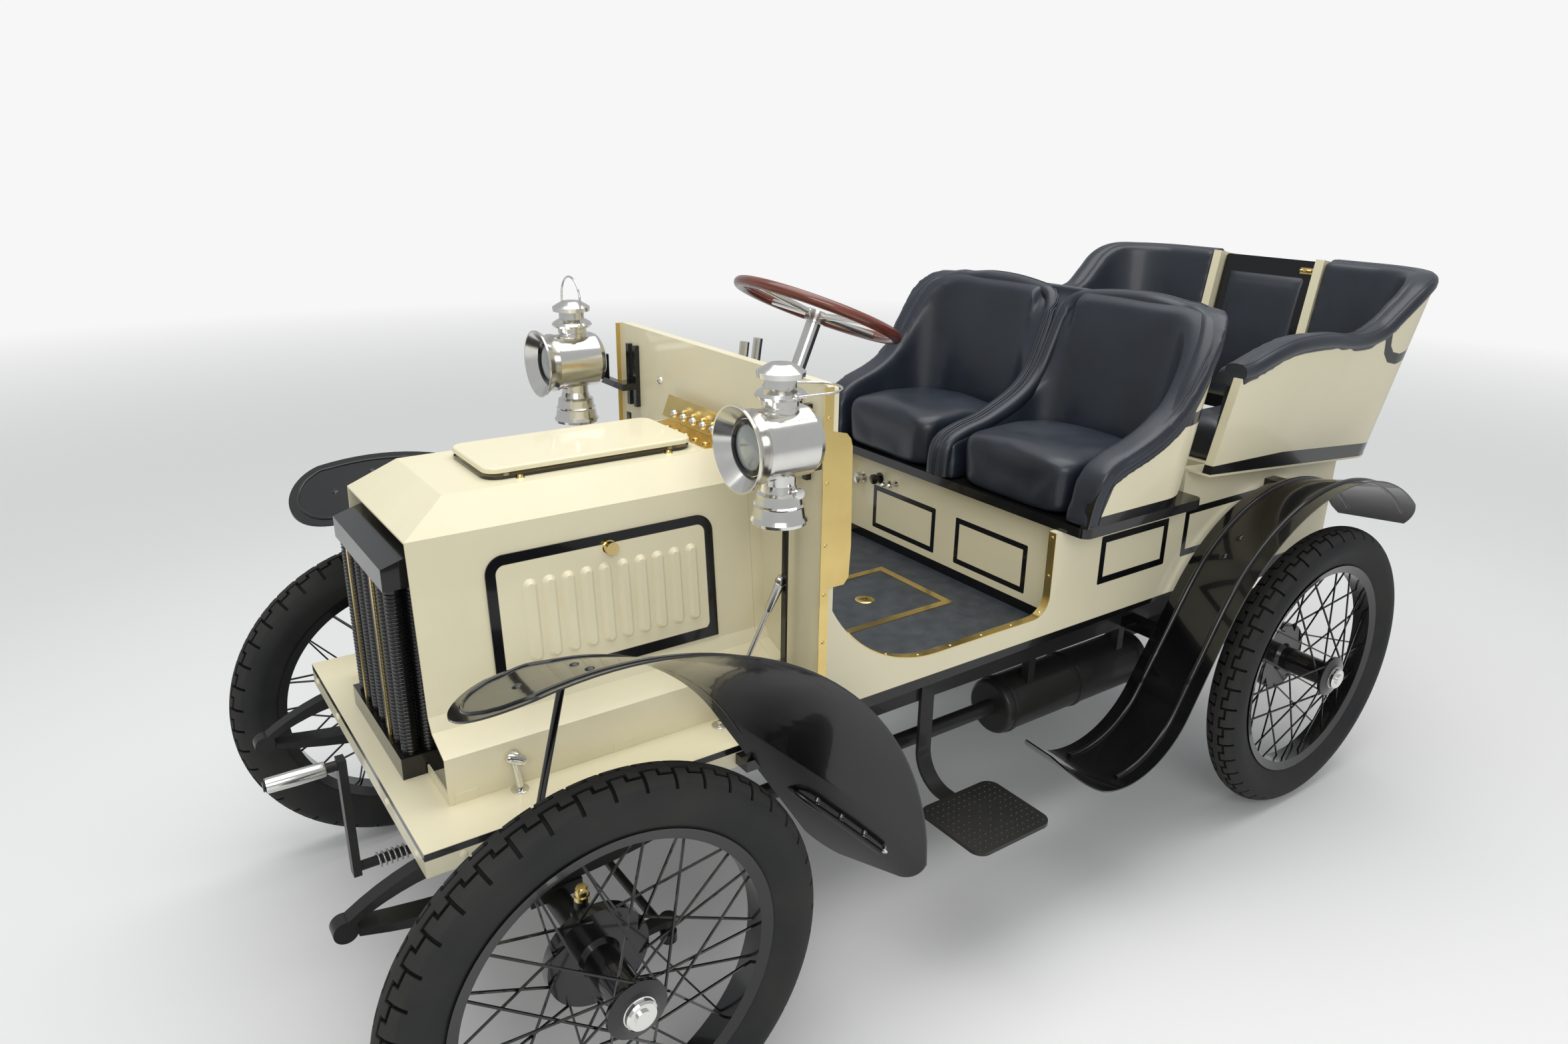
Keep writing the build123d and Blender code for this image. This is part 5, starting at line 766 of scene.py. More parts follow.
def facing(place, outward, up=(0, 0, 1)):
    """A matrix at a place whose local Z looks outward."""
    z = Vector(outward).normalized()
    x = Vector(up).cross(z)
    if x.length < 0.01:
        x = Vector((1, 0, 0))
    x.normalize()
    y = z.cross(x)
    turn = Matrix((x, y, z)).transposed().to_4x4()
    turn.translation = Vector(place)
    return turn


def loft(name, sections, closed_path=False):
    """Skins equal rings of points, and caps the two ends of an open path."""
    ring = len(sections[0])
    points = [p for section in sections for p in section]
    faces = []
    last = len(sections) if closed_path else len(sections) - 1
    for i in range(last):
        a, b = i * ring, ((i + 1) % len(sections)) * ring
        for j in range(ring):
            k = (j + 1) % ring
            faces.append((a + j, a + k, b + k, b + j))
    if not closed_path:
        faces.append(tuple(range(ring)))
        faces.append(tuple((len(sections) - 1) * ring + j for j in range(ring)))
    return clean(mesh_object(name, points, faces=faces))


def smooth_line(points, count):
    """Even points along a smooth curve through the given ones."""
    pts = [Vector(p) for p in points]
    pts = [pts[0] * 2 - pts[1]] + pts + [pts[-1] * 2 - pts[-2]]
    fine = []
    for i in range(1, len(pts) - 2):
        a, b, c, d = pts[i - 1:i + 3]
        for step in range(16):
            t = step / 16
            square = (2 * a - 5 * b + 4 * c - d) * t**2
            cube = (3 * b - a - 3 * c + d) * t**3
            fine.append(0.5 * (2 * b + (c - a) * t + square + cube))
    fine.append(pts[-2])
    along = [0.0]
    for a, b in zip(fine, fine[1:]):
        along.append(along[-1] + (b - a).length)
    even = []
    spot = 0
    for step in range(count):
        target = along[-1] * step / (count - 1)
        while spot < len(along) - 2 and along[spot + 1] < target:
            spot += 1
        span = along[spot + 1] - along[spot]
        share = (target - along[spot]) / span if span > 0 else 0
        even.append(fine[spot].lerp(fine[spot + 1], min(1.0, share)))
    return even


def aft(x):
    """An aft size as a place along X."""
    return FRONT_AXLE_X + x


def skin_of(name):
    """The surface of a construction part, to drop points on."""
    mesh = nodes[name].data
    points = [vertex.co.copy() for vertex in mesh.vertices]
    return BVHTree.FromPolygons(points, [tuple(polygon.vertices) for polygon in mesh.polygons])


def drop(skin, start, way):
    """Where a ray from start first meets the surface, and which way the surface looks."""
    place, normal, _, _ = skin.ray_cast(Vector(start), Vector(way).normalized())
    return place, normal


def seats_on(skin, rays, sink):
    """A matrix on the surface for each ray that meets it, let in by a hair so that nothing floats."""
    found = []
    for start, way in rays:
        place, normal = drop(skin, start, way)
        if place:
            found.append(facing(place - normal * sink, normal))
    return found


def joined(name, parts, finish, body="chassis", angle=38):
    """Several meshes kept as one piece."""
    only(parts[0])
    for part in parts:
        part.select_set(True)
    bpy.ops.object.join()
    return keep(bpy.context.object, name, finish, body, angle)


DOWN = (0, 0, -1)
SIDES = (("left", -1), ("right", 1))
print("helpers ready; sides:", [name for name, side in SIDES])

# %% [markdown]
# Each tyre is spun from its round section in 352 small steps, eight to a tread block. Blender then
# picks single faces of that grid and sinks them, so the grooves follow the real pattern: narrow
# slots across both shoulders, and two stepped grooves that leave S-shaped blocks in the middle.
# A bump in the material would be quicker, but the blocks show in the tyre's own outline.

# %% Tyres
TREAD_PITCHES = 44
STEPS_PER_PITCH = 8
TREAD_DEPTH = 0.0055
BEAD_R, BEAD_HALF = 0.2545, 0.018
HALF_SECTION = (8, 15, 22, 29, 36, 44, 52, 60, 68, 80, 94, 108)
SECTION_DEGREES = [-d for d in reversed(HALF_SECTION)] + [0] + list(HALF_SECTION)
section_centre = TYRE_R - SECTION_R
profile = [
    (section_centre + SECTION_R * math.cos(math.radians(d)), SECTION_R * math.sin(math.radians(d)))
    for d in SECTION_DEGREES
]
profile = [(BEAD_R, -BEAD_HALF)] + profile + [(BEAD_R, BEAD_HALF)]
tyre = turned("tyre", profile, TREAD_PITCHES * STEPS_PER_PITCH, closed=True)


def tread_groove(step, degrees):
    """True where a face of the grid, at this step round and this angle on the section, is sunk."""
    phase = step % STEPS_PER_PITCH
    side = abs(degrees)
    shoulder = 29 < side < 62 and phase == 0
    ring = 22 < side < 29 if phase < 4 else 8 < side < 15
    crossing = phase in (0, 4) and 8 < side < 29
    return shoulder or ring or crossing


bpy.ops.object.mode_set(mode="EDIT")
bpy.ops.mesh.select_all(action="DESELECT")
grid = bmesh.from_edit_mesh(tyre.data)
for face in grid.faces:
    middle = face.calc_center_median()
    radius = math.hypot(middle.x, middle.y)
    turn = math.degrees(math.atan2(middle.y, middle.x)) % 360
    step = int(turn / 360 * TREAD_PITCHES * STEPS_PER_PITCH)
    degrees = math.degrees(math.atan2(middle.z, radius - section_centre))
    face.select = tread_groove(step, degrees) and radius > section_centre
bmesh.update_edit_mesh(tyre.data)
bpy.ops.mesh.extrude_region()
for vertex in grid.verts:
    if vertex.select:
        radius = math.hypot(vertex.co.x, vertex.co.y)
        out = Vector((vertex.co.x / radius, vertex.co.y / radius, 0))
        centre = out * section_centre
        vertex.co -= (vertex.co - centre).normalized() * TREAD_DEPTH
bmesh.update_edit_mesh(tyre.data)
bpy.ops.object.mode_set(mode="OBJECT")
print("tread depth", TREAD_DEPTH, "faces", len(tyre.data.polygons))

# %% Put a tyre on each wheel
CORNERS = ("front_left", "front_right", "rear_left", "rear_right")
for corner in CORNERS:
    low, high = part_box("tyre_" + corner)
    hub = (low + high) / 2
    copy = bpy.data.objects.new("tyre", tyre.data.copy())
    bpy.context.scene.collection.objects.link(copy)
    copy.matrix_world = facing(hub, (0, math.copysign(1, hub.y), 0))
    keep(copy, "treaded_tyre_" + corner, rubber, "wheel_" + corner, angle=30)
    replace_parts(copy, "tyre_" + corner)
bpy.data.objects.remove(tyre)

# %% [markdown]
# The leather is sewn over a padded roll that follows the edge of each seat: up the arm, round the
# back, and down the divider. An upholsterer nails it along a line and hides the nails under piping.
# Here the roll is a flattened ring carried along that line, and the piping is thin cord on top of it.


# %% Padded rolls
WELT_R = 0.0026
RING_STEPS = 20
SQUARENESS = 0.8


def roll_frames(path, fixed_foot):
    """Place, outward way and upward way at each step of a path along the top of a leaning wall."""
    frames = []
    for i, place in enumerate(path):
        ahead = path[min(i + 1, len(path) - 1)]
        behind = path[max(i - 1, 0)]
        way = (ahead - behind).normalized()
        flat = Vector((way.x, way.y, 0))
        outward = Vector((0, 0, 1)).cross(flat)
        if flat.length < 0.5:
            outward = fixed_foot[0] if i < len(path) / 2 else fixed_foot[1]
        outward = outward.normalized()
        upward = way.cross(outward).normalized()
        frames.append((place, outward, upward))
    return frames


def leather_roll(name, path, half_width, half_height, feet, welts):
    """A flattened roll along a path. half_width gives the size at a share of the way."""
    frames = roll_frames(path, feet)
    rings = []
    cords = [[] for _ in welts]
    for i, (place, outward, upward) in enumerate(frames):
        wide = half_width(i / (len(frames) - 1))
        ring = []
        for step in range(RING_STEPS):
            turn = math.tau * step / RING_STEPS
            across = math.copysign(abs(math.cos(turn)) ** SQUARENESS, math.cos(turn)) * wide
            over = math.copysign(abs(math.sin(turn)) ** SQUARENESS, math.sin(turn)) * half_height
            ring.append(place + outward * across + upward * over)
        rings.append(ring)
        for cord, (across, over) in zip(cords, welts):
            cord.append(place + outward * across * wide + upward * over * half_height)
    body = loft(name, rings)
    parts = [body] + [rod(name + "_welt", cord, WELT_R, sides=2) for cord in cords]
    roll = joined(name, parts, leather, angle=60)


# %% Rolls of the two front seats
SEAT_BASE_Z = 0.806
SEAT_LEAN = math.tan(math.radians(7.3))
SEAT_CORNER = (1.342, 0.322, 0.110)
SEAT_TOP_Z = 1.196
ROLL_INSET, ROLL_HALF_HEIGHT = 0.021, 0.018


def leaning_half(x, z, corner, base_z, lean, inset):
    """How far out a leaning wall with a rounded rear corner stands at an aft size and a height."""
    reach = corner[2] - inset + (z - base_z) * lean
    ahead = max(0.0, x - corner[0])
    return corner[1] + math.sqrt(max(reach * reach - ahead * ahead, 0.0))


SEAT_ARM = (
    (1.120, 0.812), (1.122, 0.850), (1.127, 0.884), (1.142, 0.912), (1.165, 0.927), (1.204, 0.940),
    (1.272, 0.968), (1.327, 1.013), (1.363, 1.070), (1.404, 1.135), (1.436, 1.172), (1.462, 1.186),
)
SEAT_DIVIDER = (
    (1.474, 0.085, 1.194), (1.468, 0.040, 1.184), (1.450, 0.020, 1.150), (1.424, 0.016, 1.085),
    (1.388, 0.015, 1.012), (1.335, 0.015, 0.964), (1.236, 0.015, 0.920), (1.155, 0.015, 0.900),
    (1.112, 0.015, 0.880), (1.102, 0.015, 0.845), (1.101, 0.015, 0.812),
)
SEAT_WELTS = ((0.80, 0.55), (0.35, 0.93), (0.58, 0.80))


def round_corner(corner, reach, angles, z):
    """Places round the rear corner of a leaning wall, at these angles and one height."""
    turns = [math.radians(degrees) for degrees in angles]
    return [(corner[0] + reach * math.cos(turn), corner[1] + reach * math.sin(turn), z) for turn in turns]


for name, side in SIDES:
    places = [
        (x, leaning_half(x, z, SEAT_CORNER, SEAT_BASE_Z, SEAT_LEAN, ROLL_INSET), z) for x, z in SEAT_ARM
    ]
    reach = SEAT_CORNER[2] - ROLL_INSET + (SEAT_TOP_Z - SEAT_BASE_Z) * SEAT_LEAN
    places += round_corner(SEAT_CORNER, reach, (12, 0), 1.195)
    back = SEAT_CORNER[0] + reach
    places += [(back, 0.250, 1.203), (back, 0.170, 1.202)]
    places += list(SEAT_DIVIDER)
    line = smooth_line([(aft(x), side * half, z) for x, half, z in places], 110)
    feet = (Vector((0, side, 0)), Vector((0, -side, 0)))
    if side < 0:
        line = list(reversed(line))
        feet = (feet[1], feet[0])

    def width(share, side=side):
        """Narrow along the divider, and full width round the back and the arm."""
        from_divider = 1 - share if side > 0 else share
        return 0.017 + 0.008 * min(1.0, max(0.0, (from_divider - 0.38) / 0.14))

    leather_roll("front_seat_roll_" + name, line, width, ROLL_HALF_HEIGHT, feet, SEAT_WELTS)

# %% [markdown]
# The tonneau's roll is one width all the way: it starts at the front edge of the side, dips and
# rises with it, and goes round the rear corner to the door post.

# %% Rolls of the tonneau
TONNEAU_LEAN = math.tan(math.radians(10.3))
TONNEAU_CORNER = (2.130, 0.286, 0.132)
TONNEAU_BASE_Z, TONNEAU_TOP_Z = 0.790, 1.230
TONNEAU_ROLL_HALF = 0.026
TONNEAU_WELTS = ((0.78, 0.50), (0.50, 0.84), (-0.72, 0.62))
TONNEAU_EDGE = (
    (1.492, 1.084), (1.530, 1.087), (1.610, 1.111), (1.680, 1.124), (1.800, 1.124), (1.930, 1.110),
    (2.030, 1.121), (2.100, 1.166), (2.155, 1.207), (2.215, 1.229),
)
for name, side in SIDES:
    places = [
        (x, leaning_half(x, z, TONNEAU_CORNER, TONNEAU_BASE_Z, TONNEAU_LEAN, ROLL_INSET), z)
        for x, z in TONNEAU_EDGE
    ]
    reach = TONNEAU_CORNER[2] - ROLL_INSET + (TONNEAU_TOP_Z - TONNEAU_BASE_Z) * TONNEAU_LEAN
    places += round_corner(TONNEAU_CORNER, reach, (40, 20, 4), TONNEAU_TOP_Z + 0.001)
    places.append((TONNEAU_CORNER[0] + reach, 0.172, TONNEAU_TOP_Z + 0.001))
    line = smooth_line([(aft(x), side * half, z) for x, half, z in places], 80)
    feet = (Vector((0, side, 0)), Vector((0, side, 0)))
    if side < 0:
        line = list(reversed(line))
    leather_roll(
        "tonneau_roll_" + name, line, lambda share: TONNEAU_ROLL_HALF, ROLL_HALF_HEIGHT, feet, TONNEAU_WELTS
    )

# %% [markdown]
# The padded leather itself starts from the construction solids. A copy of each is remeshed into
# even small cells and relaxed, so that its edges round off as stuffed leather does. The seat
# cushions also go through a short cloth run with air pressure inside, which crowns them. A shape
# drawn by hand could be crowned too, but a cloth finds by itself how a sewn box swells.


# %% Padding helpers
CLOTH_FRAMES = 20


def copy_of(node):
    source = nodes[node]
    made = bpy.data.objects.new(node, source.data.copy())
    bpy.context.scene.collection.objects.link(made)
    made.matrix_world = source.matrix_world
    only(made)
    bpy.ops.object.transform_apply(location=True, rotation=True, scale=True)
    return made


def relaxed(made, rounds):
    """Lets every point move to the middle of its neighbours, this many rounds."""
    smooth = made.modifiers.new("relax", "SMOOTH")
    smooth.factor = 0.5
    smooth.iterations = rounds
    only(made)
    bpy.ops.object.modifier_apply(modifier=smooth.name)
    return made


def remeshed(made, voxel, rounds):
    only(made)
    made.data.remesh_voxel_size = voxel
    bpy.ops.object.voxel_remesh()
    return relaxed(made, rounds)


def puffed(made, pressure, cap):
    """Blows the piece up like a cushion, and holds every point within cap of where it began."""
    scene = bpy.context.scene
    before = [vertex.co.copy() for vertex in made.data.vertices]
    cloth = made.modifiers.new("puff", "CLOTH")
    cloth.settings.quality = 5
    cloth.settings.use_pressure = True
    cloth.settings.uniform_pressure_force = pressure
    cloth.settings.effector_weights.gravity = 0
    cloth.settings.tension_stiffness = 40
    cloth.settings.compression_stiffness = 40
    cloth.settings.bending_stiffness = 8
    cloth.settings.shrink_min = 0.04
    cloth.point_cache.frame_start = 1
    cloth.point_cache.frame_end = CLOTH_FRAMES
    for frame_number in range(1, CLOTH_FRAMES + 1):
        scene.frame_set(frame_number)
    shape = made.evaluated_get(bpy.context.evaluated_depsgraph_get()).data
    after = [vertex.co.copy() for vertex in shape.vertices]
    made.modifiers.remove(cloth)
    scene.frame_set(1)
    for vertex, start, end in zip(made.data.vertices, before, after):
        way = end - start
        if way.length > cap:
            way *= cap / way.length
        vertex.co = start + way
    return made


# %% Seat and tonneau leather
for node, voxel, rounds in (("front_seat_leather", 0.007, 26), ("tonneau_leather", 0.008, 16)):
    padding = keep(remeshed(copy_of(node), voxel, rounds), "padded_" + node, leather, angle=70)
    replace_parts(padding, node)

# %% Cushions
for node, voxel in (("front_cushions", 0.006), ("tonneau_cushions", 0.007)):
    cushion = puffed(remeshed(copy_of(node), voxel, 30), pressure=4.0, cap=0.014)
    cushion = keep(relaxed(cushion, 25), "puffed_" + node, leather, angle=70)
    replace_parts(cushion, node)

# %% [markdown]
# Trim comes next: thin brass laid on edges, nickel fittings, and rows of screws. A strip is a flat
# bar swept along a line with mitred corners. A small dome stands for every screw and rivet head.
# Screws and rivets are modelled once and copied, each copy set on the surface it holds.


# %% Strips, slabs and domes
def strip(name, points, face, width, thick, cyclic=False):
    """A flat bar along points. face is the way its broad side looks, one for all or one per point."""
    points = [Vector(p) for p in points]
    rings = []
    for i, place in enumerate(points):
        way = Vector(face[i] if isinstance(face, list) else face).normalized()
        spans = []
        if cyclic or i:
            spans.append((place - points[i - 1]).normalized())
        if cyclic or i + 1 < len(points):
            spans.append((points[(i + 1) % len(points)] - place).normalized())
        sides = [way.cross(span).normalized() for span in spans]
        across = sum(sides, Vector()).normalized()
        across *= width / 2 / max(0.5, across.dot(sides[0]))
        lift = way * thick
        rings.append([place - across, place + across, place + across + lift, place - across + lift])
    return loft(name, rings, closed_path=cyclic)


def slab(name, outline, depth):
    """A flat plate of an outline, as thick as the vector depth."""
    return loft(name, [[Vector(p) for p in outline], [Vector(p) + Vector(depth) for p in outline]])


def rectangle(half_x, half_y, z=0.0):
    return [(-half_x, -half_y, z), (half_x, -half_y, z), (half_x, half_y, z), (-half_x, half_y, z)]


def dome(name, radius, height, steps=12):
    low_ring, high_ring = (radius * 0.86, height * 0.55), (radius * 0.5, height * 0.9)
    return turned(name, [(0, height), high_ring, low_ring, (radius, 0.0), (0, 0.0)], steps)


def screws(places):
    return repeat(dome("screw", 0.0034, 0.0014), places)


def set_at(obj, place):
    """Puts a piece where a matrix or a point says, and hands it back."""
    obj.matrix_world = place if isinstance(place, Matrix) else Matrix.Translation(Vector(place))
    return obj


BRASS_WIDTH, BRASS_THICK = 0.0185, 0.0016

# %% [markdown]
# Each doorway is a deep swept cut-out with a brass strip along its lower edge. Rays sent out from
# the middle of the opening find that edge at every three degrees, which follows the cut-out
# whatever its sizes are. The strip is laid on those places, with screws along it.

# %% Brass along the doorways
EDGE_POINTS = 70
entry = skin_of("body_sides")
for name, side in SIDES:
    places = []
    for degrees in range(-174, 13, 3):
        turn = math.radians(degrees)
        start = Vector((aft(0.85), side * 0.363, 0.735))
        place, normal = drop(entry, start, (math.cos(turn), 0, math.sin(turn)))
        if place and place.x > aft(0.515) and abs(place.x) < 2:
            places.append(place)
    line = smooth_line(places, EDGE_POINTS)
    ways = []
    for i in range(EDGE_POINTS):
        along = line[min(i + 1, EDGE_POINTS - 1)] - line[max(i - 1, 0)]
        ways.append(Vector((-along.z, 0, along.x)).normalized())
    edging = strip("edging", line, ways, BRASS_WIDTH, BRASS_THICK)
    heads = screws([facing(line[i] + ways[i] * 0.0014, ways[i]) for i in range(4, EDGE_POINTS, 8)])
    joined("doorway_brass_" + name, [edging, heads], brass)

# %% [markdown]
# The dash has a brass strip on each edge, a thin brass sheet behind it that was cut to a rounded
# outline, and on its front a black band where the bonnet's shroud meets it.

# %% Brass on the edges of the dash
DASH_HALF = 0.372
DASH_MIDDLE, DASH_FACE = aft(0.494), aft(0.4706)
DASH_FOOT_Z, DASH_TOP_Z = 0.562, 1.151
SHEET_OUTLINE = (
    (0.500, 0.800), (0.536, 0.800), (0.546, 0.812), (0.549, 0.870),
    (0.545, 1.045), (0.541, 1.060), (0.532, 1.070), (0.500, 1.078),
)
for name, side in SIDES:
    face = side * DASH_HALF
    outward = (0, side, 0)
    line = [(DASH_MIDDLE, face, DASH_FOOT_Z), (DASH_MIDDLE, face, DASH_TOP_Z)]
    edge = strip("edge", line, outward, BRASS_WIDTH, BRASS_THICK)
    sheet = slab("sheet", [(aft(x), face, z) for x, z in SHEET_OUTLINE], (0, side * 0.0012, 0))
    heads = screws([
        facing((DASH_MIDDLE, face + side * 0.0015, z), outward)
        for z in (0.60, 0.70, 0.79, 0.88, 0.99, 1.10)
    ])
    joined("dash_brass_" + name, [edge, sheet, heads], brass)
    line = [(DASH_FACE, side * 0.292, 0.600), (DASH_FACE, side * 0.292, 0.975)]
    keep(strip("band", line, (-1, 0, 0), 0.014, 0.004), "dash_band_" + name, black_paint)

# %% [markdown]
# A brass strip frames the trapdoor in the floor. Its key goes into a round plate with a raised
# ring. The plate is two turned shapes: the ring, and the pin in its middle.

# %% Brass round the trapdoor in the floor
TRAP_CORNERS = ((1.023, 0.095), (1.023, -0.136), (0.660, -0.136), (0.660, 0.095))
LINO_TOP_Z = 0.5602
KEY_PLACE = (aft(0.8756), -0.0255, LINO_TOP_Z)
RING_PROFILE = [(0.0065, 0), (0.0065, 0.0024), (0.019, 0.0024), (0.022, 0.0008), (0.022, 0)]
PIN_PROFILE = [(0.0, 0.0016), (0.0035, 0.0012), (0.0035, 0), (0, 0)]
line = [(aft(x), y, LINO_TOP_Z) for x, y in TRAP_CORNERS]
frame_strip = strip("trapdoor", line, (0, 0, 1), 0.018, BRASS_THICK, cyclic=True)
ring = set_at(turned("ring", RING_PROFILE, 40, closed=True), KEY_PLACE)
pin = set_at(turned("pin", PIN_PROFILE, 20), KEY_PLACE)
joined("floor_brass", [frame_strip, ring, pin], brass)

# %% [markdown]
# Every tube of the radiator carries a stack of thin gills. Each stack is one zigzag profile spun
# round the tube, which costs few faces and shades like separate discs.

# %% Gilled tubes
GILL_PITCH = 0.0065
GILL_LOW_Z, GILL_HIGH_Z = 0.582, 0.866
GILL_R, SLEEVE_R = 0.0148, 0.0124
TUBE_ROWS, TUBES_A_ROW = 2, 7
ROW_GAP, TUBE_GAP = 0.030, 0.043
gills = [(0.0, GILL_LOW_Z), (SLEEVE_R, GILL_LOW_Z)]
z = GILL_LOW_Z
while z < GILL_HIGH_Z - GILL_PITCH:
    gills += [(GILL_R, z + 0.0022), (GILL_R, z + 0.0034), (SLEEVE_R, z + 0.0052), (SLEEVE_R, z + GILL_PITCH)]
    z += GILL_PITCH
gills += [(SLEEVE_R, z + 0.001), (0.0, z + 0.001)]
tubes = []
for row in range(TUBE_ROWS):
    for place in range(TUBES_A_ROW):
        across = (place - (TUBES_A_ROW - 1) / 2) * TUBE_GAP
        tubes.append(Matrix.Translation((aft(-0.154) + row * ROW_GAP, across, 0)))
keep(repeat(turned("gills", gills, 16), tubes), "radiator_gills", black_paint, angle=20)

# %% [markdown]
# A slanting stay holds the dash on each side: a bar with a tapered sleeve, a six-sided nut, and an
# eye at the top, standing on a round washer on the deck. Turned profiles are quick for such parts,
# because each is a list of radius and height, as on a lathe.

# %% Stays of the dash
BOARD_Z = 0.542
STAY_Y = 0.284
WASHER_PROFILE = [(0, 0), (0.0145, 0), (0.0145, 0.002), (0.012, 0.003), (0, 0.003)]
SLEEVE_PROFILE = [
    (0, 0), (0.0058, 0), (0.0068, 0.004), (0.0092, 0.046), (0.0092, 0.052), (0.006, 0.056), (0, 0.056),
]
NUT_PROFILE = [(0, 0), (0.0075, 0), (0.0088, 0.004), (0.0088, 0.026), (0.0065, 0.030), (0, 0.030)]
EYE_PROFILE = [(0, 0.008), (0.007, 0.0075), (0.011, 0.003), (0.011, -0.003), (0.007, -0.0075), (0, -0.008)]


def dash_stay(name, side):
    low = Vector((aft(0.340), side * STAY_Y, 0.552))
    high = Vector((aft(0.466), side * STAY_Y, 0.792))
    way = (high - low).normalized()
    stay = [
        rod("bar", [low, high], 0.0042),
        set_at(turned("sleeve", SLEEVE_PROFILE, 20), facing(high - way * 0.060, way)),
        set_at(turned("nut", NUT_PROFILE, 6), facing(low + way * 0.012, way)),
        set_at(turned("eye", EYE_PROFILE, 20), facing(high, (0, side, 0))),
        rod("lug", [high, (aft(0.4725), side * STAY_Y, 0.796)], 0.005),
        set_at(turned("washer", WASHER_PROFILE, 28), (aft(0.338), side * STAY_Y, BOARD_Z)),
        rod("post", [(aft(0.338), side * STAY_Y, BOARD_Z + 0.001), low], 0.0055),
    ]
    joined("dash_stay_" + name, stay, nickel)


# %% [markdown]
# The bonnet is held down by a toggle on each side of the deck: a bent shank with a barrel and a
# pair of wings on top. Both fittings stand on the same kind of washer, side by side.

# %% Toggles of the bonnet
BARREL_PROFILE = [(0, 0), (0.0075, 0), (0.0105, 0.003), (0.0105, 0.015), (0.0085, 0.019), (0, 0.020)]
WING_PROFILE = [(0, -0.017), (0.006, -0.0165), (0.0082, -0.013), (0.0082, 0.013), (0.006, 0.0165), (0, 0.017)]


def bonnet_toggle(name, side):
    foot = Vector((aft(-0.030), side * 0.277, BOARD_Z))
    bend = foot + Vector((0, 0, 0.012))
    wing_place = facing((aft(-0.034), side * 0.2805, 0.601), (0.8, 0, -0.45))
    toggle = [
        set_at(turned("washer", WASHER_PROFILE, 28), foot),
        rod("shank", [foot, bend, (aft(-0.034), side * 0.271, 0.596)], 0.0058),
        set_at(
            turned("barrel", BARREL_PROFILE, 24), facing((aft(-0.032), side * 0.2605, 0.600), (0, side, 0))
        ),
        set_at(turned("wing", WING_PROFILE, 18), wing_place),
    ]
    joined("bonnet_toggle_" + name, toggle, nickel)


for name, side in SIDES:
    dash_stay(name, side)
    bonnet_toggle(name, side)

# %% [markdown]
# The side lamps get their glass, the rim that holds it, and a wire bail each. The bail on the far
# side stands up; the one on the near side lies back on the top of the dash. A bail is one wire bent
# to an arch, so it is a round bar along a line of points, upright or laid over.

# %% Side lamps
LAMP_X, LAMP_Y = aft(0.390), 0.385
LAMP_FOOT_Z, LAMP_TALL = 0.948, 0.257
LAMP_AXIS = LAMP_FOOT_Z + 0.506 * LAMP_TALL
BAIL_PIVOT_Z = LAMP_FOOT_Z + 0.805 * LAMP_TALL
BAIL_HALF, BAIL_LEG, BAIL_RAISED = 0.0455, 0.026, 0.0035
GLASS_PROFILE = [
    (0, 0.0075), (0.014, 0.007), (0.027, 0.0045), (0.0375, 0.0005), (0.0375, -0.001), (0, -0.001),
]
RIM_PROFILE = [(0.0365, -0.0008), (0.0365, 0.004), (0.040, 0.0065), (0.0445, 0.005), (0.0445, -0.0008)]
STUD_PROFILE = [(0, 0), (0.0055, 0), (0.0055, 0.004), (0.003, 0.006), (0, 0.006)]
SCREW_PROFILE = [(0, 0), (0.004, 0), (0.004, 0.010), (0.0085, 0.011), (0.0085, 0.017), (0, 0.018)]
arch = []
for step in range(33):
    turn = math.pi * step / 32
    arch.append((math.cos(turn) * BAIL_HALF, 0.052 + math.sin(turn) * 0.045))
arch = [(BAIL_HALF, 0.0), (BAIL_HALF, BAIL_LEG)] + arch + [(-BAIL_HALF, BAIL_LEG), (-BAIL_HALF, 0.0)]

for name, side in SIDES:
    centre = Vector((LAMP_X, side * LAMP_Y, LAMP_AXIS))
    front = facing(centre + Vector((-0.0575, 0, 0)), (-1, 0, 0))
    glass = set_at(turned("glass", GLASS_PROFILE, 40), front)
    keep(glass, "lamp_glass_" + name, lamp_glass, angle=60)
    rim = set_at(turned("rim", RIM_PROFILE, 48, closed=True), front)
    keep(rim, "lamp_rim_" + name, black_paint, angle=30)
    upright = side > 0
    pivot_z = BAIL_PIVOT_Z + (0 if upright else BAIL_RAISED)
    if upright:
        wire = [(LAMP_X, side * LAMP_Y + across, pivot_z + reach) for across, reach in arch]
    else:
        wire = [
            (LAMP_X + reach * 1.12, side * LAMP_Y + across, pivot_z - reach * 0.02) for across, reach in arch
        ]
    bail = [rod("bail", wire, 0.0021)]
    for way in (-1, 1):
        pivot = facing((LAMP_X, side * LAMP_Y + way * 0.0405, pivot_z), (0, way, 0))
        bail.append(set_at(turned("stud", STUD_PROFILE, 16), pivot))
    screw_place = facing(centre + Vector((0.010, side * 0.026, -0.075)), (0, side, 0))
    bail.append(set_at(turned("screw", SCREW_PROFILE, 16), screw_place))
    joined("lamp_bail_" + name, bail, nickel)

# %% [markdown]
# The oil feed on the dash has a brass plate behind it, a shallow tray with five sight glasses, and
# five knobs in a row. The construction model gives it as one block, which the tray replaces.

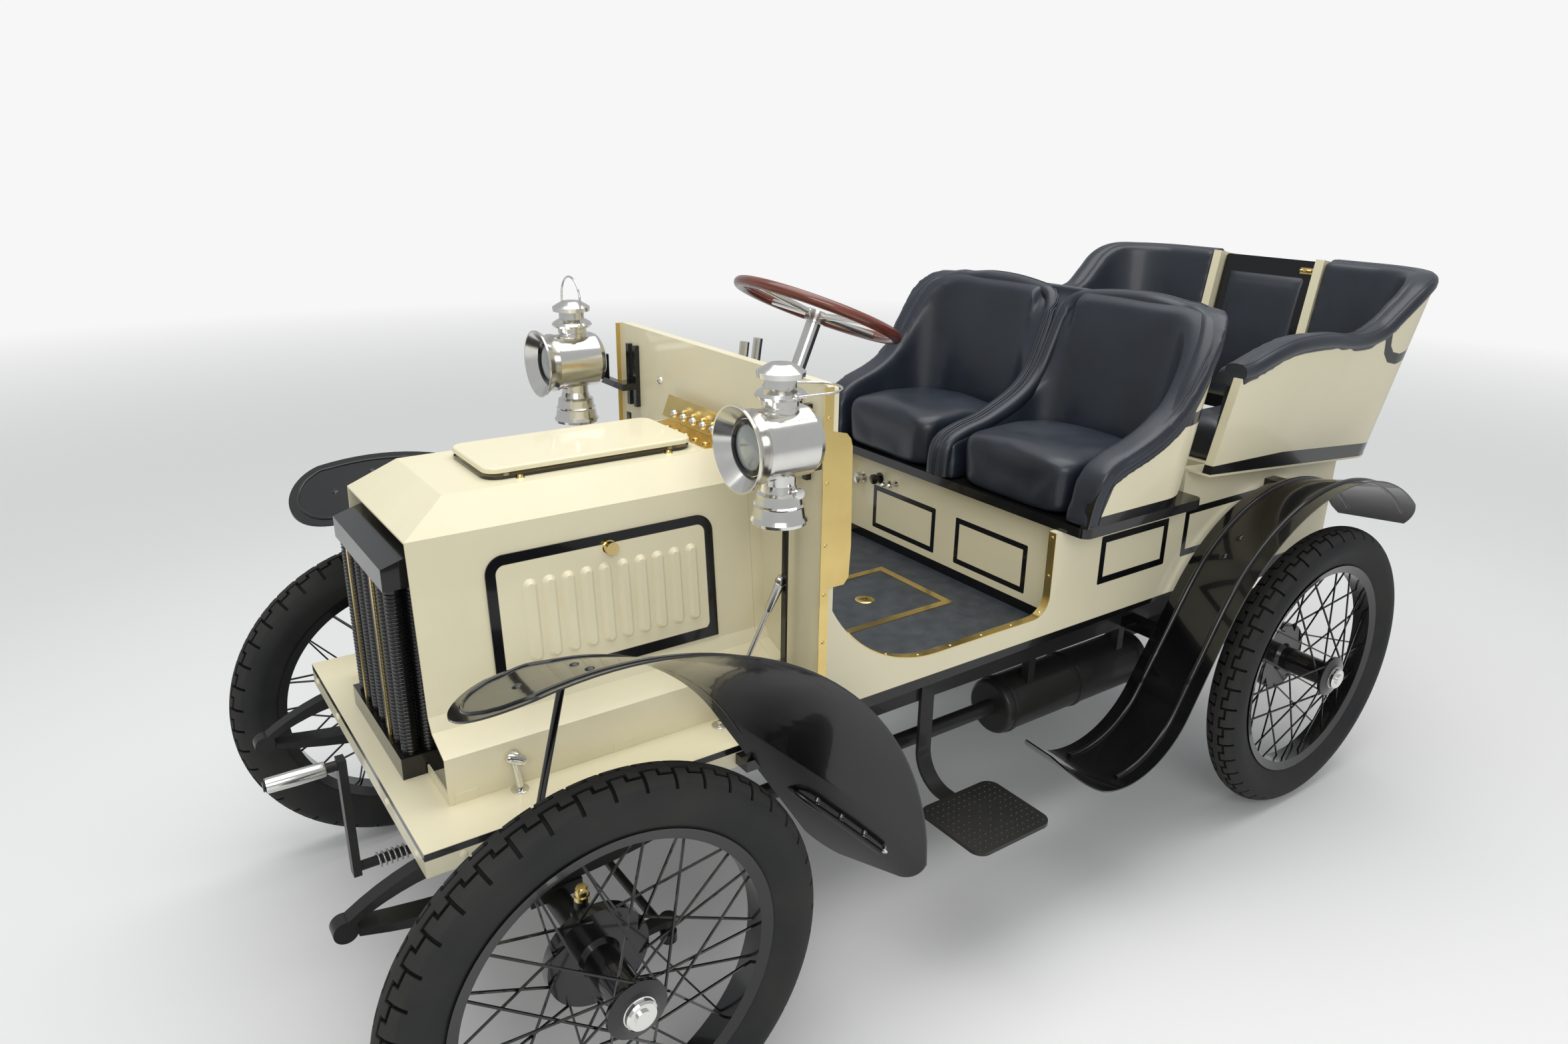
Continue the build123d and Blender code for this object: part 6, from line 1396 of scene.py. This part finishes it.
# %% Oil feed
FEEDS, FEED_GAP, FEED_SHIFT = 5, 0.036, -0.008
PLATE_FACE = aft(0.4705)
BACKPLATE = ((0.145, 1.000), (-0.145, 1.000), (-0.115, 1.048), (0.115, 1.048))
TRAY_Z, TRAY_THICK = 0.9965, 0.0016
TRAY_REAR_HALF, TRAY_FRONT_HALF = 0.118, 0.108
FEED_KNOB_PROFILE = [
    (0, 0), (0.0042, 0), (0.0042, 0.009), (0.0062, 0.0105),
    (0.0084, 0.0155), (0.0084, 0.0185), (0.0062, 0.0235), (0, 0.0255),
]
SIGHT_PROFILE = [(0, 0), (0.0075, 0), (0.0075, 0.0025), (0.005, 0.004), (0, 0.004)]
keep(slab("backplate", [(PLATE_FACE, y, z) for y, z in BACKPLATE], (-0.0015, 0, 0)), "oiler_plate", brass)
feed_ys = [(2 - i) * FEED_GAP + FEED_SHIFT for i in range(FEEDS)]
places = [facing((aft(0.4695), y, 1.0215), (-1, 0, 0)) for y in feed_ys]
keep(repeat(turned("knob", FEED_KNOB_PROFILE, 20), places), "oiler_knobs", nickel, angle=60)
outline = [
    (PLATE_FACE, TRAY_REAR_HALF, TRAY_Z), (PLATE_FACE, -TRAY_REAR_HALF, TRAY_Z),
    (aft(0.418), -TRAY_FRONT_HALF, TRAY_Z), (aft(0.418), TRAY_FRONT_HALF, TRAY_Z),
]
tray = slab("tray", outline, (0, 0, TRAY_THICK))
sight_places = [Matrix.Translation((aft(0.436), y, 0.998)) for y in feed_ys]
sights = repeat(turned("sight", SIGHT_PROFILE, 18), sight_places)
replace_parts(joined("oiler_tray", [tray, sights], brass), "oiler")

# %% [markdown]
# The bonnet lid is a raised plate with round corners and a thin black band under it. The band is a
# strip along the lid's outline, just above its lower edge.

# %% Band under the bonnet lid
LID_CORNER = 0.030
low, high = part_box("bonnet_lid")
line = []
for cx, cy, start in (
    (high.x - LID_CORNER, high.y - LID_CORNER, 0), (low.x + LID_CORNER, high.y - LID_CORNER, 90),
    (low.x + LID_CORNER, low.y + LID_CORNER, 180), (high.x - LID_CORNER, low.y + LID_CORNER, 270),
):
    for degrees in range(0, 91, 15):
        turn = math.radians(start + degrees)
        line.append((cx + LID_CORNER * math.cos(turn), cy + LID_CORNER * math.sin(turn), low.z + 0.003))
ways = []
for i in range(len(line)):
    span = Vector(line[(i + 1) % len(line)]) - Vector(line[i - 1])
    ways.append(Vector((span.y, -span.x, 0)))
keep(strip("lid_band", line, ways, 0.005, 0.0008, cyclic=True), "lid_band", black_paint)

# %% [markdown]
# A grease cap sits on top of each steering knuckle, and it has to ride on that knuckle's body, or
# it would stay behind when the wheels are steered.

# %% Grease caps
CAP_PROFILE = [
    (0, 0.026), (0.008, 0.0255), (0.0105, 0.022), (0.0105, 0.012),
    (0.0125, 0.010), (0.0125, 0.003), (0.008, 0), (0, 0),
]
for name, side in SIDES:
    place, normal = drop(skin_of("knuckle_" + name), (aft(0.0), side * 0.430, 0.60), DOWN)
    if place:
        cap = set_at(turned("cap", CAP_PROFILE, 20), place - Vector((0, 0, 0.001)))
        keep(cap, "grease_cap_" + name, brass, "knuckle_" + name)

# %% [markdown]
# The starting handle has a thin bright tube round its grip, which swells in the middle. It is a
# turned profile with no inside, so the Solidify modifier gives it a wall.

# %% Grip of the starting handle
GRIP_PROFILE = [(0.0125, 0), (0.0132, 0.004), (0.0140, 0.046), (0.0132, 0.088), (0.0125, 0.092)]
grip_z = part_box("starting_handle")[1].z - 0.012
grip = set_at(turned("grip", GRIP_PROFILE, 28), facing((aft(-0.266), 0, grip_z), (-1, 0, 0)))
wall = grip.modifiers.new("wall", "SOLIDIFY")
wall.thickness = 0.0006
keep(grip, "crank_grip", nickel, angle=60)

# %% [markdown]
# Three rivets hold each front guard to its stays, and four bolts sit in a slanting row on its rear
# part. A ray finds the blade at each place, and the head is turned to look out from it.

# %% Rivets and bolts of the front guards
RIVETS = ((-0.096, 0.487), (-0.011, 0.530), (-0.007, 0.469))
BOLT_PROFILE = [(0, 0.006), (0.0035, 0.006), (0.0048, 0.0045), (0.0062, 0.004), (0.0062, 0), (0, 0)]
HEAD_SINK = 0.0004
ABOVE = 1.2
guards = skin_of("front_mudguards")
for name, side in SIDES:
    rays = [((aft(x), side * y, ABOVE), DOWN) for x, y in RIVETS]
    rivets = repeat(dome("rivet", 0.0075, 0.0035, 16), seats_on(guards, rays, HEAD_SINK))
    keep(rivets, "guard_rivets_" + name, black_paint, angle=60)
    rays = []
    for share in (0.0, 0.34, 0.68, 1.0):
        start = (aft(0.415 + 0.095 * share) - 0.12, side * (0.455 + 0.075 * share), 0.448 - 0.093 * share)
        rays.append((start, (1, 0, 0)))
    spots = seats_on(guards, rays, HEAD_SINK)
    if spots:
        keep(repeat(turned("bolt", BOLT_PROFILE, 12), spots), "guard_bolts_" + name, nickel, angle=40)

# %% [markdown]
# Each rear guard is stiffened by two ribs that run down its blade, from the tail of the guard to
# its front lip. Rays sent in from outside, towards the axle and from above, give places on the
# blade, and a round bar is laid through them, half sunk in. Two domed bolt heads sit between them.

# %% Ribs of the rear guards
RIB_YS = (0.430, 0.552)
RIB_R = 0.0062
BLADE_HUB_Z = 0.370
FROM_OUTSIDE = 0.9
HEADS = ((1.535, 0.473), (1.600, 0.478))
rear_blade = skin_of("rear_mudguards")
for name, side in SIDES:
    ribs = []
    for y in RIB_YS:
        line = []
        for step in range(16):
            x = REAR_AXLE_X - 0.700 + step * 0.018
            place, normal = drop(rear_blade, (x, side * y, ABOVE), DOWN)
            if place and place.z < 0.8:
                line.append(place)
        hub = Vector((REAR_AXLE_X + 0.002, side * y, BLADE_HUB_Z))
        for degrees in range(178, 30, -6):
            turn = math.radians(degrees)
            way = Vector((math.cos(turn), 0, math.sin(turn)))
            place, normal = drop(rear_blade, hub + way * FROM_OUTSIDE, -way)
            if place and (place - hub).length < 0.55 and (not line or (place - line[-1]).length > 0.012):
                line.append(place)
        line = [line[0]] + [p for p, q in zip(line[1:], line) if (p - q).length < 0.16]
        ribs.append(rod("rib", smooth_line(line, 90), RIB_R))
    for x, y in HEADS:
        hub = Vector((REAR_AXLE_X, side * y, AXLE_Z))
        way = (Vector((aft(x), side * y, 0.66)) - hub).normalized()
        for head_place in seats_on(rear_blade, [(hub + way * FROM_OUTSIDE, -way)], 0.0008):
            ribs.append(set_at(dome("head", 0.0105, 0.006, 20), head_place))
    joined("guard_ribs_" + name, ribs, black_paint, angle=60)

# %% [markdown]
# The silencer is held by three bands, and the steps have studded plates with a diamond pattern in
# the middle: every other stud is left out there. A stud is a low cone of six sides, because there
# are hundreds of them and each has to cost few faces.

# %% Silencer bands
BAND_PROFILE = [(0.0600, -0.008), (0.0640, -0.0065), (0.0650, 0), (0.0640, 0.0065), (0.0600, 0.008)]
places = [facing((aft(x), -0.275, 0.358), (1, 0, 0)) for x in (1.062, 1.270, 1.478)]
keep(repeat(turned("band", BAND_PROFILE, 48, closed=True), places), "silencer_bands", iron_paint, angle=30)

# %% Studded step plates
PLATE_X, PLATE_Y = (aft(0.704), aft(0.900)), (0.416, 0.588)
PLATE_MARGIN = 0.014
STUDS_ALONG, STUDS_ACROSS = 13, 11
PLATE_LOWEST_Z = 0.297
STEP_STUD_PROFILE = [(0, 0.0022), (0.0026, 0.0012), (0.0036, 0), (0, 0)]
step_skin = skin_of("steps")


def spread(ends, margin, share):
    """A place at this share of the way between two ends, less a margin."""
    return ends[0] + margin + (ends[1] - ends[0] - 2 * margin) * share


for name, side in SIDES:
    spots = []
    for i in range(STUDS_ALONG):
        for j in range(STUDS_ACROSS):
            inside = 2 < i < STUDS_ALONG - 3 and 2 < j < STUDS_ACROSS - 3
            if inside and (i + j) % 2:
                continue
            x = spread(PLATE_X, PLATE_MARGIN, i / (STUDS_ALONG - 1))
            y = spread(PLATE_Y, PLATE_MARGIN, j / (STUDS_ACROSS - 1))
            place, normal = drop(step_skin, (x, side * y, 0.40), DOWN)
            if place and place.z > PLATE_LOWEST_Z:
                spots.append(Matrix.Translation(place - Vector((0, 0, 0.0003))))
    keep(repeat(turned("stud", STEP_STUD_PROFILE, 6), spots), "step_studs_" + name, iron_paint, angle=60)

# %% [markdown]
# Dome bolts run round the edge of the front platform, painted with it. The latch of the rear door
# is brass: a plate, a sliding bolt and a knob. It is set on the door's leaning inner face, and it
# rides on the door's body, so it swings with it.

# %% Dome bolts of the front platform
spots = [facing((aft(-0.2068), y, 0.520), (-1, 0, 0)) for y in (-0.318, -0.160, 0.160, 0.318)]
for name, side in SIDES:
    spots += [facing((aft(x), side * 0.3568, 0.520), (0, side, 0)) for x in (-0.15, 0.02, 0.19, 0.36)]
keep(repeat(dome("bolt", 0.0068, 0.0036, 18), spots), "platform_bolts", cream_paint, angle=70)

# %% Latch of the rear door
LATCH_KNOB_PROFILE = [
    (0, 0.016), (0.004, 0.0155), (0.0055, 0.0125), (0.003, 0.009), (0.003, 0.004), (0, 0.004),
]
INSIDE_AFT = 2.0
door_skin = skin_of("tonneau_door")
for seat in seats_on(door_skin, [((aft(INSIDE_AFT), -0.112, 1.214), (1, 0, 0))], 0.0005):
    latch = [
        slab("base", rectangle(0.018, 0.008), (0, 0, 0.002)),
        rod("bolt", [(-0.016, 0, 0.0055), (0.016, 0, 0.0055)], 0.0038),
        turned("knob", LATCH_KNOB_PROFILE, 16),
    ]
    joined("door_latch", [set_at(part, seat) for part in latch], brass, "tonneau_door")

# %% [markdown]
# A coil spring on the shaft of the starting handle holds it out of mesh. A spring is one line that
# climbs while it turns, so its places are worked out and a round bar follows them.

# %% Crank spring
COIL_TURNS, COIL_STEPS = 6, 14
COIL_R, COIL_LONG, COIL_AXIS_Z = 0.0125, 0.055, 0.305
coil = []
for step in range(COIL_TURNS * COIL_STEPS + 1):
    turn = math.tau * step / COIL_STEPS
    along = aft(-0.205 + COIL_LONG * step / (COIL_TURNS * COIL_STEPS))
    coil.append((along, math.cos(turn) * COIL_R, COIL_AXIS_Z + math.sin(turn) * COIL_R))
keep(rod("coil", coil, 0.0021, sides=2), "crank_spring", steel, angle=60)

# %% [markdown]
# The front guards have a bead pressed in a finger's width inside the edge. Rays dropped on the
# blade find that edge first, at the round tip and along both sides, and the bead follows it.


# %% Beads of the front guards
BEAD_INSET, GUARD_BEAD_R = 0.017, 0.0030
SEARCH_STEP = 0.002
GUARD_MIDDLE = 0.485
TIP_AFT, FLANK_AFT, FLANK_PITCH, FLANK_STEPS = -0.090, -0.085, 0.036, 14
BLADE_LOWEST_Z = 0.30


def blade_reach(start, way, low, high):
    """How far from start, along way, the blade still lies below."""
    reach = low
    while reach < high:
        spot = Vector(start) + Vector(way) * (reach + SEARCH_STEP)
        place, normal = drop(guards, (spot.x, spot.y, ABOVE), DOWN)
        if place is None or place.z < BLADE_LOWEST_Z:
            break
        reach += SEARCH_STEP
    return reach


for name, side in SIDES:
    tip_centre = Vector((aft(TIP_AFT), side * GUARD_MIDDLE, 0))
    round_tip, inner_side, outer_side = [], [], []
    for degrees in range(96, 265, 8):
        turn = math.radians(degrees)
        way = Vector((math.cos(turn), math.sin(turn), 0))
        round_tip.append(tip_centre + way * (blade_reach(tip_centre, way, 0.01, 0.16) - BEAD_INSET))
    for step in range(FLANK_STEPS):
        start = Vector((aft(FLANK_AFT + step * FLANK_PITCH), side * GUARD_MIDDLE, 0))
        for found, way in ((outer_side, Vector((0, side, 0))), (inner_side, Vector((0, -side, 0)))):
            reach = blade_reach(start, way, 0.0, 0.15)
            if reach > 0.03:
                found.append(start + way * (reach - BEAD_INSET))
    first, last = (outer_side, inner_side) if side > 0 else (inner_side, outer_side)
    line = []
    for spot in list(reversed(first)) + round_tip + last:
        place, normal = drop(guards, (spot.x, spot.y, ABOVE), DOWN)
        if place:
            line.append(place)
    bead = rod("bead", smooth_line(line, 150), GUARD_BEAD_R, sides=2)
    keep(bead, "guard_bead_" + name, black_paint, angle=60)

# %% [markdown]
# A bent stay comes from the frame, runs behind each front guard and holds its rear part. The
# bonnet sits on a low cream ledge round its skirt. Both are lines on the car, so one is a round bar
# and the other a flat strip.

# %% Stay across the back of each front guard
STAY_LINE = (
    (0.430, 0.322, 0.492), (0.412, 0.360, 0.480), (0.398, 0.405, 0.470),
    (0.402, 0.445, 0.462), (0.452, 0.485, 0.416), (0.513, 0.532, 0.356),
)
for name, side in SIDES:
    path = smooth_line([(aft(x), side * y, z) for x, y, z in STAY_LINE], 40)
    keep(rod("stay", path, 0.0052), "guard_stay_" + name, black_paint, angle=60)

# %% Ledge under the bonnet's skirt
LEDGE_Z, LEDGE_WIDTH, LEDGE_THICK = 0.5515, 0.0185, 0.0030
for name, side in SIDES:
    line = [(aft(-0.1375), side * 0.2578, LEDGE_Z), (aft(0.470), side * 0.2578, LEDGE_Z)]
    long_side = strip("long", line, (0, side, 0), LEDGE_WIDTH, LEDGE_THICK)
    line = [(aft(-0.1345), side * 0.258, LEDGE_Z), (aft(-0.1345), side * 0.155, LEDGE_Z)]
    short_side = strip("short", line, (-1, 0, 0), LEDGE_WIDTH, LEDGE_THICK)
    joined("skirt_seating_" + name, [long_side, short_side], cream_paint)

# %% [markdown]
# The front of the seat box carries two knobs and two small taps, and the dash has one stud. The
# knobs are one turned shape at three sizes, so the profile is written as shares of its radius.

# %% Knobs on the seat box, and the stud on the dash
SEAT_BOX_KNOBS = (
    (0.303, 0.720, 0.016, nickel, "nickel"), (0.237, 0.734, 0.014, black_paint, "black"),
    (0.199, 0.730, 0.007, nickel, "tap_a"), (0.174, 0.735, 0.007, nickel, "tap_b"),
)
for y, z, radius, finish, name in SEAT_BOX_KNOBS:
    shape = [(0, 0), (radius, 0), (radius, 0.003), (radius * 0.55, 0.006), (radius * 0.55, 0.014)]
    shape += [(radius * 0.9, 0.018), (radius * 0.9, 0.024), (radius * 0.5, 0.028), (0, 0.028)]
    knob = set_at(turned("knob", shape, 24), facing((aft(1.1283), y, z), (-1, 0, 0)))
    keep(knob, "seat_box_knob_" + name, finish, angle=50)
stud = set_at(dome("stud", 0.008, 0.006, 18), facing((aft(0.4745), 0.159, 1.067), (-1, 0, 0)))
keep(stud, "dash_stud", nickel, angle=60)

# %% [markdown]
# The rear door is padded on its inner side. The pad is a grid of points laid on the door, raised
# to a soft crown that falls to the surface at its edges, with a shallow seam all round, and closed
# at the back. It rides with the door.

# %% Pad of the rear door
PAD_ACROSS, PAD_UP = 26, 40
PAD_HALF, PAD_LOW_Z, PAD_HIGH_Z = 0.112, 0.850, 1.196
PAD_CROWN, PAD_BACK = 0.013, 0.002
SEAM_AT, SEAM_WIDE, SEAM_DEEP = 0.86, 0.03, 0.0035
low_spot, door_way = drop(door_skin, (aft(INSIDE_AFT), 0.0, PAD_LOW_Z), (1, 0, 0))
high_spot, door_way = drop(door_skin, (aft(INSIDE_AFT), 0.0, PAD_HIGH_Z), (1, 0, 0))
points = []
for j in range(PAD_UP + 1):
    for i in range(PAD_ACROSS + 1):
        u, v = 2 * i / PAD_ACROSS - 1, 2 * j / PAD_UP - 1
        squeeze = 1 - 0.018 * (1 - abs(v)) * abs(u)
        raised = (1 - abs(u) ** 7) * (1 - abs(v) ** 9)
        from_middle = max(abs(u), 1 - (1 - abs(v)) * 1.55)
        seam = math.exp(-((from_middle - SEAM_AT) / SEAM_WIDE) ** 2) * SEAM_DEEP
        spot = low_spot.lerp(high_spot, j / PAD_UP) + Vector((0, u * PAD_HALF * squeeze, 0))
        points.append(spot + door_way * (PAD_CROWN * raised ** 0.6 - seam * raised - 0.001))
row = PAD_ACROSS + 1
faces = [
    (j * row + i, j * row + i + 1, (j + 1) * row + i + 1, (j + 1) * row + i)
    for j in range(PAD_UP) for i in range(PAD_ACROSS)
]
border = list(range(row))
border += [j * row + row - 1 for j in range(1, PAD_UP + 1)]
border += [PAD_UP * row + i for i in range(PAD_ACROSS - 1, -1, -1)]
border += [j * row for j in range(PAD_UP - 1, 0, -1)]
back = len(points)
points += [points[i] - door_way * PAD_BACK for i in border]
for i in range(len(border)):
    k = (i + 1) % len(border)
    faces.append((border[i], border[k], back + k, back + i))
faces.append(tuple(back + i for i in range(len(border))))
pad = keep(clean(mesh_object("pad", points, faces=faces)), "rear_door_pad", leather, "tonneau_door", angle=60)

# %% [markdown]
# Four small brass feet stick out from under the long edges of the bonnet lid.

# %% Feet of the bonnet lid
FOOT_PROFILE = [(0, 0.004), (0.0045, 0.004), (0.0058, 0.0), (0.0078, -0.002), (0, -0.002)]
low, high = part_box("bonnet_lid")
spots = []
for x in (low.x + 0.055, high.x - 0.055):
    for y in (low.y - 0.004, high.y + 0.004):
        spots.append(Matrix.Translation((x, y, low.z + 0.002)))
keep(repeat(turned("foot", FOOT_PROFILE, 16), spots), "lid_feet", brass, angle=60)

# %% [markdown]
# The car stands on a plain pale floor that fades out some way behind it, so that no horizon shows.
# The world is brighter to the camera than to the car: Light Path tells the two kinds of ray apart.
# More light would also whiten the background, but it would wash out the cream as well.

# %% Floor, world and lamps
FLOOR_HALF = 30.0
FADE_FROM, FADE_TO = 3.0, 9.0
studio_floor = mesh_object("studio_floor", rectangle(FLOOR_HALF, FLOOR_HALF), faces=[(0, 1, 2, 3)])
floor_finish = Finish("studio_floor", Roughness=0.7)
floor_finish.set("Base Color", (0.84, 0.84, 0.83, 1.0))
away = (floor_finish.x * floor_finish.x + floor_finish.y * floor_finish.y).square_root()
fade_middle, fade_half = (FADE_FROM + FADE_TO) / 2, (FADE_TO - FADE_FROM) / 2
floor_finish.set("Alpha", away.below(fade_middle, fade_half))
dress(studio_floor, floor_finish)

world = bpy.data.worlds.new("studio")
bpy.context.scene.world = world
world.use_nodes = True
tree = world.node_tree
tree.nodes.clear()
out = tree.nodes.new("ShaderNodeOutputWorld")
light = tree.nodes.new("ShaderNodeBackground")
light.inputs["Color"].default_value = (0.86, 0.88, 0.90, 1.0)
light.inputs["Strength"].default_value = 0.56
paper = tree.nodes.new("ShaderNodeBackground")
paper.inputs["Color"].default_value = (0.93, 0.93, 0.93, 1.0)
rays = tree.nodes.new("ShaderNodeLightPath")
choose = tree.nodes.new("ShaderNodeMixShader")
tree.links.new(rays.outputs["Is Camera Ray"], choose.inputs[0])
tree.links.new(light.outputs[0], choose.inputs[1])
tree.links.new(paper.outputs[0], choose.inputs[2])
tree.links.new(choose.outputs[0], out.inputs[0])


def area_lamp(name, place, target, size, watts):
    data = bpy.data.lights.new(name, "AREA")
    data.shape = "RECTANGLE"
    data.size, data.size_y = size
    data.energy = watts
    lamp = bpy.data.objects.new(name, data)
    bpy.context.scene.collection.objects.link(lamp)
    lamp.location = place
    lamp.rotation_euler = (Vector(target) - Vector(place)).to_track_quat("-Z", "Y").to_euler()


area_lamp("overhead", (0.0, 0.0, 4.2), (0, 0, 0), (5.0, 3.5), 130)
area_lamp("near_side", (-2.5, -4.0, 3.2), (0, 0, 0.6), (3.0, 2.0), 70)
